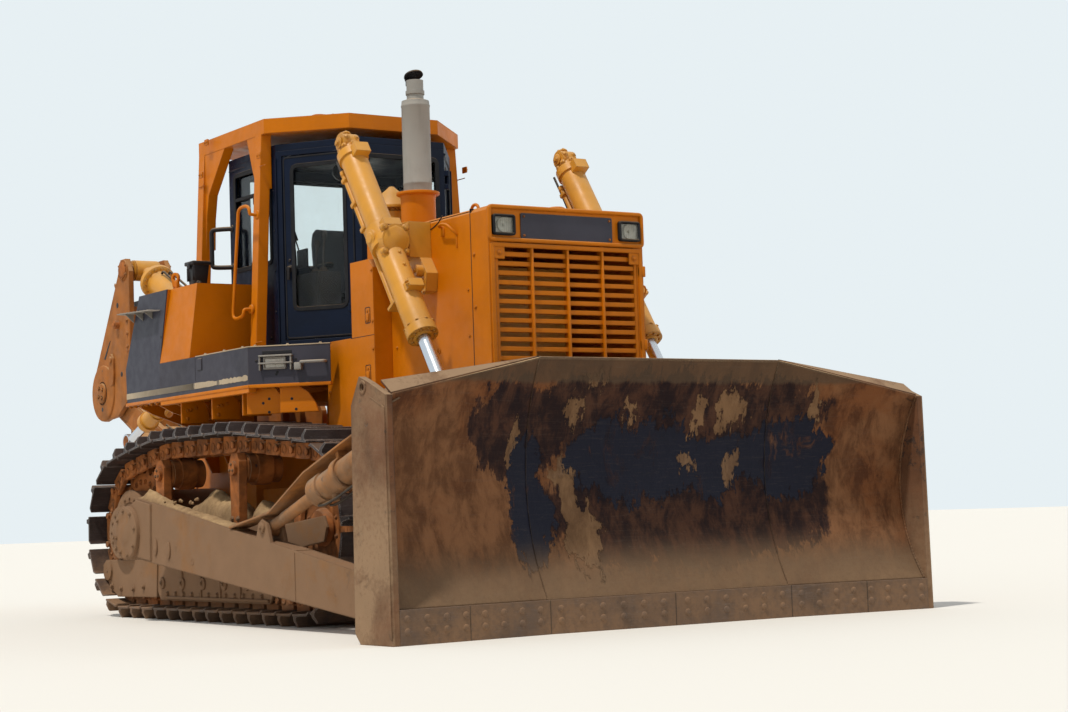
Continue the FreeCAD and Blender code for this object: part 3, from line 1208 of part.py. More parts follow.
def ripper_carrier_shape():
    plates = []
    outline = [Vector(P4.x - 130, 0, P4.z - 40), Vector(P4.x - 60, 0, P4.z + 100), Vector(P4.x + 60, 0, P4.z + 100),
               Vector(P4.x + 130, 0, P4.z - 20), Vector(P2.x + 640, 0, P2.z + 500), Vector(P2.x + 620, 0, P2.z - 60),
               Vector(P2.x + 300, 0, P2.z - 260), Vector(P2.x + 60, 0, P2.z - 255)]
    back = ring_points(P2, dim.rip_round, math.radians(-70), math.radians(-220), 8)
    outline = outline[:6] + [Vector(P2.x + 330, 0, P2.z - 230)] + back
    for low in (dim.rip_plate_inner, -dim.rip_plate_inner - dim.rip_plate_thick):
        plate = extrude_side(outline, low, low + dim.rip_plate_thick)
        plate = plate.cut(Part.makeCylinder(dim.rip_pin + dim.pin_fit, dim.rip_plate_thick + 2,
                                            P2 + Vector(0, low - 1, 0), Vector(0, 1, 0)))
        plates.append(plate)
    inner = dim.rip_plate_inner + 1
    holder = Part.makeBox(90, 2 * inner, 420, Vector(dim.shank_x - dim.shank_wide / 2 - 90.3, -inner, 2290))
    front = Part.makeBox(70, 2 * inner, 280, Vector(dim.shank_x + dim.shank_wide / 2 + 0.3, -inner, 2430))
    top_pin = Part.makeCylinder(55, 2 * inner, P4 - Vector(0, inner, 0), Vector(0, 1, 0))
    return plates[0].fuse([plates[1], holder, front, top_pin])


def shank_shape():
    x = dim.shank_x
    w = dim.shank_wide / 2
    outline = [Vector(x - w, 0, dim.shank_top), Vector(x - w, 0, 1450), Vector(x - w + 60, 0, 1180),
               Vector(x + 120, 0, dim.shank_tip + 60), Vector(x + 330, 0, dim.shank_tip),
               Vector(x + 200, 0, 1060), Vector(x + w - 10, 0, 1250), Vector(x + w, 0, 1500),
               Vector(x + w, 0, dim.shank_top)]
    return extrude_side(outline, -dim.shank_half, dim.shank_half)


def pitch_shape():
    way = (P3 - P4).normalize()
    eye = Part.makeCylinder(95, 2 * 110, P4 - Vector(0, 110, 0), Vector(0, 1, 0))
    bar = Part.makeCylinder(60, 400, P4, way)
    flange = Part.makeCylinder(160, 60, P4 + way * 300, way)
    barrel = Part.makeCylinder(dim.rip_pitch_radius, (P3 - P4).Length - 360, P4 + way * 300, way)
    tail = Part.makeCylinder(95, 2 * 110, P3 - Vector(0, 110, 0), Vector(0, 1, 0))
    bore = Part.makeCylinder(55 + dim.pin_fit, 300, P4 - Vector(0, 150, 0), Vector(0, 1, 0))
    bore_low = Part.makeCylinder(55 + dim.pin_fit, 300, P3 - Vector(0, 150, 0), Vector(0, 1, 0))
    return eye.fuse([bar, flange, barrel, tail]).cut(bore).cut(bore_low)


R5 = Vector(dim.rip_lift_top_x, 0, dim.rip_lift_top_z)
R6 = Vector(dim.rip_lift_eye_x, 0, dim.rip_lift_eye_z)
rip_way = (R6 - R5).normalize()


def rip_barrel(side):
    y = Vector(0, side * dim.rip_lift_y, 0)
    length = 1080
    half = dim.rip_eye_half
    tube = Part.makeCylinder(dim.rip_lift_radius, length - 60, R5 + y + rip_way * 120, rip_way)
    gland = Part.makeCylinder(dim.rip_lift_radius + 14, 60, R5 + y + rip_way * (length + 1), rip_way)
    eye = Part.makeCylinder(85, 2 * half, R5 + y - Vector(0, half, 0), Vector(0, 1, 0))
    neck = Part.makeCylinder(60, 110, R5 + y + rip_way * 50, rip_way)
    pin_bore = Part.makeCylinder(45 + dim.pin_fit, 2 * half + 2, R5 + y - Vector(0, half + 1, 0), Vector(0, 1, 0))
    bore = Part.makeCylinder(40 + dim.pin_fit, 1100, R5 + y + rip_way * 220, rip_way)
    return tube.fuse([gland, eye, neck]).cut(bore).cut(pin_bore)


def rip_rod(side):
    y = Vector(0, side * dim.rip_lift_y, 0)
    total = (R6 - R5).Length
    bar = Part.makeCylinder(40, total - 60 - 420, R5 + y + rip_way * 420, rip_way)
    eye = Part.makeCylinder(70, 80, R6 + y - Vector(0, 40, 0), Vector(0, 1, 0))
    return bar.fuse(eye)


node("ripper_arms", solid("ripper_arms_body", ripper_arm_shape()))
node("ripper_carrier", solid("ripper_carrier_body", ripper_carrier_shape()))
node("ripper_shank", solid("ripper_shank_body", shank_shape()))
node("ripper_pitch_cylinder", solid("ripper_pitch_body", pitch_shape()))
for side, name in ((-1, "right"), (1, "left")):
    node("ripper_barrel_" + name, solid("ripper_barrel_body_" + name, rip_barrel(side)))
    node("ripper_rod_" + name, solid("ripper_rod_body_" + name, rip_rod(side)))


def ripper_mount_shape():
    """The tower bolted on the rear case, with the lower pivots, the top pivot and the lift pivots."""
    plates = []
    low_outline = [Vector(P1.x - 130, 0, P1.z - 130), Vector(dim.case_rear - 1, 0, P1.z - 260),
                   Vector(dim.case_rear - 1, 0, P1.z + 260), Vector(P1.x - 130, 0, P1.z + 130)]
    arm_out = dim.rip_arm_inner + dim.rip_arm_thick
    for low in (arm_out + 8, -arm_out - 68):
        plates.append(extrude_side(low_outline, low, low + 60))
    pivot = Part.makeCylinder(60, 2 * arm_out + 60, P1 - Vector(0, arm_out + 30, 0), Vector(0, 1, 0))
    tower = [Vector(P3.x - 130, 0, P3.z + 120), Vector(P3.x + 90, 0, P3.z + 120), Vector(dim.tower_x, 0, dim.tower_z),
             Vector(dim.tower_x, 0, dim.case_high + 1), Vector(dim.case_rear + 140, 0, dim.case_high + 1),
             Vector(P3.x - 150, 0, P3.z - 60)]
    for low in (118, -178):
        plates.append(extrude_side(tower, low, low + 60))
    top_pin = Part.makeCylinder(55, 240, P3 - Vector(0, 120, 0), Vector(0, 1, 0))
    ears = [Vector(R5.x - 100, 0, R5.z + 80), Vector(R5.x + 60, 0, R5.z + 100), Vector(dim.tower_x - 40, 0, dim.tower_z),
            Vector(dim.tower_x, 0, dim.case_high + 1), Vector(dim.case_rear + 140, 0, dim.case_high + 1),
            Vector(R5.x - 110, 0, R5.z - 60)]
    for side in (-1, 1):
        half = dim.rip_eye_half + dim.seat_gap
        for gap in (-half - 45, half):
            low = side * dim.rip_lift_y + gap
            plates.append(extrude_side(ears, low, low + 45))
        plates.append(Part.makeCylinder(45, 2 * half + 40, Vector(R5.x, side * dim.rip_lift_y - half - 20, R5.z),
                                        Vector(0, 1, 0)))
    foot = Part.makeBox(500, 2 * dim.case_half - 20, 40, Vector(dim.case_rear + 130, -dim.case_half + 10,
                                                               dim.case_high + 0.5))
    back_plate = Part.makeBox(40, 2 * (arm_out + 68), 520, Vector(dim.case_rear - 40.5, -arm_out - 68, P1.z - 260))
    upper = plates[2].fuse(plates[3:] + [top_pin, foot])
    lower = plates[0].fuse([plates[1], pivot, back_plate])
    return Part.makeCompound([upper, lower])


node("ripper_mount", solid("ripper_mount_body", ripper_mount_shape()))

doc.recompute()
failed = [thing.Name for thing in doc.Objects if {"Invalid", "Error"} & set(thing.State)]
failed += [thing.Label for thing in NODES if thing.Shape.isNull() or not thing.Shape.isValid()]
if failed:
    raise RuntimeError("failed pieces: " + ", ".join(failed))
os.makedirs("parts", exist_ok=True)
reach = FreeCAD.BoundBox()
for thing in NODES:
    thing.Shape.exportStep(os.path.join("parts", thing.Label + ".step"))
    reach.add(thing.Shape.BoundBox)
    print(thing.Label, len(thing.Shape.Solids), round(thing.Shape.Volume / 1e9, 5), "m3")
print("box", reach)
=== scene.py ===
# %% [markdown]
# # A crawler bulldozer with a ripper
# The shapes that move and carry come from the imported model, which loads as a fixed frame.
# This lesson dresses that frame: finishes first, then the chains, the wheels, the nose, the cab,
# the blade and the ripper. All lengths are metres, +X is forward, +Y is the machine's left and +Z is up.

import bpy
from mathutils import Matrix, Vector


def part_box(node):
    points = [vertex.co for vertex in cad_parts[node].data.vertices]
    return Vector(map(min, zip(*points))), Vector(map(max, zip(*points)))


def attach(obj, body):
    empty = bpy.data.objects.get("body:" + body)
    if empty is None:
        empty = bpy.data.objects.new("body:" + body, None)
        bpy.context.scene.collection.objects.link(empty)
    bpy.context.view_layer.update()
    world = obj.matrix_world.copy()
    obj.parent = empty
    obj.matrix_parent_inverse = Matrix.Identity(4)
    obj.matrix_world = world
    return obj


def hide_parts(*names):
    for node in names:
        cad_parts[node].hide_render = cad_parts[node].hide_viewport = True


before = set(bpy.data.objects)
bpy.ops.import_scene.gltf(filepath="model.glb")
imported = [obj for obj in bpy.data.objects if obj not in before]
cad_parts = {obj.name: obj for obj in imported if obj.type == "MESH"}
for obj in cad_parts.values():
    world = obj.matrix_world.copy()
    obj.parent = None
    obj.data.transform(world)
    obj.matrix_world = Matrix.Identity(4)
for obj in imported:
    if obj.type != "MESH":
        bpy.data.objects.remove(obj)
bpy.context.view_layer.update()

import math
import random

import bmesh
import bpy
from mathutils import Matrix, Vector

# %% [markdown]
# ## Camera
# The photographer stood low, ahead of the machine's right front corner, about sixteen metres away.
# The lens was found by fitting the blade, the canopy and the chain to the picture, so the place and
# the three turns are plain numbers here. Looking is built from heading, pitch and roll, one at a time.

# %% Camera
HEADING = math.radians(33.667)
PITCH = math.radians(4.188)
ROLL = math.radians(-1.911)
CAMERA_PLACE = Vector((14.6455, -7.876, 0.712))

level_ahead = Vector((-math.cos(HEADING), math.sin(HEADING), 0))
level_right = Vector((math.sin(HEADING), math.cos(HEADING), 0))
straight_up = Vector((0, 0, 1))
look = level_ahead * math.cos(PITCH) + straight_up * math.sin(PITCH)
pitched_up = straight_up * math.cos(PITCH) - level_ahead * math.sin(PITCH)
right = level_right * math.cos(ROLL) + pitched_up * math.sin(ROLL)
up = pitched_up * math.cos(ROLL) - level_right * math.sin(ROLL)

camera_data = bpy.data.cameras.new("camera")
camera_data.sensor_width = 36
camera_data.lens = 71.87
camera_data.clip_end = 400
camera = bpy.data.objects.new("camera", camera_data)
bpy.context.scene.collection.objects.link(camera)
turn = Matrix((right, up, -look)).transposed().to_4x4()
camera.matrix_world = Matrix.Translation(CAMERA_PLACE) @ turn
bpy.context.scene.camera = camera
bpy.context.scene.view_settings.view_transform = "Standard"
print("camera looks along", [round(v, 3) for v in look])

# %% [markdown]
# ## Floor, sky and lamps
# A pale floor takes the shadow. The world is pale where the camera, a mirror or a pane looks at it,
# and weaker where it lights the machine, so the background stays bright and the paint keeps its colour.
# One high, fairly soft sun from the right gives the bright tops and the shade under the fenders.

# %% Floor, sky and lamps
SKY_COLOUR = (0.80, 0.87, 0.90, 1)


def node_in(tree, kind, values=None, **settings):
    """Add a shader node; values sets its inputs, by name or number, or links a socket to them."""
    made = tree.nodes.new(kind)
    for key, value in settings.items():
        setattr(made, key, value)
    for key, value in (values or {}).items():
        socket = made.inputs[key]
        if isinstance(value, bpy.types.NodeSocket):
            tree.links.new(value, socket)
        else:
            socket.default_value = value
    return made


world = bpy.data.worlds.new("sky")
bpy.context.scene.world = world
world.use_nodes = True
sky = world.node_tree
sky.nodes.clear()
path = node_in(sky, "ShaderNodeLightPath")
seen = node_in(sky, "ShaderNodeMath", {0: path.outputs["Is Camera Ray"], 1: path.outputs["Is Glossy Ray"]},
               operation="MAXIMUM")
seen = node_in(sky, "ShaderNodeMath", {0: seen.outputs[0], 1: path.outputs["Is Transmission Ray"]},
               operation="MAXIMUM")
lighting = node_in(sky, "ShaderNodeBackground", {"Color": (0.86, 0.93, 1.0, 1), "Strength": 0.60})
backdrop = node_in(sky, "ShaderNodeBackground", {"Color": SKY_COLOUR, "Strength": 1.0})
both = node_in(sky, "ShaderNodeMixShader", {0: seen.outputs[0], 1: lighting.outputs[0], 2: backdrop.outputs[0]})
node_in(sky, "ShaderNodeOutputWorld", {"Surface": both.outputs[0]})


def lamp(name, power, place, target, softness):
    """A sun that shines from a place towards a target."""
    data = bpy.data.lights.new(name, "SUN")
    data.energy = power
    data.angle = math.radians(softness)
    data.color = (1.0, 0.97, 0.92)
    obj = bpy.data.objects.new(name, data)
    bpy.context.scene.collection.objects.link(obj)
    obj.location = place
    obj.rotation_mode = "QUATERNION"
    obj.rotation_quaternion = (Vector(target) - Vector(place)).to_track_quat("-Z", "Y")
    return obj


lamp("sun_key", 2.6, (1.6, -5.5, 12.0), (0, 0, 0), 3)
lamp("sun_fill", 0.35, (6.0, 9.0, 5.0), (0, 0, 1), 50)

floor_bm = bmesh.new()
bmesh.ops.create_grid(floor_bm, x_segments=1, y_segments=1, size=90)
floor_mesh = bpy.data.meshes.new("floor")
floor_bm.to_mesh(floor_mesh)
floor_bm.free()
floor = bpy.data.objects.new("floor", floor_mesh)
bpy.context.scene.collection.objects.link(floor)
floor_finish = bpy.data.materials.new("pale_floor")
floor_finish.use_nodes = True
floor_shader = floor_finish.node_tree.nodes["Principled BSDF"]
floor_shader.inputs["Base Color"].default_value = (0.74, 0.70, 0.63, 1)
floor_shader.inputs["Roughness"].default_value = 0.9
floor_mesh.materials.append(floor_finish)
print("floor, sky and", len(bpy.data.lights), "lamps")

# %% [markdown]
# ## Shared effects
# A working machine shows the same few effects on every surface: paint rubbed off at edges, dust that
# settles on top and low down, chips, streaks and fine scratches. Each effect is one shader node group
# with named inputs, so a material places it with its own values and stays short. The groups give out
# masks, heights and normals, and the material itself keeps the shader.

# %% Group helper
def shader_group(name, inputs, outputs):
    """A node group with its named sockets; returns the tree and the outputs of its input node."""
    tree = bpy.data.node_groups.new(name, "ShaderNodeTree")
    kinds = {"v": "NodeSocketFloat", "c": "NodeSocketColor", "n": "NodeSocketVector"}
    for label, (kind, value) in inputs.items():
        socket = tree.interface.new_socket(label, in_out="INPUT", socket_type=kinds[kind])
        if value is not None:
            socket.default_value = value
    for label, kind in outputs.items():
        tree.interface.new_socket(label, in_out="OUTPUT", socket_type=kinds[kind])
    return tree, tree.nodes.new("NodeGroupInput").outputs


def math_node(tree, operation, first, second=0.0, clamp=False):
    made = node_in(tree, "ShaderNodeMath", {0: first, 1: second}, operation=operation)
    made.use_clamp = clamp
    return made.outputs[0]


def map_range(tree, value, low, high, to_low=0.0, to_high=1.0):
    made = node_in(tree, "ShaderNodeMapRange", {"Value": value, "From Min": low, "From Max": high,
                                                "To Min": to_low, "To Max": to_high})
    made.interpolation_type = "SMOOTHSTEP"
    return made.outputs["Result"]


def object_place(tree):
    return node_in(tree, "ShaderNodeTexCoord").outputs["Object"]


def stretched(tree, scale):
    """The object's own coordinates, pulled longer or shorter along each axis."""
    return node_in(tree, "ShaderNodeMapping", {"Vector": object_place(tree), "Scale": scale}).outputs[0]


def noise(tree, vector, scale, detail=6.0, rough=0.55, warp=0.0):
    return node_in(tree, "ShaderNodeTexNoise", {"Vector": vector, "Scale": scale, "Detail": detail,
                                                "Roughness": rough, "Distortion": warp}).outputs["Fac"]


def mix_colour(tree, share, first, second, blend="MIX"):
    made = node_in(tree, "ShaderNodeMix", data_type="RGBA", blend_type=blend)
    made.clamp_factor = True
    for socket, value in zip((made.inputs[0], made.inputs[6], made.inputs[7]), (share, first, second)):
        if isinstance(value, bpy.types.NodeSocket):
            tree.links.new(value, socket)
        else:
            socket.default_value = value
    return made.outputs[2]


def group_end(tree, values):
    node_in(tree, "NodeGroupOutput", values)
    return tree


# %% [markdown]
# ### Worn edges
# Paint goes first where two faces meet. The Bevel node gives the normal of an imaginary rounded edge,
# and where it turns away from the flat face's own normal there is an edge. The same rounded normal is
# handed out as well, because it makes a sharp plate catch a thin highlight as a real one does.

# %% Worn edges
edge_group, edge_in = shader_group("worn_edges", {"Width": ("v", 0.012), "Patchy": ("v", 0.5)},
                                   {"Mask": "v", "Normal": "n"})
rounded = node_in(edge_group, "ShaderNodeBevel", {"Radius": edge_in["Width"]}, samples=4).outputs[0]
flat = node_in(edge_group, "ShaderNodeNewGeometry").outputs["Normal"]
agree = node_in(edge_group, "ShaderNodeVectorMath", {0: rounded, 1: flat}, operation="DOT_PRODUCT")
turned = map_range(edge_group, agree.outputs["Value"], 0.995, 0.86)
patches = noise(edge_group, object_place(edge_group), 9.0, 8.0, 0.7)
patchy = math_node(edge_group, "MULTIPLY_ADD", patches, -2.0)
patchy.node.inputs[2].default_value = 1.45
kept = math_node(edge_group, "MULTIPLY", patchy, edge_in["Patchy"])
mask = math_node(edge_group, "SUBTRACT", turned, kept, clamp=True)
group_end(edge_group, {"Mask": mask, "Normal": rounded})
print("group", edge_group.name)

# %% [markdown]
# ### Settled dust
# Dust lies on faces that look up, and splashes reach up from the ground. The mask adds both, each
# broken up by noise at two scales, so a clean panel keeps a few clouds and a low beam is nearly covered.

# %% Settled dust
dust_group, dust_in = shader_group("settled_dust", {"On top": ("v", 0.6), "Low down": ("v", 0.6),
                                                    "Height": ("v", 1.2), "Cover": ("v", 0.1)}, {"Mask": "v"})
facing = node_in(dust_group, "ShaderNodeSeparateXYZ",
                 {0: node_in(dust_group, "ShaderNodeTexCoord").outputs["Normal"]}).outputs["Z"]
place = node_in(dust_group, "ShaderNodeSeparateXYZ", {0: object_place(dust_group)}).outputs["Z"]
clouds = noise(dust_group, object_place(dust_group), 2.1, 9.0, 0.62, 0.4)
specks = noise(dust_group, object_place(dust_group), 30.0, 6.0, 0.7)
lying = math_node(dust_group, "MULTIPLY", map_range(dust_group, facing, 0.15, 0.95), dust_in["On top"])
share = math_node(dust_group, "DIVIDE", place, dust_in["Height"])
splash = math_node(dust_group, "MULTIPLY", map_range(dust_group, share, 1.0, 0.25), dust_in["Low down"])
total = math_node(dust_group, "ADD", math_node(dust_group, "ADD", lying, splash), dust_in["Cover"])
broken = math_node(dust_group, "MULTIPLY", total, map_range(dust_group, clouds, 0.30, 0.62, 0.35, 1.3))
broken = math_node(dust_group, "MULTIPLY", broken, map_range(dust_group, specks, 0.25, 0.6, 0.6, 1.15), clamp=True)
group_end(dust_group, {"Mask": broken})
print("group", dust_group.name)

# %% [markdown]
# ### Chips, streaks and scratches
# Chips are small islands where noise passes a threshold, gathered in patches by a second, wider noise.
# Streaks run down a side: the pattern is pulled long in Z. Scratches are the thin middle line of a
# strongly stretched noise, which leaves hair-fine marks in one direction.

# %% Chips, streaks and scratches
chip_group, chip_in = shader_group("paint_chips", {"Scale": ("v", 14.0), "Amount": ("v", 0.3)}, {"Mask": "v"})
islands = noise(chip_group, object_place(chip_group), chip_in["Scale"], 9.0, 0.72, 0.3)
fields = noise(chip_group, object_place(chip_group), 1.7, 3.0)
limit = math_node(chip_group, "MULTIPLY_ADD", chip_in["Amount"], -0.28)
limit.node.inputs[2].default_value = 0.80
shift = math_node(chip_group, "SUBTRACT", 0.5, fields)
line = math_node(chip_group, "MULTIPLY_ADD", shift, 0.45)
chip_group.links.new(limit, line.node.inputs[2])
chipped = math_node(chip_group, "MULTIPLY", math_node(chip_group, "SUBTRACT", islands, line), 60.0, clamp=True)
group_end(chip_group, {"Mask": chipped})

streak_group, streak_in = shader_group("rain_streaks", {"Amount": ("v", 0.4)}, {"Mask": "v"})
runs = noise(streak_group, stretched(streak_group, (9.0, 9.0, 0.7)), 1.6, 7.0, 0.6)
streaks = math_node(streak_group, "MULTIPLY", map_range(streak_group, runs, 0.46, 0.72), streak_in["Amount"], clamp=True)
group_end(streak_group, {"Mask": streaks})

scratch_group, scratch_in = shader_group("fine_scratches", {"Amount": ("v", 0.4), "Scale": ("v", 5.0)}, {"Mask": "v"})
hairs = noise(scratch_group, stretched(scratch_group, (0.5, 0.5, 14.0)), scratch_in["Scale"], 5.0, 0.5, 0.9)
middle = math_node(scratch_group, "ABSOLUTE", math_node(scratch_group, "SUBTRACT", hairs, 0.5))
thin = map_range(scratch_group, middle, 0.012, 0.002)
scratches = math_node(scratch_group, "MULTIPLY", thin, scratch_in["Amount"], clamp=True)
group_end(scratch_group, {"Mask": scratches})
print("groups", chip_group.name, streak_group.name, scratch_group.name)

# %% [markdown]
# ### Grain
# Sprayed paint has orange peel, a casting has a coarse skin and dried mud is lumpy. All three are a
# height: a fine noise plus a coarse one, which a Bump node in the material turns into relief.

# %% Grain
grain_group, grain_in = shader_group("surface_grain", {"Fine": ("v", 220.0), "Coarse": ("v", 9.0),
                                                       "Lumps": ("v", 0.4)}, {"Height": "v"})
fine = noise(grain_group, object_place(grain_group), grain_in["Fine"], 3.0)
coarse = noise(grain_group, object_place(grain_group), grain_in["Coarse"], 8.0, 0.62)
lumps = math_node(grain_group, "MULTIPLY", coarse, grain_in["Lumps"])
group_end(grain_group, {"Height": math_node(grain_group, "ADD", math_node(grain_group, "MULTIPLY", fine, 0.2), lumps)})
print("group", grain_group.name)

# %% [markdown]
# ## Coated metal
# One recipe makes every painted or rusty metal on the machine. It lays colours over each other in the
# order they come to lie on a real plate: the paint with its mottling, rain streaks, chips that show the
# primer, bare metal along the edges and dust on top. Roughness follows the same masks.

# %% Coated metal
DUST = (0.42, 0.27, 0.13, 1)
EARTH_DUST = (0.190, 0.108, 0.058, 1)
BARE = (0.17, 0.085, 0.045, 1)
STEEL = (0.30, 0.27, 0.25, 1)


def use_group(tree, group, values):
    made = tree.nodes.new("ShaderNodeGroup")
    made.node_tree = group
    for key, value in values.items():
        if isinstance(value, bpy.types.NodeSocket):
            tree.links.new(value, made.inputs[key])
        else:
            made.inputs[key].default_value = value
    return made.outputs


def blank_material(name):
    material = bpy.data.materials.new(name)
    material.use_nodes = True
    tree = material.node_tree
    return material, tree, tree.nodes["Principled BSDF"]


def coated_metal(name, paint, shade=0.84, mottle=2.4, rough=0.38, metallic=0.0, under=BARE, chips=0.25,
                 chip_scale=14.0, wear=0.8, width=0.010, streaks=0.04, scratches=0.04, on_top=0.5, low=0.6,
                 height=1.3, cover=0.05, dust=DUST, lumps=0.3, coarse=9.0, relief=0.003, gloss=0.20,
                 outer=None, outer_dust=None, below=None):
    """Paint or rust over metal. outer (from, paint) and outer_dust (from, share) lie beyond |Y| = from, and
    below (z, paint) under a height."""
    material, tree, shader = blank_material(name)
    darker = tuple(v * shade for v in paint[:3]) + (1,)
    clouds = noise(tree, object_place(tree), mottle, 9.0, 0.6, 0.3)
    colour = mix_colour(tree, map_range(tree, clouds, 0.36, 0.68), paint, darker)
    across = node_in(tree, "ShaderNodeSeparateXYZ", {0: object_place(tree)}).outputs["Y"]
    if outer:
        beyond = math_node(tree, "GREATER_THAN", math_node(tree, "ABSOLUTE", across), outer[0])
        colour = mix_colour(tree, beyond, colour, outer[1])
    if below:
        rise = node_in(tree, "ShaderNodeSeparateXYZ", {0: object_place(tree)}).outputs["Z"]
        colour = mix_colour(tree, math_node(tree, "LESS_THAN", rise, below[0]), colour, below[1])
    streak = use_group(tree, streak_group, {"Amount": streaks})["Mask"]
    colour = mix_colour(tree, streak, colour, tuple(v * 0.42 for v in paint[:3]) + (1,))
    chip = use_group(tree, chip_group, {"Scale": chip_scale, "Amount": chips})["Mask"]
    colour = mix_colour(tree, chip, colour, under)
    hair = use_group(tree, scratch_group, {"Amount": scratches, "Scale": 5.0})["Mask"]
    colour = mix_colour(tree, hair, colour, tuple(0.5 * v + 0.25 for v in under[:3]) + (1,))
    edge = use_group(tree, edge_group, {"Width": width, "Patchy": 0.9})
    worn = math_node(tree, "MULTIPLY", edge["Mask"], wear, clamp=True)
    colour = mix_colour(tree, worn, colour, under)
    share = cover
    if outer_dust:
        beyond = math_node(tree, "GREATER_THAN", math_node(tree, "ABSOLUTE", across), outer_dust[0])
        share = math_node(tree, "MULTIPLY_ADD", beyond, outer_dust[1])
        share.node.inputs[2].default_value = cover
    film = use_group(tree, dust_group, {"On top": on_top, "Low down": low, "Height": height, "Cover": share})["Mask"]
    pale = mix_colour(tree, noise(tree, object_place(tree), 5.0), dust, tuple(min(1.0, v * 1.35) for v in dust[:3]) + (1,))
    colour = mix_colour(tree, film, colour, pale)
    tree.links.new(colour, shader.inputs["Base Color"])
    dull = math_node(tree, "MAXIMUM", film, math_node(tree, "MAXIMUM", chip, worn))
    spots = map_range(tree, noise(tree, object_place(tree), 12.0), 0.3, 0.7, rough - 0.06, rough + 0.10)
    tree.links.new(mix_value(tree, dull, spots, 0.85), shader.inputs["Roughness"])
    if metallic:
        shine = math_node(tree, "MULTIPLY", math_node(tree, "SUBTRACT", 1.0, film), metallic)
        tree.links.new(shine, shader.inputs["Metallic"])
    shader.inputs["Specular IOR Level"].default_value = gloss
    grain = use_group(tree, grain_group, {"Fine": 220.0, "Coarse": coarse, "Lumps": lumps})["Height"]
    relief_height = math_node(tree, "SUBTRACT", grain, math_node(tree, "MULTIPLY", chip, 0.25))
    bump = node_in(tree, "ShaderNodeBump", {"Strength": 0.7, "Distance": relief, "Height": relief_height,
                                            "Normal": edge["Normal"]})
    tree.links.new(bump.outputs[0], shader.inputs["Normal"])
    return material


def mix_value(tree, share, first, second):
    made = node_in(tree, "ShaderNodeMix", {0: share, 2: first, 3: second})
    return made.outputs[0]


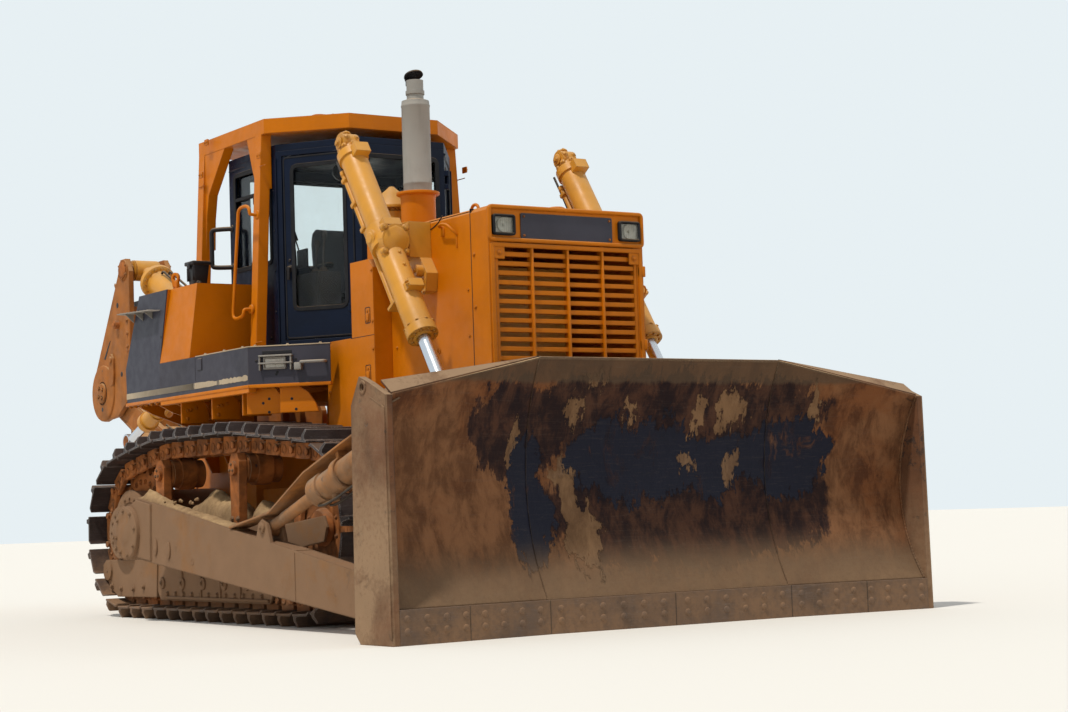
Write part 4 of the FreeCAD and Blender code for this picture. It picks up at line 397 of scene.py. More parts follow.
ORANGE = (0.575, 0.158, 0.0005, 1)
SLATE = (0.046, 0.045, 0.060, 1)
finish = {
    "orange": coated_metal("orange_paint", ORANGE, 0.86, rough=0.42, chips=0.12, wear=0.45, on_top=0.32, low=0.35,
                           height=1.3, cover=0.0, gloss=0.14),
    "tank": coated_metal("tank_paint", ORANGE, 0.86, rough=0.42, chips=0.12, wear=0.45, on_top=0.32, low=0.3,
                         height=1.3, cover=0.0, gloss=0.14, outer=(1.250, SLATE), scratches=0.0,
                         streaks=0.0),
    "faded": coated_metal("faded_orange", (0.36, 0.110, 0.012, 1), 0.62, mottle=5.0, rough=0.60, chips=0.32, wear=0.8,
                          streaks=0.15, on_top=0.6, low=0.5, height=1.6, cover=0.06, lumps=0.5),
    "yellow": coated_metal("cylinder_paint", (0.63, 0.272, 0.020, 1), 0.80, rough=0.36, chips=0.16, wear=0.6,
                           on_top=0.4, low=0.3, height=1.3, cover=0.03, streaks=0.06, gloss=0.35),
    "slate": coated_metal("slate_paint", SLATE, 0.82, rough=0.52, chips=0.10, wear=0.35, scratches=0.0, streaks=0.0,
                          under=(0.20, 0.16, 0.13, 1), on_top=0.65, low=0.25, height=1.8, cover=0.01, gloss=0.15),
    "fender": coated_metal("fender_paint", SLATE, 0.82, rough=0.52, chips=0.10, wear=0.35, scratches=0.0, streaks=0.0,
                           under=(0.20, 0.16, 0.13, 1), on_top=0.65, low=0.25, height=1.8, cover=0.01, gloss=0.15,
                           below=(1.672, ORANGE)),
    "navy": coated_metal("cab_paint", (0.003, 0.008, 0.024, 1), 0.7, rough=0.42, chips=0.03, wear=0.22,
                         under=(0.06, 0.055, 0.06, 1), on_top=0.35, low=0.0, height=2.4, cover=0.0, gloss=0.14,
                         scratches=0.01, streaks=0.02),
    "grey": coated_metal("silencer_paint", (0.30, 0.285, 0.255, 1), 0.80, rough=0.5, chips=0.10, wear=0.3,
                         under=(0.22, 0.11, 0.06, 1), on_top=0.4, low=0.0, cover=0.04, streaks=0.25),
    "black": coated_metal("black_paint", (0.010, 0.010, 0.013, 1), 0.7, rough=0.42, chips=0.05, wear=0.3,
                          under=(0.10, 0.085, 0.08, 1), on_top=0.4, low=0.1, cover=0.01, gloss=0.2),
    "rust": coated_metal("rusty_casting", (0.420, 0.130, 0.026, 1), 0.40, mottle=7.0, rough=0.74, chips=0.40,
                         under=(0.045, 0.026, 0.020, 1), wear=0.6, on_top=0.6, low=0.45, height=1.1, cover=0.06,
                         dust=EARTH_DUST, lumps=0.9, relief=0.010, coarse=16.0),
    # Shoe steel: the pale colour on its edges and scratches is partly worn bright steel and partly a painted highlight
    # of the sun on the grouser edges.
    "shoe": coated_metal("shoe_steel_worn_and_painted_glint", (0.046, 0.036, 0.036, 1), 0.6, mottle=8.0, rough=0.46, metallic=0.30,
                         under=(0.52, 0.48, 0.44, 1), chips=0.10, wear=1.0, width=0.009, scratches=0.08, on_top=0.30, low=0.5,
                         height=0.6, cover=0.05, lumps=0.6, relief=0.006, dust=EARTH_DUST),
    "dusty": coated_metal("dusty_beam", (0.26, 0.115, 0.035, 1), 0.5, mottle=2.2, rough=0.74, chips=0.5,
                          under=(0.085, 0.055, 0.040, 1), wear=0.8, width=0.014, scratches=0.10, on_top=0.8, low=0.6,
                          height=1.8, cover=0.62, dust=EARTH_DUST, lumps=0.7, relief=0.006),
    "grimy": coated_metal("grimy_orange", (0.42, 0.150, 0.022, 1), 0.45, mottle=6.0, rough=0.60, chips=0.55,
                          under=(0.075, 0.045, 0.032, 1), wear=0.8, scratches=0.05, on_top=0.7, low=0.3, height=1.4,
                          cover=0.30, dust=(0.230, 0.150, 0.092, 1), lumps=0.7, relief=0.006),
    "endplate": coated_metal("end_plate_mud", (0.150, 0.060, 0.026, 1), 0.45, mottle=3.0, rough=0.80, chips=0.6,
                             under=(0.050, 0.028, 0.020, 1), wear=0.9, width=0.012, scratches=0.06, on_top=1.0, low=0.45,
                             height=1.0, cover=0.05, dust=(0.240, 0.150, 0.084, 1), lumps=0.9, relief=0.008,
                             outer_dust=(2.020, 0.42)),
    "edge_steel": coated_metal("cutting_edge_steel", (0.085, 0.062, 0.050, 1), 0.55, mottle=5.0, rough=0.50,
                               metallic=0.35, under=STEEL, chips=0.10, wear=0.7, width=0.008, scratches=0.20, on_top=0.5,
                               low=0.40, height=0.35, cover=0.22, dust=EARTH_DUST, lumps=0.7, relief=0.005),
}
print("coated metals", sorted(finish))

# %% [markdown]
# ### Blade face
# Earth has polished the middle of the blade to a blue-black, and dried mud clings in brown sheets round
# it, with tan flakes where wet clay has set. Each patch is an ellipse across the face, but the place it
# is measured in has first been pushed about by two noises, a broad one and one that is drawn out
# downwards, so that every rim comes out torn as sliding mud leaves it. Short tables place the patches.

# %% Blade face
blade_face, tree, shader = blank_material("blade_face")
where = object_place(tree)
height = node_in(tree, "ShaderNodeSeparateXYZ", {0: where}).outputs["Z"]
smears = noise(tree, stretched(tree, (1, 1.5, 0.8)), 5.0, 12.0, 0.70, 0.3)
broad = noise(tree, where, 1.6, 6.0, 0.6)
grit = noise(tree, where, 42.0, 8.0, 0.75)


def pushed(vector, pattern, reach):
    """A place shifted by a noise's colour, which is a vector round one half."""
    centred = node_in(tree, "ShaderNodeVectorMath", {0: pattern, 1: (0.5, 0.5, 0.5)}, operation="SUBTRACT")
    moved = node_in(tree, "ShaderNodeVectorMath", {0: centred.outputs[0], 1: reach, 2: vector},
                    operation="MULTIPLY_ADD")
    return moved.outputs[0]


swirl = node_in(tree, "ShaderNodeTexNoise", {"Vector": where, "Scale": 3.4, "Detail": 9.0, "Roughness": 0.66})
fray = node_in(tree, "ShaderNodeTexNoise", {"Vector": stretched(tree, (1, 1.9, 0.6)), "Scale": 13.0, "Detail": 9.0,
                                            "Roughness": 0.72})
torn = pushed(pushed(where, swirl.outputs["Color"], (0, 0.42, 0.50)), fray.outputs["Color"], (0, 0.16, 0.46))


def patch(centre, half):
    """1 inside an ellipse (Y, Z) of the torn place, 0 outside."""
    scale = [1.0 / v for v in half]
    spot = node_in(tree, "ShaderNodeMapping", {"Vector": torn, "Scale": (0, *scale),
                                               "Location": (0, -centre[0] * scale[0], -centre[1] * scale[1])})
    reach = node_in(tree, "ShaderNodeVectorMath", {0: spot.outputs[0]}, operation="LENGTH").outputs["Value"]
    return map_range(tree, reach, 1.03, 0.95)


def any_patch(table):
    found = patch(*table[0])
    for row in table[1:]:
        found = math_node(tree, "MAXIMUM", found, patch(*row))
    return found


SMOKY = [((0.05, 1.32), (1.35, 0.24)), ((0.30, 0.72), (1.15, 0.40)), ((-1.02, 1.20), (0.36, 0.30))]
BARE_STEEL = [((-0.12, 1.00), (0.58, 0.27)), ((0.52, 0.98), (0.46, 0.20)), ((1.05, 1.03), (0.36, 0.24)),
              ((-0.92, 0.78), (0.14, 0.40))]
CLAY = [((-0.68, 0.92), (0.035, 0.16)), ((-0.64, 0.74), (0.085, 0.16)), ((-0.56, 0.54), (0.17, 0.18)),
        ((0.59, 1.34), (0.11, 0.10)), ((0.34, 1.30), (0.045, 0.13)), ((0.28, 1.00), (0.10, 0.055)),
        ((-0.46, 1.52), (0.10, 0.035)), ((-0.61, 1.32), (0.09, 0.06)), ((-0.18, 1.32), (0.055, 0.035)),
        ((-1.02, 1.10), (0.05, 0.12)), ((0.66, 0.92), (0.06, 0.10)), ((1.25, 1.34), (0.05, 0.12))]
smoky = math_node(tree, "MULTIPLY", any_patch(SMOKY), 0.92)
film = map_range(tree, noise(tree, stretched(tree, (1, 1.4, 0.7)), 4.2, 10.0, 0.72, 0.6), 0.54, 0.66, 0.0, 0.55)
steel = math_node(tree, "MULTIPLY", any_patch(BARE_STEEL), math_node(tree, "SUBTRACT", 1.0, film))
clay = any_patch(CLAY)
wet = mix_colour(tree, map_range(tree, smears, 0.38, 0.62), (0.072, 0.026, 0.011, 1), (0.172, 0.064, 0.024, 1))
dry = mix_colour(tree, map_range(tree, smears, 0.38, 0.62), (0.105, 0.044, 0.019, 1), (0.205, 0.092, 0.041, 1))
tint = mix_colour(tree, map_range(tree, broad, 0.42, 0.58), wet, dry)
tint = mix_colour(tree, map_range(tree, grit, 0.60, 0.70, 0.0, 0.6), tint, (0.030, 0.016, 0.012, 1))
dark = mix_colour(tree, map_range(tree, smears, 0.40, 0.66), (0.010, 0.006, 0.008, 1), (0.062, 0.028, 0.018, 1))
tint = mix_colour(tree, smoky, tint, dark)
polished = mix_colour(tree, smears, (0.003, 0.004, 0.011, 1), (0.010, 0.010, 0.021, 1))
tint = mix_colour(tree, steel, tint, polished)
set_clay = mix_colour(tree, map_range(tree, smears, 0.35, 0.65), (0.120, 0.062, 0.030, 1), (0.220, 0.122, 0.060, 1))
tint = mix_colour(tree, math_node(tree, "MULTIPLY", clay, 0.92), tint, set_clay)
wet_line = math_node(tree, "ADD", height, math_node(tree, "MULTIPLY", smears, 0.10))
tint = mix_colour(tree, map_range(tree, wet_line, 1.515, 1.545, 0.0, 0.75), tint, (0.085, 0.055, 0.034, 1))
tint = mix_colour(tree, map_range(tree, wet_line, 0.62, 0.36, 0.0, 0.85), tint, (0.130, 0.078, 0.045, 1))
hair = use_group(tree, scratch_group, {"Amount": 0.10, "Scale": 3.0})["Mask"]
tint = mix_colour(tree, hair, tint, (0.16, 0.12, 0.095, 1))
lying = use_group(tree, dust_group, {"On top": 1.3, "Low down": 0.0, "Height": 1.0, "Cover": 0.0})["Mask"]
lying = math_node(tree, "MULTIPLY", lying, map_range(tree, height, 1.45, 1.60, 0.12, 1.0))
tint = mix_colour(tree, lying, tint, (0.62, 0.42, 0.22, 1))
blade_edge = use_group(tree, edge_group, {"Width": 0.014, "Patchy": 0.6})
edge_wear = math_node(tree, "MULTIPLY", blade_edge["Mask"], map_range(tree, height, 1.50, 1.58, 0.25, 0.9))
tint = mix_colour(tree, edge_wear, tint, (0.34, 0.24, 0.15, 1))
tree.links.new(tint, shader.inputs["Base Color"])
tree.links.new(mix_value(tree, steel, map_range(tree, smears, 0.3, 0.7, 0.84, 0.95), 0.50), shader.inputs["Roughness"])
shader.inputs["Specular IOR Level"].default_value = 0.12
skin = math_node(tree, "ADD", math_node(tree, "MULTIPLY", clay, 0.9), math_node(tree, "MULTIPLY", grit, 0.30))
skin = math_node(tree, "ADD", skin, math_node(tree, "MULTIPLY", smears, 0.7))
skin = math_node(tree, "SUBTRACT", skin, math_node(tree, "MULTIPLY", steel, 0.5))
skin_bump = node_in(tree, "ShaderNodeBump", {"Strength": 0.8, "Distance": 0.010, "Height": skin,
                                             "Normal": blade_edge["Normal"]})
tree.links.new(skin_bump.outputs[0], shader.inputs["Normal"])
finish["bladeface"] = blade_face
print("blade face with", len(tree.nodes), "nodes")

# %% [markdown]
# ### Chrome, glass, rubber, cloth and plastic
# The piston rods are chrome with faint lengthwise marks. Panes and lamp lenses are thin glass: their
# transmission and metallic stay plain numbers, and only roughness carries smudges. Rubber, moulded
# plastic and seat cloth are small recipes of their own.

# %% Chrome, glass, rubber, cloth and plastic
chrome, tree, shader = blank_material("chrome_rod")
shader.inputs["Metallic"].default_value = 1.0
marks = noise(tree, stretched(tree, (60.0, 60.0, 4.0)), 3.0, 5.0)
film = use_group(tree, dust_group, {"On top": 0.35, "Low down": 0.2, "Height": 1.0, "Cover": 0.03})["Mask"]
tree.links.new(mix_colour(tree, film, (0.62, 0.66, 0.72, 1), DUST), shader.inputs["Base Color"])
tree.links.new(mix_value(tree, film, map_range(tree, marks, 0.3, 0.7, 0.10, 0.22), 0.7), shader.inputs["Roughness"])
finish["chrome"] = chrome


def clear_pane(name, tint, rough, smudge_scale):
    material, tree, shader = blank_material(name)
    shader.inputs["Transmission Weight"].default_value = 1.0
    shader.inputs["IOR"].default_value = 1.2
    smudge = noise(tree, object_place(tree), smudge_scale, 6.0)
    dusted = use_group(tree, dust_group, {"On top": 0.3, "Low down": 0.0, "Height": 1.0, "Cover": 0.10})["Mask"]
    tree.links.new(mix_colour(tree, dusted, tint, (0.66, 0.62, 0.55, 1)), shader.inputs["Base Color"])
    tree.links.new(map_range(tree, smudge, 0.3, 0.7, rough, rough + 0.08), shader.inputs["Roughness"])
    return material


finish["glass"] = clear_pane("window_glass", (0.90, 0.95, 0.95, 1), 0.02, 4.0)
finish["lamp"] = clear_pane("lamp_lens", (0.95, 0.96, 0.94, 1), 0.08, 30.0)


def grained(name, colour, rough, fine, distance, dust_cover=0.06, second=None):
    """Rubber, plastic or cloth: two close colours, fine grain relief and a little dust."""
    material, tree, shader = blank_material(name)
    lighter = second or tuple(min(1.0, v * 1.8 + 0.004) for v in colour[:3]) + (1,)
    blotch = noise(tree, object_place(tree), 6.0, 8.0, 0.65)
    tone = mix_colour(tree, map_range(tree, blotch, 0.35, 0.7), colour, lighter)
    film = use_group(tree, dust_group, {"On top": 0.3, "Low down": 0.3, "Height": 1.0, "Cover": dust_cover})["Mask"]
    tree.links.new(mix_colour(tree, film, tone, DUST), shader.inputs["Base Color"])
    tree.links.new(mix_value(tree, film, rough, 0.9), shader.inputs["Roughness"])
    shader.inputs["Specular IOR Level"].default_value = 0.2
    peel = noise(tree, object_place(tree), fine, 4.0)
    bump = node_in(tree, "ShaderNodeBump", {"Strength": 0.5, "Distance": distance, "Height": peel})
    tree.links.new(bump.outputs[0], shader.inputs["Normal"])
    return material


finish["rubber"] = grained("black_rubber", (0.007, 0.007, 0.008, 1), 0.66, 160.0, 0.001, 0.0)
finish["plastic"] = grained("moulded_plastic", (0.024, 0.025, 0.030, 1), 0.50, 260.0, 0.0008)
finish["leather"] = grained("headrest_leather", (0.52, 0.34, 0.20, 1), 0.55, 120.0, 0.0012,
                            second=(0.62, 0.43, 0.27, 1))
finish["stripe"] = coated_metal("cream_stripe", (0.46, 0.36, 0.24, 1), 0.80, rough=0.5, chips=0.12, chip_scale=5.0,
                                under=(0.16, 0.085, 0.03, 1), wear=0.5, width=0.004, on_top=0.2, low=0.2, cover=0.05)
finish["earth"] = grained("packed_earth", (0.100, 0.052, 0.026, 1), 0.95, 30.0, 0.012, 0.35,
                          second=(0.215, 0.125, 0.067, 1))
finish["reflector"] = grained("lamp_reflector", (0.50, 0.48, 0.42, 1), 0.22, 90.0, 0.001, 0.10,
                              second=(0.66, 0.64, 0.60, 1))

cloth, tree, shader = blank_material("seat_cloth")
shader.inputs["Sheen Weight"].default_value = 0.35
weave_at = stretched(tree, (1, 1, 1))
warp = node_in(tree, "ShaderNodeTexWave", {"Vector": weave_at, "Scale": 150.0}, bands_direction="Y").outputs["Fac"]
weft = node_in(tree, "ShaderNodeTexWave", {"Vector": weave_at, "Scale": 150.0}, bands_direction="X").outputs["Fac"]
rise = node_in(tree, "ShaderNodeTexWave", {"Vector": weave_at, "Scale": 150.0}, bands_direction="Z").outputs["Fac"]
thread = math_node(tree, "MULTIPLY", math_node(tree, "MAXIMUM", warp, weft), rise)
fade = noise(tree, object_place(tree), 5.0, 6.0)
tree.links.new(mix_colour(tree, fade, (0.020, 0.022, 0.028, 1), (0.055, 0.055, 0.060, 1)), shader.inputs["Base Color"])
shader.inputs["Roughness"].default_value = 0.92
weave_bump = node_in(tree, "ShaderNodeBump", {"Strength": 0.6, "Distance": 0.0012, "Height": thread})
tree.links.new(weave_bump.outputs[0], shader.inputs["Normal"])
finish["seat"] = cloth
print("finishes", sorted(finish))

# %% [markdown]
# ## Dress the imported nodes
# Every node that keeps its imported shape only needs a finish. A node's mesh stays as it is; its first
# material slot is given the finish, picked by the first words of its name. Flat faces keep their edges
# and round ones turn smooth through the normals that came with the model.

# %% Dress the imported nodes
NODE_FINISH = {
    "sprockets": "rust", "final_drives": "dusty", "idlers": "rust", "track_rollers": "rust",
    "carrier_rollers": "rust", "track_frames": "dusty", "main_frame": "orange", "engine": "yellow",
    "radiator_guard": "orange", "grille": "orange", "headlamps": "lamp", "hood": "orange",
    "dash_cowl": "orange", "side_boxes": "orange", "stack_collar": "orange", "muffler": "grey",
    "rain_cap": "black", "pre_cleaner": "yellow", "cab_shell": "navy", "cab_top": "navy",
    "cab_windows": "glass", "door_glass": "glass", "door": "navy", "cab_fittings": "plastic",
    "seat": "seat", "rollover_frame": "orange", "fenders": "fender", "fuel_tank": "tank",
    "side_tanks": "orange", "blade_mouldboard": "bladeface", "cutting_edge": "edge_steel",
    "blade_end_plates": "endplate", "blade_back": "faded", "push_arms": "dusty", "tilt": "grimy",
    "lift_barrel": "yellow", "lift_rod": "chrome", "lift_yokes": "yellow", "ripper_arms": "faded",
    "ripper_carrier": "faded", "ripper_shank": "shoe", "ripper_pitch": "yellow",
    "ripper_barrel": "yellow", "ripper_rod": "chrome", "ripper_mount": "faded", "grab": "orange",
    "tank_caps": "black", "battery_box": "black", "track_": "shoe",
}


def finish_for(name):
    fitting = [start for start in NODE_FINISH if name.startswith(start)]
    return finish[NODE_FINISH[max(fitting, key=len)]]


for name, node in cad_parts.items():
    node.data.materials.clear()
    node.data.materials.append(finish_for(name))
print("dressed", len(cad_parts), "nodes")

# %% [markdown]
# ## Modelling helpers
# The new pieces are built with bmesh operators. A few helpers cover most of them: a softened block, a
# bar between two points, a turned profile, a plate from an outline, a hex bolt and a bent pipe. Each
# adds to a bmesh that is already open, so one piece can hold many parts, and keep() turns the bmesh
# into an object that rides on its body, takes its finish and hides the imported nodes it stands for.

# %% Blocks, bars and turned parts
def soften(bm, verts, width, segments=2):
    """Bevel every edge between these vertices."""
    chosen = set(verts)
    edges = [e for e in {e for v in verts for e in v.link_edges} if set(e.verts) <= chosen]
    bmesh.ops.bevel(bm, geom=edges, offset=width, segments=segments, affect="EDGES", profile=0.5,
                    material=-1, clamp_overlap=True)


def block(bm, low, high, bevel=0.004, matrix=None, segments=2):
    """A softened box between two corners, turned by a matrix if one is given."""
    low, high = Vector(low), Vector(high)
    made = bmesh.ops.create_cube(bm, size=1)["verts"]
    bmesh.ops.scale(bm, vec=high - low, verts=made)
    bmesh.ops.translate(bm, vec=(low + high) / 2, verts=made)
    if matrix is not None:
        bmesh.ops.transform(bm, matrix=matrix, verts=made)
    if bevel:
        soften(bm, made, bevel, segments)


def frame_at(origin, direction, top=(0, 0, 1)):
    """A matrix whose Z runs along a direction and whose X leans as near as it can to top."""
    z = Vector(direction).normalized()
    x = Vector(top) - z * z.dot(Vector(top))
    if x.length < 1e-4:
        x = Vector((1, 0, 0)) - z * z.x
    x.normalize()
    return Matrix.Translation(Vector(origin)) @ Matrix((x, z.cross(x), z)).transposed().to_4x4()


def bar(bm, start, end, radius, end_radius=None, sides=24, bevel=0.0):
    """A round bar or cone between two points, its rims softened if asked."""
    start, end = Vector(start), Vector(end)
    made = bmesh.ops.create_cone(bm, cap_ends=True, segments=sides, radius1=radius,
                                 radius2=radius if end_radius is None else end_radius,
                                 depth=(end - start).length)["verts"]
    if bevel:
        rims = [e for e in {e for v in made for e in v.link_edges}
                if abs(e.verts[0].co.z - e.verts[1].co.z) < 1e-6]
        bmesh.ops.transform(bm, matrix=frame_at((start + end) / 2, end - start), verts=made)
        bmesh.ops.bevel(bm, geom=rims, offset=bevel, segments=2, affect="EDGES", profile=0.5, material=-1,
                        clamp_overlap=True)
    else:
        bmesh.ops.transform(bm, matrix=frame_at((start + end) / 2, end - start), verts=made)


def turned(bm, origin, direction, profile, steps=32):
    """Spin an outline of (radius, height) pairs round an axis; radius 0 closes the end."""
    verts = [bm.verts.new((r, 0, h)) for r, h in profile]
    edges = [bm.edges.new(pair) for pair in zip(verts, verts[1:])]
    spun = bmesh.ops.spin(bm, geom=verts + edges, cent=(0, 0, 0), axis=(0, 0, 1), angle=2 * math.pi,
                          steps=steps, use_merge=True)
    grown = set(verts)
    stack = list(verts)
    while stack:
        for edge in stack.pop().link_edges:
            for v in edge.verts:
                if v not in grown:
                    grown.add(v)
                    stack.append(v)
    grown = list(grown)
    bmesh.ops.remove_doubles(bm, verts=grown, dist=1e-5)
    grown = [v for v in grown if v.is_valid]
    bmesh.ops.transform(bm, matrix=frame_at(origin, direction), verts=grown)


def plate(bm, outline, thickness, bevel=0.003):
    """A flat outline of points pushed along a vector, its edges softened."""
    face = bm.faces.new([bm.verts.new(p) for p in outline])
    pushed = bmesh.ops.extrude_face_region(bm, geom=[face])["geom"]
    moved = [v for v in pushed if isinstance(v, bmesh.types.BMVert)]
    bmesh.ops.translate(bm, vec=thickness, verts=moved)
    if bevel:
        soften(bm, list(face.verts) + moved, bevel, 1)


def bolt(bm, place, normal, size=0.014):
    """A hex head on its washer, standing on a surface; size is half the head's width."""
    for sides, radius, low, high in ((14, size * 1.45, -0.2, 0.22), (6, size, 0.2, 0.95)):
        made = bmesh.ops.create_cone(bm, cap_ends=True, segments=sides, radius1=radius, radius2=radius * 0.93,
                                     depth=size * (high - low))["verts"]
        centre = Vector(place) + Vector(normal).normalized() * size * (low + high) / 2
        bmesh.ops.transform(bm, matrix=frame_at(centre, normal), verts=made)


def bolt_ring(bm, centre, normal, radius, count, size=0.014, start=0.0):
    ring = frame_at(centre, normal)
    for i in range(count):
        angle = start + 2 * math.pi * i / count
        bolt(bm, ring @ Vector((math.cos(angle) * radius, math.sin(angle) * radius, 0)), normal, size)


print("helpers: soften, block, bar, turned, plate, bolt")

# %% [markdown]
# ### Bent pipes
# A grab rail or a hydraulic pipe is one tube with smooth bends. A NURBS curve with a round bevel gives
# that from a few corner points, and its mesh joins the piece it belongs to.

# %% Pipes, mirrored parts and finished pieces
def pipe(bm, points, radius, sides=3):
    """A round tube through smooth bends; sides is the curve's bevel resolution."""
    data = bpy.data.curves.new("pipe", "CURVE")
    data.dimensions = "3D"
    data.bevel_depth = radius
    data.bevel_resolution = sides
    data.resolution_u = 6
    data.use_fill_caps = True
    spline = data.splines.new("NURBS")
    spline.points.add(len(points) - 1)
    for control, point in zip(spline.points, points):
        control.co = (*point, 1)
    spline.order_u = 3
    spline.use_endpoint_u = True
    holder = bpy.data.objects.new("pipe", data)
    bpy.context.scene.collection.objects.link(holder)
    bpy.context.view_layer.update()
    mesh = bpy.data.meshes.new_from_object(holder.evaluated_get(bpy.context.evaluated_depsgraph_get()))
    bm.from_mesh(mesh)
    bpy.data.objects.remove(holder)
    bpy.data.curves.remove(data)
    bpy.data.meshes.remove(mesh)


def both_sides(bm):
    """Copy everything in the bmesh to the machine's other side."""
    bmesh.ops.mirror(bm, geom=bm.verts[:] + bm.edges[:] + bm.faces[:], matrix=Matrix.Identity(4), merge_dist=-1,
                     axis="Y")


def keep(name, bm, body, finish_name, stands_for=(), smooth=32, merge=0.00005):
    """Finish a bmesh: close it, point it outwards, give it its material and put it on its body."""
    bmesh.ops.remove_doubles(bm, verts=bm.verts[:], dist=merge)
    bmesh.ops.recalc_face_normals(bm, faces=bm.faces[:])
    mesh = bpy.data.meshes.new(name)
    bm.to_mesh(mesh)
    bm.free()
    mesh.polygons.foreach_set("use_smooth", [True] * len(mesh.polygons))
    mesh.set_sharp_from_angle(angle=math.radians(smooth))
    mesh.materials.append(finish[finish_name])
    piece = bpy.data.objects.new(name, mesh)
    bpy.context.scene.collection.objects.link(piece)
    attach(piece, body)
    if stands_for:
        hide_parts(*stands_for)
    print(name, "on", body, "with", len(mesh.polygons), "faces")
    return piece


AXLE_BACK = 1.1415


def at(x, y, z):
    """A place measured from the sprocket's axle line, as the machine was surveyed, in the frame."""
    return Vector((x - AXLE_BACK, y, z))


SIDES = (("right", -1), ("left", 1))

# %% [markdown]
# ## Crawler chains
# Each chain is forty-one links joined by pins, with a steel shoe bolted to every link. The pin line is a
# belt round the sprocket, the idler and two carrier rollers, so the links are placed by walking along
# that belt one pitch at a time. One link is modelled once and copied, which keeps its faces few.

# %% The pin line
PITCH_LENGTH = 0.2286
LINKS = 41
CHAIN_RADIUS = 0.495
SHOE_REACH = 0.093
GROUSER_REACH = 0.165
GAUGE_HALF = 1.07
CARRIER_WRAP = 0.165
AXLE_Z = GROUSER_REACH + CHAIN_RADIUS
CARRIER_Z = AXLE_Z + CHAIN_RADIUS + 0.110 - CARRIER_WRAP
CARRIERS_X = (0.690, 1.990)
CHAIN_LENGTH = LINKS * PITCH_LENGTH


def belt_pieces(idler_x):
    """The belt as straight runs and arcs, forward along the ground and back over the carriers."""
    pulleys = [((0, AXLE_Z), CHAIN_RADIUS), ((idler_x, AXLE_Z), CHAIN_RADIUS),
               ((CARRIERS_X[1], CARRIER_Z), CARRIER_WRAP), ((CARRIERS_X[0], CARRIER_Z), CARRIER_WRAP)]
    runs = []
    for (centre, r1), (after, r2) in zip(pulleys, pulleys[1:] + pulleys[:1]):
        start, end = Vector(centre), Vector(after)
        away = end - start
        angle = math.atan2(away.y, away.x) - math.acos((r1 - r2) / away.length)
        out = Vector((math.cos(angle), math.sin(angle)))
        runs.append((start + out * r1, end + out * r2, angle))
    pieces = []
    for i, (leave, meet, angle) in enumerate(runs):
        pieces.append(("run", (meet - leave).length, leave, meet, 0))
        centre, radius = pulleys[(i + 1) % 4]
        turn_by = (runs[(i + 1) % 4][2] - angle) % (2 * math.pi)
        pieces.append(("arc", radius * turn_by, Vector(centre), radius, angle))
    return pieces


idler_x = (CHAIN_LENGTH - 2 * math.pi * CHAIN_RADIUS) / 2
for _ in range(6):
    idler_x += (CHAIN_LENGTH - sum(p[1] for p in belt_pieces(idler_x))) / 2
pin_line = belt_pieces(idler_x)


def pin_place(distance):
    distance %= CHAIN_LENGTH
    for kind, length, first, second, angle in pin_line:
        if distance <= length:
            break
        distance -= length
    if kind == "run":
        return first + (second - first) * (distance / length)
    angle += distance / second
    return first + Vector((math.cos(angle), math.sin(angle))) * second


pins = [pin_place(i * PITCH_LENGTH) for i in range(LINKS)]

# %% [markdown]
# ### One link with its shoe
# The shoe is a profile pushed across the track: a flat plate, a tall grouser near its rear edge and a
# curled front lip that overlaps the next shoe. Its ends are cut at a slant. Below it stand two forged
# side links, which are dog-bones with a waist, and a pin and bushing pass through one end.

# %% One link with its shoe
HALF_PITCH = PITCH_LENGTH / 2
SHOE_HALF = 0.28


def as_mesh(name, bm):
    bmesh.ops.recalc_face_normals(bm, faces=bm.faces[:])
    mesh = bpy.data.meshes.new(name)
    bm.to_mesh(mesh)
    bm.free()
    return mesh


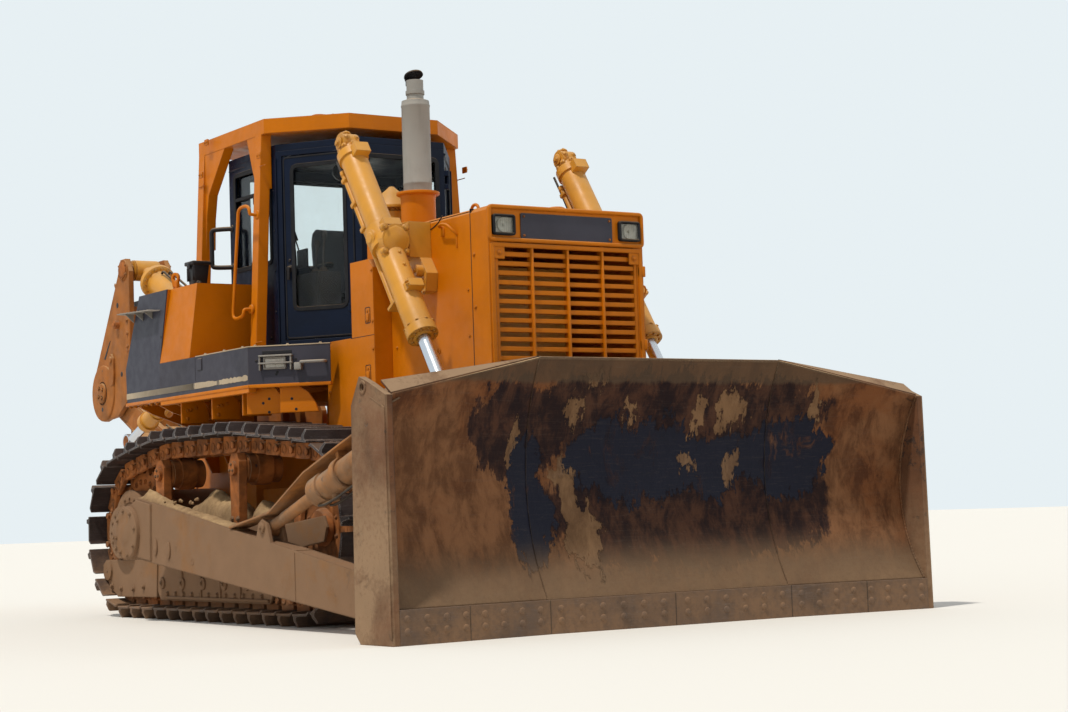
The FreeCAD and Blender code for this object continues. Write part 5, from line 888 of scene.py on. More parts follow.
def link_meshes():
    """The shoe with its bolts, and the links with their pin: X along, Y across, Z outward from the pin line."""
    bm = bmesh.new()
    profile = [(-0.1105, 0.076), (0.080, 0.075), (0.1095, 0.058), (0.1105, 0.070), (0.086, SHOE_REACH),
               (-0.046, SHOE_REACH), (-0.055, 0.118), (-0.060, GROUSER_REACH), (-0.084, GROUSER_REACH),
               (-0.088, 0.118), (-0.094, SHOE_REACH), (-0.1105, 0.091)]
    face = bm.faces.new([bm.verts.new((t, -SHOE_HALF, n)) for t, n in profile])
    grown = bmesh.ops.extrude_face_region(bm, geom=[face])["geom"]
    bmesh.ops.translate(bm, vec=(0, 2 * SHOE_HALF, 0), verts=[v for v in grown if isinstance(v, bmesh.types.BMVert)])
    for v in bm.verts:
        if v.co.z > 0.14:
            v.co.y *= 0.93
        elif v.co.x > 0.10:
            v.co.y *= 0.975
    soften(bm, bm.verts[:], 0.0035, 1)
    for y in (-0.135, -0.088, 0.088, 0.135):
        for t in (-0.012, 0.052):
            made = bmesh.ops.create_cone(bm, cap_ends=True, segments=6, radius1=0.019, radius2=0.016,
                                         depth=0.022)["verts"]
            bmesh.ops.translate(bm, vec=(t, y, SHOE_REACH + 0.009), verts=made)
    shoe = as_mesh("shoe", bm)
    bm = bmesh.new()
    for y in (-0.112, 0.112):
        side = 1 if y > 0 else -1
        outline = [(-0.150, -0.022), (-0.138, -0.046), (-0.090, -0.054), (0.085, -0.058), (0.118, -0.046),
                   (0.132, -0.010), (0.124, 0.026), (0.086, 0.034), (0.082, 0.074), (-0.094, 0.074),
                   (-0.098, 0.034), (-0.140, 0.026)]
        ring = [bm.verts.new((t, y - 0.017, n)) for t, n in outline]
        face = bm.faces.new(ring)
        grown = bmesh.ops.extrude_face_region(bm, geom=[face])["geom"]
        far = [v for v in grown if isinstance(v, bmesh.types.BMVert)]
        bmesh.ops.translate(bm, vec=(0, 0.034, 0), verts=far)
        for v in ring + far:
            v.co.y += side * (0.012 if v.co.x < -0.10 else -0.006 if v.co.x > 0.10 else 0)
        soften(bm, ring + far, 0.004, 1)
        for t in (-0.056, 0.034):
            turned(bm, (t, side * 0.129, -0.006), (0, side, 0), [(0.021, -0.004), (0.024, 0.004), (0.034, 0.005), (0.036, -0.002)], 14)
        bar(bm, (-HALF_PITCH, side * 0.150, 0), (-HALF_PITCH, side * 0.158, 0), 0.028, 0.024, sides=14)
    bar(bm, (-HALF_PITCH, -0.152, 0), (-HALF_PITCH, 0.152, 0), 0.022, sides=12)
    bar(bm, (-HALF_PITCH, -0.085, 0), (-HALF_PITCH, 0.085, 0), 0.033, sides=14)
    return shoe, as_mesh("link", bm)


shoe_mesh, chain_link = link_meshes()
print("one shoe has", len(shoe_mesh.polygons), "faces, one link", len(chain_link.polygons))

# %% [markdown]
# ### Both chains
# A small random tilt and shift of each link, drawn from a seeded generator, keeps the chain from
# looking like one casting, because worn pins have play.

# %% Both chains
rng = random.Random(11)
for side_name, side in SIDES:
    shoes, links = bmesh.new(), bmesh.new()
    for i in range(LINKS):
        first, second = pins[i], pins[(i + 1) % LINKS]
        middle = (first + second) / 2
        along = Vector((second.x - first.x, 0, second.y - first.y)).normalized()
        outward = Vector((along.z, 0, -along.x))
        across = outward.cross(along)
        turn = Matrix((along, across, outward)).transposed().to_4x4()
        play = Matrix.Rotation(rng.uniform(-0.008, 0.008), 4, "Z")
        place = Matrix.Translation(at(middle.x, side * GAUGE_HALF + rng.uniform(-0.002, 0.002), middle.y)) @ turn @ play
        for bm, one in ((shoes, shoe_mesh), (links, chain_link)):
            count = len(bm.verts)
            bm.from_mesh(one)
            bm.verts.ensure_lookup_table()
            bmesh.ops.transform(bm, matrix=place, verts=bm.verts[count:])
    keep(f"chain_shoes_{side_name}", shoes, "machine", "shoe", stands_for=[f"track_{side_name}"], merge=0.0)
    keep(f"chain_links_{side_name}", links, "machine", "rust", merge=0.0)

# %% [markdown]
# ## Wheels, hubs and frames of the undercarriage
# The sprocket's rim is bolted on in segments, the final drive has a ring of cover bolts and a drain
# plug, the rollers show their end collars, and the guards carry a row of bolts along their lower edge.
# These are all rings and rows of the same few parts, so loops place them from a short table.

# %% Wheels, hubs and frames
hub_low, hub_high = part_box("final_drives")
frame_low, frame_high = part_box("track_frames")
bm = bmesh.new()
face_out = -hub_high.y
axle = at(0, 0, AXLE_Z)
turned(bm, (axle.x, face_out + 0.002, AXLE_Z), (0, -1, 0),
       [(0.0, 0.030), (0.07, 0.030), (0.10, 0.020), (0.125, 0.004), (0.165, 0.002), (0.172, -0.01), (0.205, -0.012),
        (0.210, -0.03)], 40)
bolt_ring(bm, (axle.x, face_out - 0.001, AXLE_Z), (0, -1, 0), 0.148, 12, 0.013)
for angle in (0.7, 3.9):
    bar(bm, (axle.x + 0.05 * math.cos(angle), face_out, AXLE_Z + 0.05 * math.sin(angle)),
        (axle.x + 0.05 * math.cos(angle), face_out - 0.045, AXLE_Z + 0.05 * math.sin(angle)), 0.018, sides=6)
drum_out = -(GAUGE_HALF + 0.25 * 0.62)
bolt_ring(bm, (axle.x, drum_out - 0.001, AXLE_Z), (0, -1, 0), 0.268, 18, 0.015)
turned(bm, (axle.x, drum_out + 0.004, AXLE_Z), (0, -1, 0),
       [(0.322, -0.02), (0.333, -0.012), (0.333, 0.004), (0.305, 0.010), (0.236, 0.010), (0.225, 0.002)], 48)
both_sides(bm)
keep("hub_covers", bm, "machine", "dusty")

bm = bmesh.new()
for y in (GAUGE_HALF - 0.045, GAUGE_HALF + 0.045):
    bolt_ring(bm, (axle.x, -y, AXLE_Z), (0, -1 if y > GAUGE_HALF else 1, 0), 0.395, 27, 0.016, 0.12)
idler = at(idler_x, 0, AXLE_Z)
idler_low, idler_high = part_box("idlers")
idler_face = -(GAUGE_HALF + 0.105)
turned(bm, (idler.x, idler_face - 0.02, AXLE_Z), (0, -1, 0),
       [(0.0, 0.034), (0.05, 0.034), (0.062, 0.024), (0.11, 0.020), (0.125, 0.0), (0.13, -0.03)], 32)
bolt_ring(bm, (idler.x, idler_face - 0.004, AXLE_Z), (0, -1, 0), 0.20, 10, 0.012)
turned(bm, (idler.x, idler_face + 0.004, AXLE_Z), (0, -1, 0),
       [(0.30, -0.012), (0.315, 0.010), (0.345, 0.012), (0.36, -0.010)], 48)
both_sides(bm)
keep("rim_bolts", bm, "machine", "rust")

bm = bmesh.new()
guard_face = -(GAUGE_HALF + 0.162 + 0.020)
for x in [0.75 + 0.145 * i for i in range(12)]:
    bolt(bm, at(x, guard_face, 0.190), (0, -1, 0), 0.016)
for x in [0.66 + 0.362 * i for i in range(6)]:
    bar(bm, at(x, guard_face + 0.004, 0.270), at(x, guard_face - 0.014, 0.270), 0.045, sides=20, bevel=0.004)
    bolt(bm, at(x, guard_face - 0.014, 0.270), (0, -1, 0), 0.015)
for x in (2.36, 2.44, 2.52):
    for z in (0.47, 0.60):
        bolt(bm, at(x, guard_face, z), (0, -1, 0), 0.017)
for x, z in ((-0.30, 0.24), (-0.12, 0.22), (0.12, 0.22), (0.32, 0.24), (-0.37, 0.36)):
    bolt(bm, at(x, -(GAUGE_HALF + 0.162 + 0.032), z), (0, -1, 0), 0.018)
block(bm, at(0.72, guard_face - 0.016, 0.415), at(2.30, guard_face + 0.01, 0.445), 0.005)
block(bm, at(0.72, guard_face - 0.016, 0.150), at(2.46, guard_face + 0.01, 0.172), 0.005)
for x in (1.02, 1.35, 1.68, 2.01):
    block(bm, at(x - 0.011, guard_face - 0.013, 0.16), at(x + 0.011, guard_face + 0.01, 0.43), 0.004)
for x in CARRIERS_X:
    bolt_ring(bm, at(x, -(GAUGE_HALF + 0.14 + 0.062 + 0.026), CARRIER_Z - 0.007), (0, -1, 0), 0.028, 3, 0.009)
    turned(bm, at(x, -(GAUGE_HALF + 0.135), CARRIER_Z - 0.007), (0, -1, 0),
           [(0.0, 0.006), (0.06, 0.006), (0.075, -0.004), (0.10, -0.004), (0.108, -0.016)], 28)
    for dx in (-0.045, 0.045):
        bolt(bm, at(x + dx, -(GAUGE_HALF + 0.14 + 0.062), 0.735), (0, -1, 0), 0.016)
both_sides(bm)
keep("frame_bolts", bm, "machine", "dusty")

# %% [markdown]
# ## Nose: bezel, grille frame, lamps and the bare plate
# The radiator guard carries a raised band with two square lamps and a screwed plate, which stays bare.
# Below it the slats sit behind a frame with three thin bars and a bracket in each corner. A raised
# frame is one flat ring between two rounded outlines, bridged and pushed out, and a wall matrix turns
# across, up and out into the machine's axes, so the same call serves the front, the sides and the cab.

# %% Walls and raised frames
def wall(origin, out, up=(0, 0, 1)):
    """A matrix for work on a wall: X runs across it, Y up it and Z out of it."""
    out, up = Vector(out).normalized(), Vector(up).normalized()
    return Matrix.Translation(Vector(origin)) @ Matrix((up.cross(out), up, out)).transposed().to_4x4()


def rounded(low, high, radius, steps=4):
    """The outline of a rectangle with round corners, as (across, up) pairs."""
    centres = ((high[0] - radius, high[1] - radius), (low[0] + radius, high[1] - radius),
               (low[0] + radius, low[1] + radius), (high[0] - radius, low[1] + radius))
    return [(x + radius * math.cos(math.pi / 2 * (i + s / steps)), y + radius * math.sin(math.pi / 2 * (i + s / steps)))
            for i, (x, y) in enumerate(centres) for s in range(steps + 1)]


def rim(bm, face, outer, inner, rise, bevel=0.002, sink=0.002):
    """A raised ring between two outlines of equal length, on a wall."""
    loops = [[bm.verts.new(face @ Vector((a, b, -sink))) for a, b in line] for line in (outer, inner)]
    edges = [bm.edges.new((loop[i], loop[i - 1])) for loop in loops for i in range(len(loop))]
    faces = bmesh.ops.bridge_loops(bm, edges=edges)["faces"]
    grown = bmesh.ops.extrude_face_region(bm, geom=faces)["geom"]
    moved = [v for v in grown if isinstance(v, bmesh.types.BMVert)]
    bmesh.ops.translate(bm, vec=(face.to_3x3() @ Vector((0, 0, 1))) * (rise + sink), verts=moved)
    if bevel:
        lips = [e for e in {e for v in moved for e in v.link_edges} if len(e.link_faces) == 2
                and set(e.verts) <= set(moved) and e.calc_face_angle() > 0.8]
        bmesh.ops.bevel(bm, geom=lips, offset=bevel, segments=1, affect="EDGES", profile=0.5, material=-1,
                        clamp_overlap=True)


def frame_on(bm, face, low, high, width, rise, radius=0.02, bevel=0.002):
    """A raised frame with round corners round an area of a wall."""
    inner_radius = max(radius - width, 0.003)
    rim(bm, face, rounded(low, high, radius),
        rounded((low[0] + width, low[1] + width), (high[0] - width, high[1] - width), inner_radius), rise, bevel)


def panel_on(bm, face, low, high, rise, radius=0.01, bevel=0.002):
    """A flat panel with round corners that stands a little off a wall."""
    outline = [face @ Vector((a, b, -0.002)) for a, b in rounded(low, high, radius)]
    plate(bm, outline, (face.to_3x3() @ Vector((0, 0, 1))) * (rise + 0.002), bevel)


guard_low, guard_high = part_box("radiator_guard")
front = wall((guard_high.x, 0, 0), (1, 0, 0))
BEZEL_LOW = 2.447
BEZEL_HALF = 0.616
GRILLE_HALF = 0.600
GRILLE_BOTTOM = 1.085
LAMP_Y = 0.497
LAMP_HALF = (0.086, 0.068)
LAMP_Z = 2.555
PLATE_HALF = (0.362, 0.084)

# %% Bezel, frame, bars and corner brackets
bm = bmesh.new()
frame_on(bm, front, (-BEZEL_HALF, BEZEL_LOW), (BEZEL_HALF, guard_high.z + 0.004), 0.026, 0.020, 0.034, 0.006)
frame_on(bm, front, (-GRILLE_HALF, GRILLE_BOTTOM), (GRILLE_HALF, BEZEL_LOW - 0.006), 0.030, 0.012, 0.016, 0.004)
for y in (-0.278, 0.0, 0.278):
    block(bm, (guard_high.x - 0.012, y - 0.008, GRILLE_BOTTOM + 0.01), (guard_high.x + 0.007, y + 0.008, BEZEL_LOW - 0.02),
          0.002)
for side in (-1, 1):
    for low in (GRILLE_BOTTOM + 0.022, BEZEL_LOW - 0.112):
        y = side * (GRILLE_HALF - 0.068)
        panel_on(bm, front, (y - 0.040, low), (y + 0.040, low + 0.082), 0.008, 0.006)
        bolt(bm, (guard_high.x + 0.008, y, low + 0.041), (1, 0, 0), 0.013)
    for z in (1.20, 1.62, 2.04, 2.38):
        bolt(bm, (guard_low.x + 0.035, side * guard_high.y, z), (0, side, 0), 0.011)
for z in (1.34, 1.80, 2.29):
    bar(bm, (guard_high.x + 0.008, GRILLE_HALF + 0.006, z - 0.035), (guard_high.x + 0.008, GRILLE_HALF + 0.006, z + 0.035),
        0.014, sides=14, bevel=0.003)
    block(bm, (guard_high.x - 0.004, GRILLE_HALF - 0.03, z - 0.03), (guard_high.x + 0.010, GRILLE_HALF + 0.006, z + 0.03),
          0.003)
pipe(bm, [(guard_high.x - 0.01, GRILLE_HALF + 0.005, 2.13), (guard_high.x - 0.01, GRILLE_HALF + 0.035, 2.145),
          (guard_high.x - 0.01, GRILLE_HALF + 0.030, 2.205), (guard_high.x - 0.01, GRILLE_HALF + 0.005, 2.19)], 0.006)
keep("nose_trim", bm, "machine", "orange")

# %% [markdown]
# ### Headlamps and plate
# Each lamp is a black rubber surround, a dished reflector, a bulb cap and a ribbed glass in front, four
# pieces that nest on the bezel. They stand for the two plain packed blocks. The ribs are real ridges of
# the lens, so they still catch the light when the lamp is seen from the side.

# %% Headlamps and plate
bm = bmesh.new()
dishes = bmesh.new()
lenses = bmesh.new()
for side in (-1, 1):
    y = side * LAMP_Y
    low = (y - LAMP_HALF[0], LAMP_Z - LAMP_HALF[1])
    high = (y + LAMP_HALF[0], LAMP_Z + LAMP_HALF[1])
    frame_on(bm, front, low, high, 0.018, 0.028, 0.020, 0.005)
    turned(dishes, (guard_high.x + 0.001, y, LAMP_Z), (1, 0, 0),
           [(0.0, 0.001), (0.018, 0.001), (0.034, 0.005), (0.049, 0.014), (0.050, 0.002), (0.0, 0.0)], 28)
    panel_on(dishes, front, (low[0] + 0.014, low[1] + 0.014), (high[0] - 0.014, high[1] - 0.014), 0.003, 0.008)
    bar(dishes, (guard_high.x, y, LAMP_Z), (guard_high.x + 0.016, y, LAMP_Z), 0.011, 0.007, sides=14)
    panel_on(lenses, front, (low[0] + 0.015, low[1] + 0.015), (high[0] - 0.015, high[1] - 0.015), 0.022, 0.008)
    for step in range(-4, 5):
        a = y + step * 0.0145
        block(lenses, (guard_high.x + 0.0205, a - 0.0030, low[1] + 0.02), (guard_high.x + 0.0245, a + 0.0030, high[1] - 0.02),
              0.001, segments=1)
keep("lamp_surrounds", bm, "machine", "rubber")
keep("lamp_reflectors", dishes, "machine", "reflector")
keep("headlamp_lenses", lenses, "machine", "lamp", stands_for=["headlamps"])

bm = bmesh.new()
panel_on(bm, front, (-PLATE_HALF[0], LAMP_Z - PLATE_HALF[1]), (PLATE_HALF[0], LAMP_Z + PLATE_HALF[1]), 0.009, 0.010, 0.003)
keep("bare_plate", bm, "machine", "slate")
bm = bmesh.new()
for y in (-1, 1):
    for z in (-1, 1):
        bolt(bm, (guard_high.x + 0.009, y * (PLATE_HALF[0] - 0.024), LAMP_Z + z * (PLATE_HALF[1] - 0.022)), (1, 0, 0), 0.007)
keep("plate_screws", bm, "machine", "rust")

# %% [markdown]
# ## Hood and side boxes
# The hood's sheets meet in thin dark gaps, the side boxes open with recessed latches, and a bent
# handle and its catch sit high on the hood's side. Gaps are narrow black strips that lie a millimetre
# proud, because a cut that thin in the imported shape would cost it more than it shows.

# %% Hood and side boxes
hood_low, hood_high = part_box("hood")
boxes_low, boxes_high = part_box("side_boxes")
hood_side = wall((-AXLE_BACK, -hood_high.y, 0), (0, -1, 0))
box_side = wall((-AXLE_BACK, -boxes_high.y, 0), (0, -1, 0))
SIDEBOX_TOP = 1.958
LATCHES = ((3.052, 2.095), (3.040, 1.700))

bm = bmesh.new()
block(bm, at(4.184, -hood_high.y - 0.0015, hood_low.z), at(4.190, -hood_high.y + 0.01, hood_high.z), 0)
block(bm, at(2.806, -boxes_high.y - 0.0012, SIDEBOX_TOP - 0.004), at(3.134, -boxes_high.y + 0.01, SIDEBOX_TOP), 0)
for a, b in LATCHES:
    frame_on(bm, box_side, (a - 0.036, b - 0.056), (a + 0.036, b + 0.056), 0.005, 0.002, 0.010, 0)
pipe(bm, [at(3.834, -hood_high.y + 0.004, 2.684), at(3.81, -hood_high.y - 0.001, 2.65),
          at(3.72, -hood_high.y - 0.001, 2.615), at(3.60, -hood_high.y - 0.001, 2.59)], 0.004)
both_sides(bm)
block(bm, at(4.184, -hood_high.y, hood_high.z - 0.01), at(4.190, hood_high.y, hood_high.z + 0.0015), 0)
for x in (3.30, 3.74):
    block(bm, at(x, -hood_high.y + 0.05, hood_high.z - 0.01), at(x + 0.004, hood_high.y - 0.05, hood_high.z + 0.0012), 0)
keep("panel_gaps", bm, "machine", "black")

bm = bmesh.new()
for a, b in LATCHES:
    panel_on(bm, box_side, (a - 0.030, b - 0.050), (a + 0.030, b + 0.050), 0.0015, 0.008)
    block(bm, at(a - 0.020, -boxes_high.y - 0.010, b - 0.040), at(a + 0.020, -boxes_high.y, b + 0.012), 0.004)
    bar(bm, at(a, -boxes_high.y, b + 0.030), at(a, -boxes_high.y - 0.006, b + 0.030), 0.009, sides=14)
for z in (1.25, 1.60, 1.90):
    bolt(bm, at(2.490, -boxes_high.y, z), (0, -1, 0), 0.011)
for z in (1.20, 1.50, 1.86, 2.05, 2.40):
    bolt(bm, at(3.118, -boxes_high.y, z), (0, -1, 0), 0.009)
pipe(bm, [at(3.852, -hood_high.y + 0.005, 2.600), at(3.850, -hood_high.y - 0.040, 2.604),
          at(3.900, -hood_high.y - 0.052, 2.618), at(3.975, -hood_high.y - 0.050, 2.606),
          at(4.022, -hood_high.y - 0.034, 2.560), at(4.022, -hood_high.y + 0.005, 2.530)], 0.009, 4)
block(bm, at(4.014, -hood_high.y - 0.010, 2.448), at(4.026, -hood_high.y + 0.004, 2.528), 0.004)
block(bm, at(3.832, -hood_high.y - 0.012, 2.545), at(3.868, -hood_high.y + 0.004, 2.600), 0.004)
turned(bm, at(3.749, -hood_high.y, 1.793), (0, -1, 0), [(0.0, -0.004), (0.010, -0.004), (0.012, 0.006), (0.021, 0.006),
                                                      (0.023, -0.004)], 20)
for z in (1.18, 1.52, 1.86, 2.16):
    for x in (3.20, 4.14):
        bolt(bm, at(x, -hood_high.y, z), (0, -1, 0), 0.008)
for x in (3.36, 3.64):
    bar(bm, at(x, -0.50, hood_high.z + 0.012), at(x, -0.34, hood_high.z + 0.012), 0.013, sides=14, bevel=0.003)
    block(bm, at(x - 0.03, -0.48, hood_high.z - 0.003), at(x + 0.03, -0.36, hood_high.z + 0.005), 0.002)
for x in (3.05, 3.98):
    pipe(bm, [at(x - 0.05, -0.44, hood_high.z - 0.004), at(x - 0.05, -0.44, hood_high.z + 0.065),
              at(x + 0.05, -0.44, hood_high.z + 0.065), at(x + 0.05, -0.44, hood_high.z - 0.004)], 0.011, 3)
both_sides(bm)
turned(bm, at(4.285, 0, hood_high.z), (0, 0, 1),
       [(0.0, 0.030), (0.045, 0.028), (0.060, 0.020), (0.062, 0.004), (0.085, 0.003), (0.088, -0.004)], 32)
bolt_ring(bm, at(4.285, 0, hood_high.z + 0.003), (0, 0, 1), 0.075, 6, 0.006)
keep("hood_fittings", bm, "machine", "orange")
# %% [markdown]
# ## Exhaust stack and pre-cleaner
# Both are turned sheet metal, so each is an outline of radius and height spun round its axis. The
# stack has a welded seam ring near each end, a narrower neck with a clamp and a hinged rain cap that
# tips back on its counterweight. The pre-cleaner is a cone over a bowl, with vanes under its brim.

# %% Exhaust stack and pre-cleaner
stack_low, stack_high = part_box("muffler")
collar_low, collar_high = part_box("stack_collar")
cap_low, cap_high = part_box("rain_cap")
cleaner_low, cleaner_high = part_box("pre_cleaner")
stack_x = (stack_low.x + stack_high.x) / 2
stack_y = (stack_low.y + stack_high.y) / 2
stack_r = (stack_high.x - stack_low.x) / 2
BODY_TOP = 3.640
base = stack_low.z

bm = bmesh.new()
turned(bm, (stack_x, stack_y, 0), (0, 0, 1),
       [(0.0, base), (stack_r, base), (stack_r, base + 0.05), (stack_r + 0.003, base + 0.055), (stack_r + 0.003, base + 0.063),
        (stack_r, base + 0.068), (stack_r, BODY_TOP - 0.045), (stack_r + 0.003, BODY_TOP - 0.040),
        (stack_r + 0.003, BODY_TOP - 0.032), (stack_r, BODY_TOP - 0.027), (stack_r - 0.003, BODY_TOP),
        (0.062, BODY_TOP + 0.012), (0.060, BODY_TOP + 0.02), (0.060, stack_high.z), (0.054, stack_high.z),
        (0.054, base + 0.30), (0.0, base + 0.30)], 48)
turned(bm, (stack_x, stack_y, BODY_TOP + 0.045), (0, 0, 1),
       [(0.061, 0.0), (0.067, 0.001), (0.067, 0.028), (0.061, 0.029)], 40)
bar(bm, (stack_x - 0.078, stack_y - 0.022, BODY_TOP + 0.060), (stack_x - 0.078, stack_y + 0.024, BODY_TOP + 0.060), 0.006, sides=10)
block(bm, (stack_x - 0.088, stack_y - 0.014, BODY_TOP + 0.046), (stack_x - 0.060, stack_y - 0.006, BODY_TOP + 0.073), 0.001)
block(bm, (stack_x - 0.088, stack_y + 0.006, BODY_TOP + 0.046), (stack_x - 0.060, stack_y + 0.014, BODY_TOP + 0.073), 0.001)
block(bm, (stack_x - 0.004, stack_y + stack_r - 0.003, base + 0.07), (stack_x + 0.004, stack_y + stack_r + 0.002, BODY_TOP - 0.05), 0.001)
keep("silencer", bm, "machine", "grey", stands_for=["muffler"])

bm = bmesh.new()
tip = Vector(((cap_low.x + cap_high.x) / 2 - 0.004, stack_y, stack_high.z + 0.046))
lean = Vector((-0.42, 0, 1))
turned(bm, tip, lean, [(0.0, 0.010), (0.045, 0.006), (0.066, 0.0), (0.070, -0.012), (0.066, -0.013), (0.040, -0.004), (0.0, 0.0)], 32)
bar(bm, (stack_x - 0.064, stack_y - 0.040, stack_high.z + 0.010), (stack_x - 0.064, stack_y + 0.040, stack_high.z + 0.010), 0.007, sides=12)
for y in (-0.030, 0.030):
    block(bm, (stack_x - 0.072, stack_y + y - 0.004, stack_high.z - 0.030), (stack_x - 0.054, stack_y + y + 0.004, stack_high.z + 0.016), 0.002)
pipe(bm, [tip + Vector((-0.02, 0, 0.010)), tip + Vector((-0.060, 0, -0.004)), Vector((cap_low.x + 0.012, stack_y, stack_high.z - 0.020))],
     0.008)
turned(bm, (cap_low.x + 0.016, stack_y - 0.016, stack_high.z - 0.026), (0, 1, 0),
       [(0.0, 0.0), (0.018, 0.001), (0.020, 0.004), (0.020, 0.028), (0.018, 0.031), (0.0, 0.032)], 20)
keep("rain_flap", bm, "machine", "black", stands_for=["rain_cap"])

bm = bmesh.new()
collar_x = (collar_low.x + collar_high.x) / 2
collar_y = (collar_low.y + collar_high.y) / 2
flange = (collar_high.x - collar_low.x) / 2
turned(bm, (collar_x, collar_y, 0), (0, 0, 1),
       [(stack_r + 0.001, collar_high.z), (flange - 0.012, collar_high.z), (flange, collar_high.z - 0.004),
        (flange, collar_high.z - 0.020), (flange - 0.006, collar_high.z - 0.024), (stack_r + 0.027, collar_high.z - 0.028),
        (stack_r + 0.023, collar_high.z - 0.06), (stack_r + 0.023, collar_low.z + 0.03), (stack_r + 0.040, collar_low.z + 0.018),
        (flange - 0.008, collar_low.z + 0.012), (flange - 0.006, collar_low.z), (stack_r + 0.001, collar_low.z)], 48)
bolt_ring(bm, (collar_x, collar_y, collar_low.z + 0.012), (0, 0, 1), flange - 0.022, 8, 0.008)
keep("stack_base", bm, "machine", "orange", stands_for=["stack_collar"])

bm = bmesh.new()
cleaner_x = (cleaner_low.x + cleaner_high.x) / 2
cleaner_y = (cleaner_low.y + cleaner_high.y) / 2
cleaner_r = (cleaner_high.x - cleaner_low.x) / 2
brim = cleaner_high.z - 0.155
turned(bm, (cleaner_x, cleaner_y, 0), (0, 0, 1),
       [(0.0, cleaner_high.z), (0.018, cleaner_high.z - 0.004), (0.030, cleaner_high.z - 0.016), (0.070, cleaner_high.z - 0.050),
        (cleaner_r - 0.012, brim + 0.022), (cleaner_r, brim + 0.006), (cleaner_r, brim - 0.012), (cleaner_r - 0.006, brim - 0.014),
        (cleaner_r - 0.030, brim + 0.004), (0.094, brim + 0.002), (0.094, brim - 0.030), (0.112, brim - 0.036),
        (0.116, brim - 0.060), (0.116, brim - 0.150), (0.100, brim - 0.170), (0.078, brim - 0.176), (0.078, cleaner_low.z)], 44)
for i in range(24):
    turn = Matrix.Translation((cleaner_x, cleaner_y, 0)) @ Matrix.Rotation(2 * math.pi * i / 24, 4, "Z")
    lean = Matrix.Translation((0.108, 0, brim - 0.014)) @ Matrix.Rotation(0.6, 4, "X")
    block(bm, (-0.014, -0.0012, -0.018), (0.014, 0.0012, 0.018), 0, matrix=turn @ lean)
turned(bm, (cleaner_x, cleaner_y, brim - 0.176), (0, 0, 1), [(0.079, 0.0), (0.085, -0.002), (0.085, -0.022), (0.079, -0.024)], 32)
keep("air_cleaner", bm, "machine", "yellow", stands_for=["pre_cleaner"])
# %% [markdown]
# ## Blade lift cylinders
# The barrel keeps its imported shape, because the rod slides in it. What makes it look like a hydraulic
# cylinder is bolted on: a knobbly valve block of bolt heads at its top, a ring of gland bolts, clamps on
# the two rigid pipes, and caps on the gimbal. They ride on the barrel, and the yoke's bolts stay on the
# machine. A matrix along the barrel lets every part be placed by its distance down the barrel.

# %% Blade lift cylinders
LIFT_PIVOT = Vector((3.580, 0, 2.550))
LIFT_EYE = Vector((4.810, 0, 0.700))
LIFT_Y = 0.900
LIFT_ABOVE = 0.924
LIFT_BELOW = 0.827
LIFT_RADIUS = 0.092
lift_way = (LIFT_EYE - LIFT_PIVOT).normalized()
behind = Vector((lift_way.z, 0, -lift_way.x))

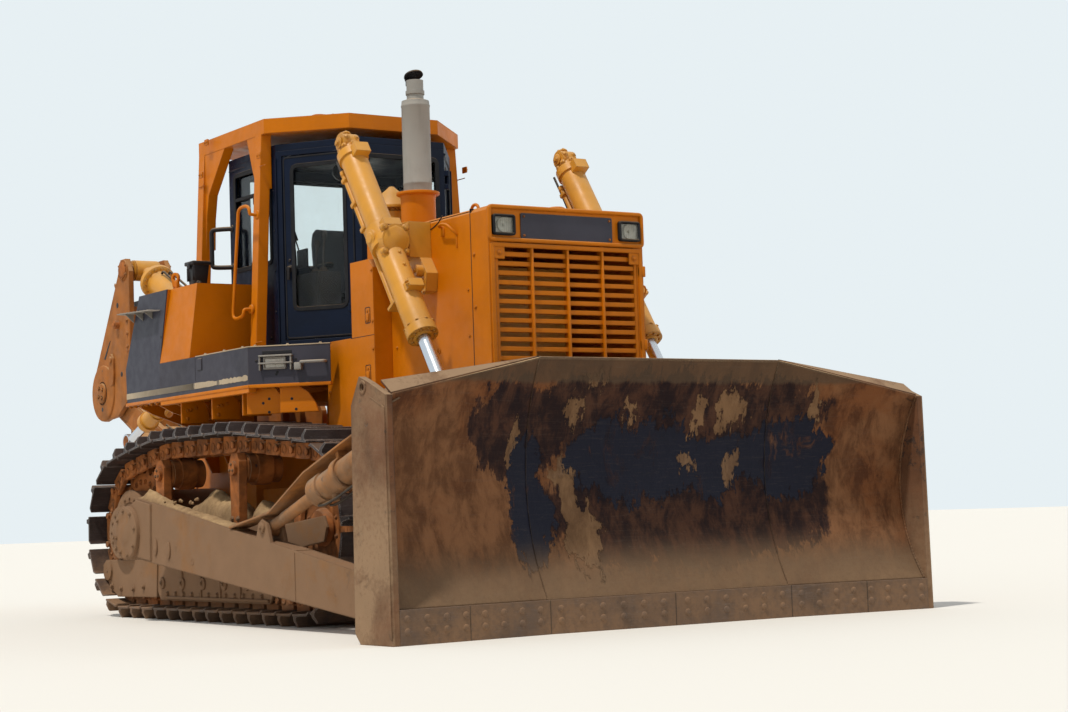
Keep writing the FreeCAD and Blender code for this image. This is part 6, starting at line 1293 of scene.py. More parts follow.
for name, side in SIDES:
    pivot = at(LIFT_PIVOT.x, side * LIFT_Y, LIFT_PIVOT.z)
    top = pivot - lift_way * LIFT_ABOVE
    low = pivot + lift_way * LIFT_BELOW
    ahead = -behind
    bm = bmesh.new()
    for along, round_about, size in ((0.060, 5, 0.020), (0.118, 6, 0.017)):
        spot = top + lift_way * along
        ring = frame_at(spot, lift_way, ahead)
        for i in range(round_about):
            angle = 2 * math.pi * i / round_about + along * 9
            out = (ring.to_3x3() @ Vector((math.cos(angle), math.sin(angle), 0))).normalized()
            bar(bm, spot + out * 0.062, spot + out * 0.076, size * 1.25, sides=16, bevel=0.004)
            bolt(bm, spot + out * 0.074, out, size * 0.72)
    for y in (-0.060, 0.060):
        bar(bm, top + lift_way * 0.062 + Vector((0, y * 1.05, 0)), top + lift_way * 0.062 + Vector((0, y * 1.22, 0)), 0.040,
            sides=20, bevel=0.005)
        bolt(bm, top + lift_way * 0.062 + Vector((0, y * 1.22, 0)), (0, y, 0), 0.017)
    bar(bm, top - lift_way * 0.012, top + lift_way * 0.003, 0.046, sides=24, bevel=0.005)
    bolt_ring(bm, top - lift_way * 0.012, -lift_way, 0.030, 5, 0.010)
    bolt_ring(bm, low - lift_way * 0.072, -lift_way, LIFT_RADIUS + 0.004, 10, 0.010)
    bolt_ring(bm, low - lift_way * 0.001, lift_way, 0.082, 10, 0.009)
    turned(bm, low, lift_way, [(0.047, -0.004), (0.066, -0.004), (0.068, 0.008), (0.060, 0.014), (0.048, 0.014)], 32)
    for along in (0.30, 0.52, 0.74):
        spot = top + lift_way * along + behind * (LIFT_RADIUS + 0.012)
        turn = frame_at(spot, behind, lift_way)
        block(bm, (-0.016, -0.062, -0.014), (0.016, 0.062, 0.042), 0.004, matrix=turn)
        for y in (-0.050, 0.0, 0.050):
            bolt(bm, turn @ Vector((0, y, 0.042)), behind, 0.007)
    for step in (-1, 1):
        spot = top + behind * (LIFT_RADIUS + 0.030) + Vector((0, step * 0.034, 0))
        for along in (0.245, 0.850):
            bar(bm, spot + lift_way * (along - 0.022), spot + lift_way * (along + 0.012), 0.026, sides=6, bevel=0.002)
    front_cap = pivot + Vector((0.150, 0, -0.020))
    turned(bm, front_cap, (1, 0, 0), [(0.0, 0.012), (0.050, 0.011), (0.062, 0.006), (0.078, 0.005), (0.094, 0.0),
                                      (0.103, -0.008), (0.104, -0.04)], 8)
    for i in range(4):
        angle = math.pi / 4 + math.pi / 2 * i
        ear = front_cap + Vector((-0.010, math.cos(angle) * 0.112, math.sin(angle) * 0.112))
        bar(bm, ear - Vector((0.030, 0, 0)), ear + Vector((0.010, 0, 0)), 0.026, sides=18, bevel=0.004)
        bolt(bm, ear + Vector((0.010, 0, 0)), (1, 0, 0), 0.014)
    outer_cap = pivot + Vector((0, side * (LIFT_RADIUS + 0.020), 0))
    turned(bm, outer_cap, (0, side, 0), [(0.0, 0.010), (0.034, 0.010), (0.042, 0.002), (0.055, 0.001), (0.062, -0.02)], 28)
    flange = low - lift_way * 0.339
    for y in (-0.055, 0.055):
        bolt(bm, flange + ahead * (LIFT_RADIUS + 0.035) + Vector((0, y, 0)) + lift_way * 0.011, lift_way, 0.012)
        bolt(bm, flange + ahead * (LIFT_RADIUS + 0.035) + Vector((0, y, 0)) - lift_way * 0.011, -lift_way, 0.012)
    port = pivot + lift_way * 0.19 + ahead * (LIFT_RADIUS - 0.004)
    for along in (0.0, 0.105):
        bar(bm, port + lift_way * along, port + lift_way * along + ahead * 0.014, 0.011, sides=12, bevel=0.002)
    keep(f"lift_fittings_{name}", bm, f"{name}_lift_cylinder", "yellow")

    bm = bmesh.new()
    for step in (-1, 1):
        spot = top + behind * (LIFT_RADIUS + 0.060) + Vector((0, step * 0.028, 0))
        pipe(bm, [spot + lift_way * 0.10, spot + lift_way * 0.30, spot + lift_way * 0.55 + behind * 0.012,
                  spot + lift_way * 0.80, spot + lift_way * 0.90 - behind * 0.02], 0.0085, 3)
    keep(f"lift_pipes_{name}", bm, f"{name}_lift_cylinder", "black")

    bm = bmesh.new()
    eye = at(LIFT_EYE.x, side * LIFT_Y, LIFT_EYE.z)
    for face in (-1, 1):
        turned(bm, eye + Vector((0, face * 0.050, 0)), (0, face, 0), [(0.040, -0.002), (0.074, -0.002), (0.080, 0.002), (0.080, 0.0045),
                                                              (0.040, 0.0045)], 28)
    turned(bm, eye - lift_way * 0.085, lift_way, [(0.046, -0.03), (0.052, -0.028), (0.058, 0.0), (0.074, 0.02), (0.074, 0.03),
                                                  (0.046, 0.03)], 28)
    keep(f"lift_rod_end_{name}", bm, f"{name}_lift_piston", "dusty")

# %% Yokes on the guard's sides
bm = bmesh.new()
yoke_low, yoke_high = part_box("lift_yokes")
for x, z in ((-0.085, 0.085), (0.085, 0.085), (-0.085, -0.105), (0.085, -0.105)):
    bolt(bm, at(3.580 + x, -(0.778), 2.550 + z), (0, -1, 0), 0.015)
for x, z in ((3.700, 2.330), (3.690, 2.240)):
    bar(bm, at(x, -0.700, z), at(x, -0.742, z), 0.036, 0.034, sides=24, bevel=0.008)
    bar(bm, at(x, -0.740, z), at(x, -0.766, z), 0.018, sides=6, bevel=0.003)
for x, z in ((3.50, 2.36), (3.58, 2.21), (3.73, 2.19)):
    bolt(bm, at(x, -0.700, z), (0, -1, 0), 0.014)
turned(bm, at(3.580, -0.778, 2.550), (0, -1, 0), [(0.052, -0.004), (0.074, -0.004), (0.074, 0.005), (0.066, 0.009), (0.052, 0.009)], 32)
both_sides(bm)
keep("yoke_bolts", bm, "machine", "yellow")
# %% [markdown]
# ## Blade, push arms and tilt links
# The blade is one big welded plate, so its small parts are weld beads, the domed bolts that hold the
# cutting edge, and wear strips on the end plates. A bead is a ribbed tube, turned from an outline whose
# radius goes up and down. The cutting edge bends with the blade, so one function gives the place and the
# outward way for any distance from the middle, and bolts and seams both ask it.

# %% Beads, edge bolts and seams
BLADE_FACE, BLADE_END_FACE, BLADE_HOLLOW = 5.395, 5.500, 0.190
BLADE_FLAT_HALF, PLATE_INNER, PLATE_OUTER = 0.915, 1.985, 2.030
BLADE_LOW, BLADE_TOP, BLADE_END_TOP = 0.200, 1.615, 1.390
EDGE_FRONT = 0.028
lean = math.atan2(BLADE_END_FACE - BLADE_FACE, PLATE_INNER - BLADE_FLAT_HALF)


def bead(bm, start, end, radius=0.007, pitch=0.012):
    """A weld: a run of overlapping ripples between two points."""
    start, end = Vector(start), Vector(end)
    length = (end - start).length
    count = 2 * max(2, round(length / pitch))
    profile = [(0.0, 0.0)]
    for i in range(count + 1):
        profile.append((radius * (1.0 if i % 2 else 0.80) * (0.94 + 0.10 * math.sin(i * 1.7)), length * i / count))
    turned(bm, start, end - start, profile + [(0.0, length)], 8)


def bead_line(bm, points, radius=0.007):
    for start, end in zip(points, points[1:]):
        bead(bm, start, end, radius)


def edge_spot(y, z):
    """A place on the cutting edge's front face, and the way that face looks."""
    if abs(y) <= BLADE_FLAT_HALF:
        return at(BLADE_FACE + EDGE_FRONT, y, z), Vector((1, 0, 0))
    x = BLADE_FACE + EDGE_FRONT + math.tan(lean) * (abs(y) - BLADE_FLAT_HALF)
    return at(x, y, z), Vector((math.cos(lean), -math.copysign(math.sin(lean), y), 0))


def face_curve(x_face, y, high, steps=10, lift=0.0):
    """Points up the hollow face of the blade, which is an arc between its lower and upper edge."""
    half, middle = (high - BLADE_LOW) / 2, (high + BLADE_LOW) / 2
    radius = (half ** 2 + BLADE_HOLLOW ** 2) / (2 * BLADE_HOLLOW)
    rows = [BLADE_LOW + 2 * half * i / steps for i in range(steps + 1)]
    return [at(x_face - BLADE_HOLLOW + radius - math.sqrt(radius ** 2 - (z - middle) ** 2) + lift, y, z) for z in rows]


bm = bmesh.new()
for y in [0.09 + 0.15 * i for i in range(6)] + [0.99 + 0.135 * i for i in range(8)]:
    for side in (-1, 1):
        for z in (0.075, 0.145):
            spot, out = edge_spot(side * y, z)
            turned(bm, spot, out, [(0.0, 0.0065), (0.010, 0.006), (0.019, 0.0035), (0.023, 0.0), (0.023, -0.003)], 18)
            bolt(bm, spot - out * 0.0335, -out, 0.015)
keep("edge_bolts", bm, "blade", "edge_steel")

bm = bmesh.new()
for y in (-1.50, -0.915, 0.0, 0.915, 1.50):
    spot, out = edge_spot(y, 0.1)
    turn = frame_at(spot, out, (0, 0, 1))
    block(bm, (-0.098, -0.002, -0.004), (0.097, 0.002, 0.0015), 0, matrix=turn)
keep("edge_seams", bm, "blade", "black")

bm = bmesh.new()
for side in (-1, 1):
    bead_line(bm, face_curve(BLADE_END_FACE, side * (PLATE_INNER - 0.003), BLADE_END_TOP, 8, 0.003), 0.009)
    bead_line(bm, face_curve(BLADE_FACE, side * BLADE_FLAT_HALF, BLADE_TOP, 8), 0.0035)
    bead(bm, at(BLADE_END_FACE - 0.018, side * (PLATE_INNER - 0.01), BLADE_LOW + 0.001), at(BLADE_FACE - 0.006, side * BLADE_FLAT_HALF, BLADE_LOW + 0.001), 0.006)
bead(bm, at(BLADE_FACE - 0.002, -BLADE_FLAT_HALF, BLADE_LOW + 0.001), at(BLADE_FACE - 0.002, BLADE_FLAT_HALF, BLADE_LOW + 0.001), 0.006)
keep("blade_welds", bm, "blade", "bladeface")

bm = bmesh.new()
block(bm, at(BLADE_FACE - 0.040, -BLADE_FLAT_HALF, BLADE_TOP - 0.004), at(BLADE_FACE + 0.004, BLADE_FLAT_HALF, BLADE_TOP + 0.010), 0.003)
for side in (-1, 1):
    line = [at(BLADE_FACE - 0.040, side * BLADE_FLAT_HALF, BLADE_TOP - 0.004), at(BLADE_FACE + 0.004, side * BLADE_FLAT_HALF, BLADE_TOP - 0.004),
            at(BLADE_END_FACE + 0.002, side * (PLATE_INNER - 0.002), BLADE_END_TOP - 0.004), at(BLADE_END_FACE - 0.042, side * (PLATE_INNER - 0.002), BLADE_END_TOP - 0.004)]
    plate(bm, line, (0, 0, 0.011), 0.003)
keep("blade_lip", bm, "blade", "bladeface")

bm = bmesh.new()
for side in (-1, 1):
    out = Vector((0, side, 0))
    strip = [at(5.490, side * PLATE_OUTER, 0.060), at(5.520, side * PLATE_OUTER, 0.030), at(5.504, side * PLATE_OUTER, 1.320), at(5.470, side * PLATE_OUTER, 1.340)]
    plate(bm, strip, out * 0.008, 0.002)
    bead(bm, at(5.488, side * (PLATE_OUTER + 0.001), 0.07), at(5.468, side * (PLATE_OUTER + 0.001), 1.335), 0.004)
    turned(bm, at(5.255, side * (PLATE_OUTER - 0.003), 1.445), out, [(0.024, 0.008), (0.026, 0.010), (0.038, 0.010), (0.041, 0.007), (0.041, 0.0)], 28)
    for z in (0.38, 0.80):
        plug = at(5.165, side * PLATE_OUTER, z)
        turned(bm, plug, out, [(0.0, 0.003), (0.020, 0.003), (0.030, 0.001), (0.031, -0.002)], 22)
    lip = [at(5.330, side * (PLATE_OUTER + 0.002), 1.385), at(5.330, side * (PLATE_OUTER - 0.110), 1.440),
           at(5.345, side * (PLATE_OUTER - 0.110), 1.440), at(5.345, side * (PLATE_OUTER + 0.002), 1.385)]
    plate(bm, lip, (0.15, 0, -0.068), 0.002)
keep("end_plate_trim", bm, "blade", "endplate")
print("blade: edge bolts, seams, welds, lip and end plate strips")

# %% [markdown]
# ### Back of the blade
# Seen from behind the blade is a rack of ribs and a deep beam. Gussets stand in the corners between ribs
# and beam, beads run along the feet, and each lift ear carries a pin with a keeper plate and two bolts.

# %% Back of the blade
bm = bmesh.new()
RIBS = ((0.183, 0.030, 1.181), (0.531, 0.030, 1.181), (1.245, 0.060, 1.150), (1.815, 0.060, 1.040))
for y, _, high in RIBS:
    for side in (-1, 1):
        for turn in (-1, 1):
            foot = at(5.092, side * y + turn * 0.012, 0.336)
            corner_plate = [foot, foot + Vector((0, turn * 0.080, 0)), foot + Vector((0, 0, 0.090))]
            plate(bm, corner_plate, (0.014, 0, 0), 0.002)
        bead(bm, at(5.100, side * (y + 0.016), 0.340), at(5.100, side * (y + 0.016), high - 0.08), 0.005, 0.02)
for y in (-1.70, -0.90, 0.0, 0.90, 1.70):
    bead(bm, at(5.056, y - 0.22, 0.3365), at(5.056, y + 0.22, 0.3365), 0.006, 0.02)
for y in (-0.60, 0.60):
    eye = frame_at(at(5.13, y, 1.335), (0, 1, 0), (0, 0, 1))
    rim(bm, eye, [(math.cos(t) * 0.052, math.sin(t) * 0.052) for t in [math.pi / 8 * i for i in range(16)]],
        [(math.cos(t) * 0.026, math.sin(t) * 0.026) for t in [math.pi / 8 * i for i in range(16)]], 0.022, 0.003)
keep("blade_gussets", bm, "blade", "faded")

bm = bmesh.new()
for side in (-1, 1):
    for edge, way in ((side * 0.9907, side), (side * 0.8093, -side)):
        spot = at(4.810, edge, 0.700)
        turned(bm, spot, (0, way, 0), [(0.0, 0.018), (0.040, 0.018), (0.047, 0.012), (0.048, -0.004)], 28)
        block(bm, spot + Vector((0.030, -0.004, -0.020)), spot + Vector((0.110, 0.004, 0.020)), 0.002)
        bolt(bm, spot + Vector((0.092, way * 0.004, 0)), (0, way, 0), 0.011)
    for edge, way in ((side * 1.6056, side), (side * 1.4644, -side)):
        spot = at(5.090, edge, 1.300)
        turned(bm, spot, (0, way, 0), [(0.0, 0.014), (0.030, 0.014), (0.035, 0.009), (0.036, -0.003)], 24)
        bolt(bm, spot + Vector((0, way * 0.013, 0)), (0, way, 0), 0.012)
keep("blade_pins", bm, "blade", "rust")
print("back of the blade: gussets, beads, lifting eyes and pins")

# %% [markdown]
# ### Push arms
# The arm's rear end is a thicker housing round the trunnion with a bolted cap; two oval bosses and a
# drain hole follow, then a long plain beam with a sleeve plate near the front. The housing is the arm's
# own outline, moved a little outwards, with a bead along its front edge. The right arm carries the tilt
# cylinder and the left arm the plain brace, but their plates are alike, so one loop makes both.

# %% Push arms
ARM_SIDE, ARM_INNER = 1.600, 1.470
ARM_CAP, ARM_PIVOT = 1.640, (0.890, 0.657)
ARM_TOP = ((1.010, 0.917), (5.0545, 0.275))
ARM_BOTTOM = ((0.950, 0.472), (5.0545, 0.025))


def arm_line(line, x):
    share = (x - line[0][0]) / (line[1][0] - line[0][0])
    return line[0][1] + share * (line[1][1] - line[0][1])


for name, side in SIDES:
    out = Vector((0, side, 0))
    bm = bmesh.new()
    housing = [(0.955, 0.485), (1.260, arm_line(ARM_BOTTOM, 1.26) + 0.012), (1.275, arm_line(ARM_TOP, 1.275) - 0.012),
               (1.020, 0.900), (0.880, 0.850), (0.870, 0.600)]
    plate(bm, [at(x, side * ARM_SIDE, z) for x, z in housing], out * 0.014, 0.004)
    bead(bm, at(1.262, side * (ARM_SIDE + 0.001), arm_line(ARM_BOTTOM, 1.26) + 0.014), at(1.278, side * (ARM_SIDE + 0.001), arm_line(ARM_TOP, 1.275) - 0.014), 0.007)
    cap = at(ARM_PIVOT[0], side * ARM_CAP, ARM_PIVOT[1])
    turned(bm, cap, out, [(0.0, 0.016), (0.075, 0.016), (0.088, 0.010), (0.120, 0.008), (0.150, 0.006), (0.188, 0.004),
                          (0.196, -0.004)], 44)
    bolt_ring(bm, cap + out * 0.006, out, 0.168, 8, 0.013, 0.2)
    for x, z in ((1.345, 0.549), (1.574, 0.525)):
        boss = frame_at(at(x, side * (ARM_SIDE - 0.002), z), out, (0, 0, 1))
        oval = [(math.cos(t) * 0.062, math.sin(t) * 0.030) for t in [math.pi / 10 * i for i in range(20)]]
        plate(bm, [boss @ Vector((a, b, 0)) for a, b in oval], out * 0.014, 0.004)
        turned(bm, at(x, side * (ARM_SIDE + 0.012), z - 0.018), out, [(0.0, 0.002), (0.014, 0.002), (0.017, -0.001)], 16)
    turned(bm, at(1.970, side * (ARM_SIDE - 0.001), 0.446), out, [(0.014, 0.001), (0.016, 0.003), (0.024, 0.003), (0.026, 0.0)], 22)
    for x in (3.530, 4.700):
        bead(bm, at(x, side * (ARM_SIDE + 0.0005), arm_line(ARM_BOTTOM, x) + 0.01), at(x, side * (ARM_SIDE + 0.0005), arm_line(ARM_TOP, x) - 0.01), 0.005)
        bead(bm, at(x, side * (ARM_SIDE - 0.01), arm_line(ARM_TOP, x) + 0.0005), at(x, side * (ARM_INNER + 0.01), arm_line(ARM_TOP, x) + 0.0005), 0.005)
    sleeve = [(4.730, arm_line(ARM_BOTTOM, 4.73) + 0.015), (5.020, arm_line(ARM_BOTTOM, 5.02) + 0.015),
              (5.020, arm_line(ARM_TOP, 5.02) - 0.015), (4.730, arm_line(ARM_TOP, 4.73) - 0.015)]
    plate(bm, [at(x, side * ARM_SIDE, z) for x, z in sleeve], out * 0.012, 0.003)
    for x, z in ((4.79, 0.115), (4.79, 0.245), (4.96, 0.095), (4.96, 0.225)):
        bolt(bm, at(x, side * (ARM_SIDE + 0.012), z), out, 0.014)
    for line, lift in ((ARM_TOP, 0.0), (ARM_BOTTOM, 0.0)):
        for y in (ARM_SIDE - 0.006, ARM_INNER + 0.006):
            bead(bm, at(1.30, side * y, arm_line(line, 1.30) + lift), at(4.68, side * y, arm_line(line, 4.68) + lift), 0.0045, 0.030)
    for edge, way in ((side * 1.6003, side), (side * 1.4697, -side)):
        pin = at(3.080, edge, 0.668)
        turned(bm, pin, (0, way, 0), [(0.0, 0.016), (0.030, 0.016), (0.036, 0.010), (0.037, -0.003)], 24)
        bolt(bm, pin + Vector((0, way * 0.015, 0)), (0, way, 0), 0.012)
    keep(f"arm_fittings_{name}", bm, "blade", "dusty")
print("arms: housings, caps, bosses, sleeves, beads and pins")

# %% [markdown]
# ### Tilt cylinder and brace
# On the right the blade is tilted by a short fat cylinder under a bent guard strip. It gets gland bolts,
# an end cap, clamp bolts and two rigid pipes that run back along the barrel. The left brace is a plain
# tube whose two sleeves are locked by nuts, so it gets collars, flats and beads.

# %% Tilt cylinder and brace
TILT_Y = 1.535
tilt_low, tilt_high = at(3.080, -TILT_Y, 0.668), at(5.090, -TILT_Y, 1.300)
tilt_way = (tilt_high - tilt_low).normalized()
tilt_up = Vector((-tilt_way.z, 0, tilt_way.x))


def tilt_at(share, rise=0.0, across=0.0):
    return tilt_low + (tilt_high - tilt_low) * share + tilt_up * rise + Vector((0, across, 0))


bm = bmesh.new()
turned(bm, tilt_at(0.34), tilt_way, [(0.045, -0.006), (0.070, -0.008), (0.094, -0.004), (0.101, 0.004), (0.101, 0.03)], 40)
bolt_ring(bm, tilt_at(0.34) - tilt_way * 0.004, -tilt_way, 0.082, 10, 0.009)
turned(bm, tilt_at(0.895), tilt_way, [(0.0885, -0.02), (0.096, -0.016), (0.096, 0.006), (0.084, 0.016), (0.042, 0.018)], 40)
bolt_ring(bm, tilt_at(0.902), tilt_way, 0.068, 8, 0.008)
for share in (0.50, 0.78):
    turned(bm, tilt_at(share) - tilt_way * 0.004, tilt_way, [(0.100, 0.0), (0.107, 0.002), (0.107, 0.066), (0.100, 0.068)], 40)
    for y in (-0.050, 0.050):
        bolt(bm, tilt_at(share, 0.150, y) + tilt_way * 0.03 - tilt_up * 0.0, tilt_up, 0.011)
for share, y in ((0.44, 0.0), (0.86, 0.0)):
    bar(bm, tilt_at(share, -0.070, y), tilt_at(share, -0.112, y), 0.028, sides=20, bevel=0.004)
    bar(bm, tilt_at(share, -0.104, y), tilt_at(share, -0.128, y), 0.020, sides=6, bevel=0.002)
for x, z in ((2.66, 0.689), (2.92, 0.729)):
    for y in (-0.045, 0.045):
        bolt(bm, at(x, -TILT_Y + y, z + 0.010), (-0.15, 0, 1), 0.010)
mirror = Matrix.Scale(-1, 4, (0, 1, 0))
for share in (0.105, 0.30, 0.62, 0.88):
    spot = mirror @ tilt_at(share)
    turned(bm, spot, tilt_way, [(0.038, -0.020), (0.060, -0.018), (0.066, -0.010), (0.066, 0.010), (0.060, 0.018), (0.038, 0.020)], 32)
for share in (0.16, 0.84):
    bar(bm, mirror @ tilt_at(share), mirror @ tilt_at(share) + tilt_way * 0.045, 0.062, sides=6, bevel=0.004)
for share in (0.40, 0.52):
    bead(bm, mirror @ tilt_at(share, 0.0620, 0.012), mirror @ tilt_at(share + 0.06, 0.0620, 0.012), 0.005)
keep("tilt_fittings", bm, "blade", "grimy")

bm = bmesh.new()
for y in (-0.016, 0.016):
    pipe(bm, [tilt_at(0.86, -0.122, y), tilt_at(0.86, -0.150, y), tilt_at(0.83, -0.152, y), tilt_at(0.60, -0.122, y * 2.0),
              tilt_at(0.46, -0.130, y * 2.2), tilt_at(0.38, -0.118, y * 2.6), tilt_at(0.36, -0.100, y * 2.6)], 0.009, 3)
keep("tilt_pipes", bm, "blade", "black")
print("tilt links: gland, caps, clamps, sleeves and pipes")
# %% [markdown]
# ## Cab
# The walls, panes and doors are imported shapes with real openings. What is missing is what a hand or an
# eye finds first: rubber seals round each pane, handles, hinges' bolt heads, wipers and a tube rail. A
# wall matrix for each side lets one frame function serve the flat walls and the slanted doors alike.

# %% Walls of the cab
CAB_REAR, CAB_FRONT, CAB_HALF = 0.940, 2.296, 0.757
CAB_CORNER, CAB_FRONT_HALF = 1.730, 0.360
CAB_FLOOR = 1.990
corner = math.atan2(CAB_HALF - CAB_FRONT_HALF, CAB_FRONT - CAB_CORNER)
door_middle = at((CAB_FRONT + CAB_CORNER) / 2, -(CAB_HALF + CAB_FRONT_HALF) / 2, 0)
door_along = Vector((math.cos(corner), math.sin(corner), 0))
door_out = Vector((door_along.y, -door_along.x, 0))
door_length = math.hypot(CAB_FRONT - CAB_CORNER, CAB_HALF - CAB_FRONT_HALF)
LEAF_HALF = (door_length - 0.112) / 2
DOOR_LOW, DOOR_HIGH = 2.036, 3.394
GLASS_LOW, GLASS_HIGH, GLASS_HALF = 2.251, 3.324, LEAF_HALF - 0.070
slanted = wall(door_middle - door_out * 0.004, door_out)
side_wall = wall((-AXLE_BACK, -CAB_HALF, 0), (0, -1, 0))
rear_wall = wall((CAB_REAR - AXLE_BACK, 0, 0), (-1, 0, 0))
front_wall = wall((CAB_FRONT - AXLE_BACK, 0, 0), (1, 0, 0))
PANES = {"side": (side_wall, (1.030, 2.620), (1.640, 3.360)), "rear": (rear_wall, (-0.607, 2.680), (0.607, 3.360)),
         "front": (front_wall, (-0.300, 2.680), (0.300, 3.360))}
print("door leaf half width", round(LEAF_HALF, 3), "turned", round(math.degrees(corner), 1), "degrees")


def seal(bm, face, low, high, wide=0.022, rise=0.006, radius=0.05):
    """A rubber strip round a pane: it covers the pane's edge from outside, with round corners."""
    frame_on(bm, face, (low[0] - 0.012, low[1] - 0.012), (high[0] + 0.012, high[1] + 0.012), wide + 0.012, rise, radius, 0.002)


def corner_fill(bm, face, low, high, radius, depth):
    """Four small webs that round off the corners of a square opening."""
    for a, b, x, y in ((low[0], low[1], 1, 1), (high[0], low[1], -1, 1), (high[0], high[1], -1, -1), (low[0], high[1], 1, -1)):
        arc = [(a + x * radius * (1 - math.sin(t)), b + y * radius * (1 - math.cos(t)))
               for t in [math.pi / 2 * i / 6 for i in range(7)]]
        outline = [face @ Vector((p, q, 0)) for p, q in [(a, b)] + arc]
        plate(bm, outline, (face.to_3x3() @ Vector((0, 0, 1))) * depth, 0)


bm = bmesh.new()
for low_high in ("side", "rear", "front"):
    face, low, high = PANES[low_high]
    seal(bm, face, low, high)
    inner = face @ Matrix.Translation((0, 0, -0.030))
    frame_on(bm, inner, low, high, 0.016, 0.008, 0.04, 0.001)
face, low, high = PANES["side"]
block(bm, (low[0], 3.155, -0.030), (high[0], 3.180, 0.004), 0.003, matrix=face)
for b in (2.70, 3.10):
    block(bm, (1.333, b, -0.016), (1.349, b + 0.05, -0.004), 0.002, matrix=face)
both_sides(bm)
keep("window_seals", bm, "machine", "rubber")
for name, side in SIDES:
    bm = bmesh.new()
    frame_on(bm, slanted, (-GLASS_HALF - 0.010, GLASS_LOW - 0.010), (GLASS_HALF + 0.010, GLASS_HIGH + 0.010), 0.030, 0.006, 0.06, 0.002)
    corner_fill(bm, slanted @ Matrix.Translation((0, 0, -0.012)), (-GLASS_HALF, GLASS_LOW), (GLASS_HALF, GLASS_HIGH), 0.060, 0.012)
    frame_on(bm, slanted, (-LEAF_HALF + 0.004, DOOR_LOW + 0.004), (LEAF_HALF - 0.004, DOOR_HIGH - 0.004), 0.010, 0.003, 0.03, 0.001)
    if side > 0:
        both = bm.verts[:] + bm.edges[:] + bm.faces[:]
        bmesh.ops.scale(bm, vec=(1, -1, 1), verts=bm.verts[:])
    keep(f"door_seal_{name}", bm, f"{name}_door", "rubber")

# %% [markdown]
# ### Door handles, hinges, rail and wipers
# The handle is a lever on a round rose, near the door's rear edge where the picture shows it. The tube
# rail behind the side window and the wipers are bent rods, and each hinge leaf gets its bolt heads.

# %% Door handles, hinges, rail and wipers
HANDLE_HEIGHT = 2.560
for name, side in SIDES:
    bm = bmesh.new()
    a = -LEAF_HALF + 0.040
    turned(bm, slanted @ Vector((a, HANDLE_HEIGHT, 0)), door_out, [(0.0, 0.022), (0.014, 0.022), (0.017, 0.008), (0.026, 0.006), (0.028, -0.004)], 24)
    block(bm, (a - 0.010, HANDLE_HEIGHT - 0.085, 0.018), (a + 0.012, HANDLE_HEIGHT + 0.012, 0.030), 0.004, matrix=slanted)
    turned(bm, slanted @ Vector((a, HANDLE_HEIGHT + 0.060, 0)), door_out, [(0.0, 0.007), (0.010, 0.007), (0.013, -0.003)], 18)
    inside = slanted @ Matrix.Translation((0, 0, -0.052))
    pipe(bm, [inside @ Vector((a, 2.46, 0)), inside @ Vector((a, 2.46, -0.045)), inside @ Vector((a, 2.76, -0.045)),
              inside @ Vector((a, 2.76, 0))], 0.009, 3)
    for z in (2.210, 3.180):
        for b in (0.012, 0.048):
            bolt(bm, slanted @ Vector((LEAF_HALF - 0.030, z + b, 0.028)), door_out, 0.006)
    if side > 0:
        bmesh.ops.scale(bm, vec=(1, -1, 1), verts=bm.verts[:])
    keep(f"door_handle_{name}", bm, f"{name}_door", "black")

bm = bmesh.new()
RAIL_OUT = at(CAB_REAR - 0.070, -CAB_HALF - 0.125, 0)
for side in (-1, 1):
    corner_place = at(CAB_REAR + 0.030, side * (CAB_HALF - 0.004), 0)
    out_place = Vector((RAIL_OUT.x, -side * RAIL_OUT.y, 0))
    near = corner_place.lerp(out_place, 0.80)
    pipe(bm, [Vector((p.x, p.y, z)) for p, z in ((corner_place, 2.962), (near, 2.962), (out_place, 2.950), (out_place, 2.900), (out_place, 2.720),
                                                (out_place, 2.676), (near, 2.664), (corner_place, 2.664))], 0.018, 4)
    for z in (2.962, 2.664):
        turned(bm, Vector((corner_place.x, side * CAB_HALF, z)), (0, side, 0), [(0.014, 0.008), (0.028, 0.006), (0.030, -0.004)], 20)
for face, spot, sweep in ((front_wall, (0.0, 2.700), 0.42), (rear_wall, (0.10, 2.705), 0.46)):
    a, b = spot
    turned(bm, face @ Vector((a, b - 0.040, 0)), face.to_3x3() @ Vector((0, 0, 1)), [(0.0, 0.034), (0.014, 0.032), (0.022, 0.010), (0.024, -0.004)], 20)
    tip = (a + 0.16, b - 0.04 + sweep)
    pipe(bm, [face @ Vector((a, b - 0.040, 0.028)), face @ Vector((a + 0.04, b + 0.08, 0.032)), face @ Vector((*tip, 0.020))], 0.006)
    lean = Matrix.Translation((*tip, 0.010)) @ Matrix.Rotation(-0.36, 4, "Z")
    block(bm, (-0.006, -0.24, -0.010), (0.006, 0.17, 0.006), 0.002, matrix=face @ lean)
keep("cab_rails_wipers", bm, "machine", "black")

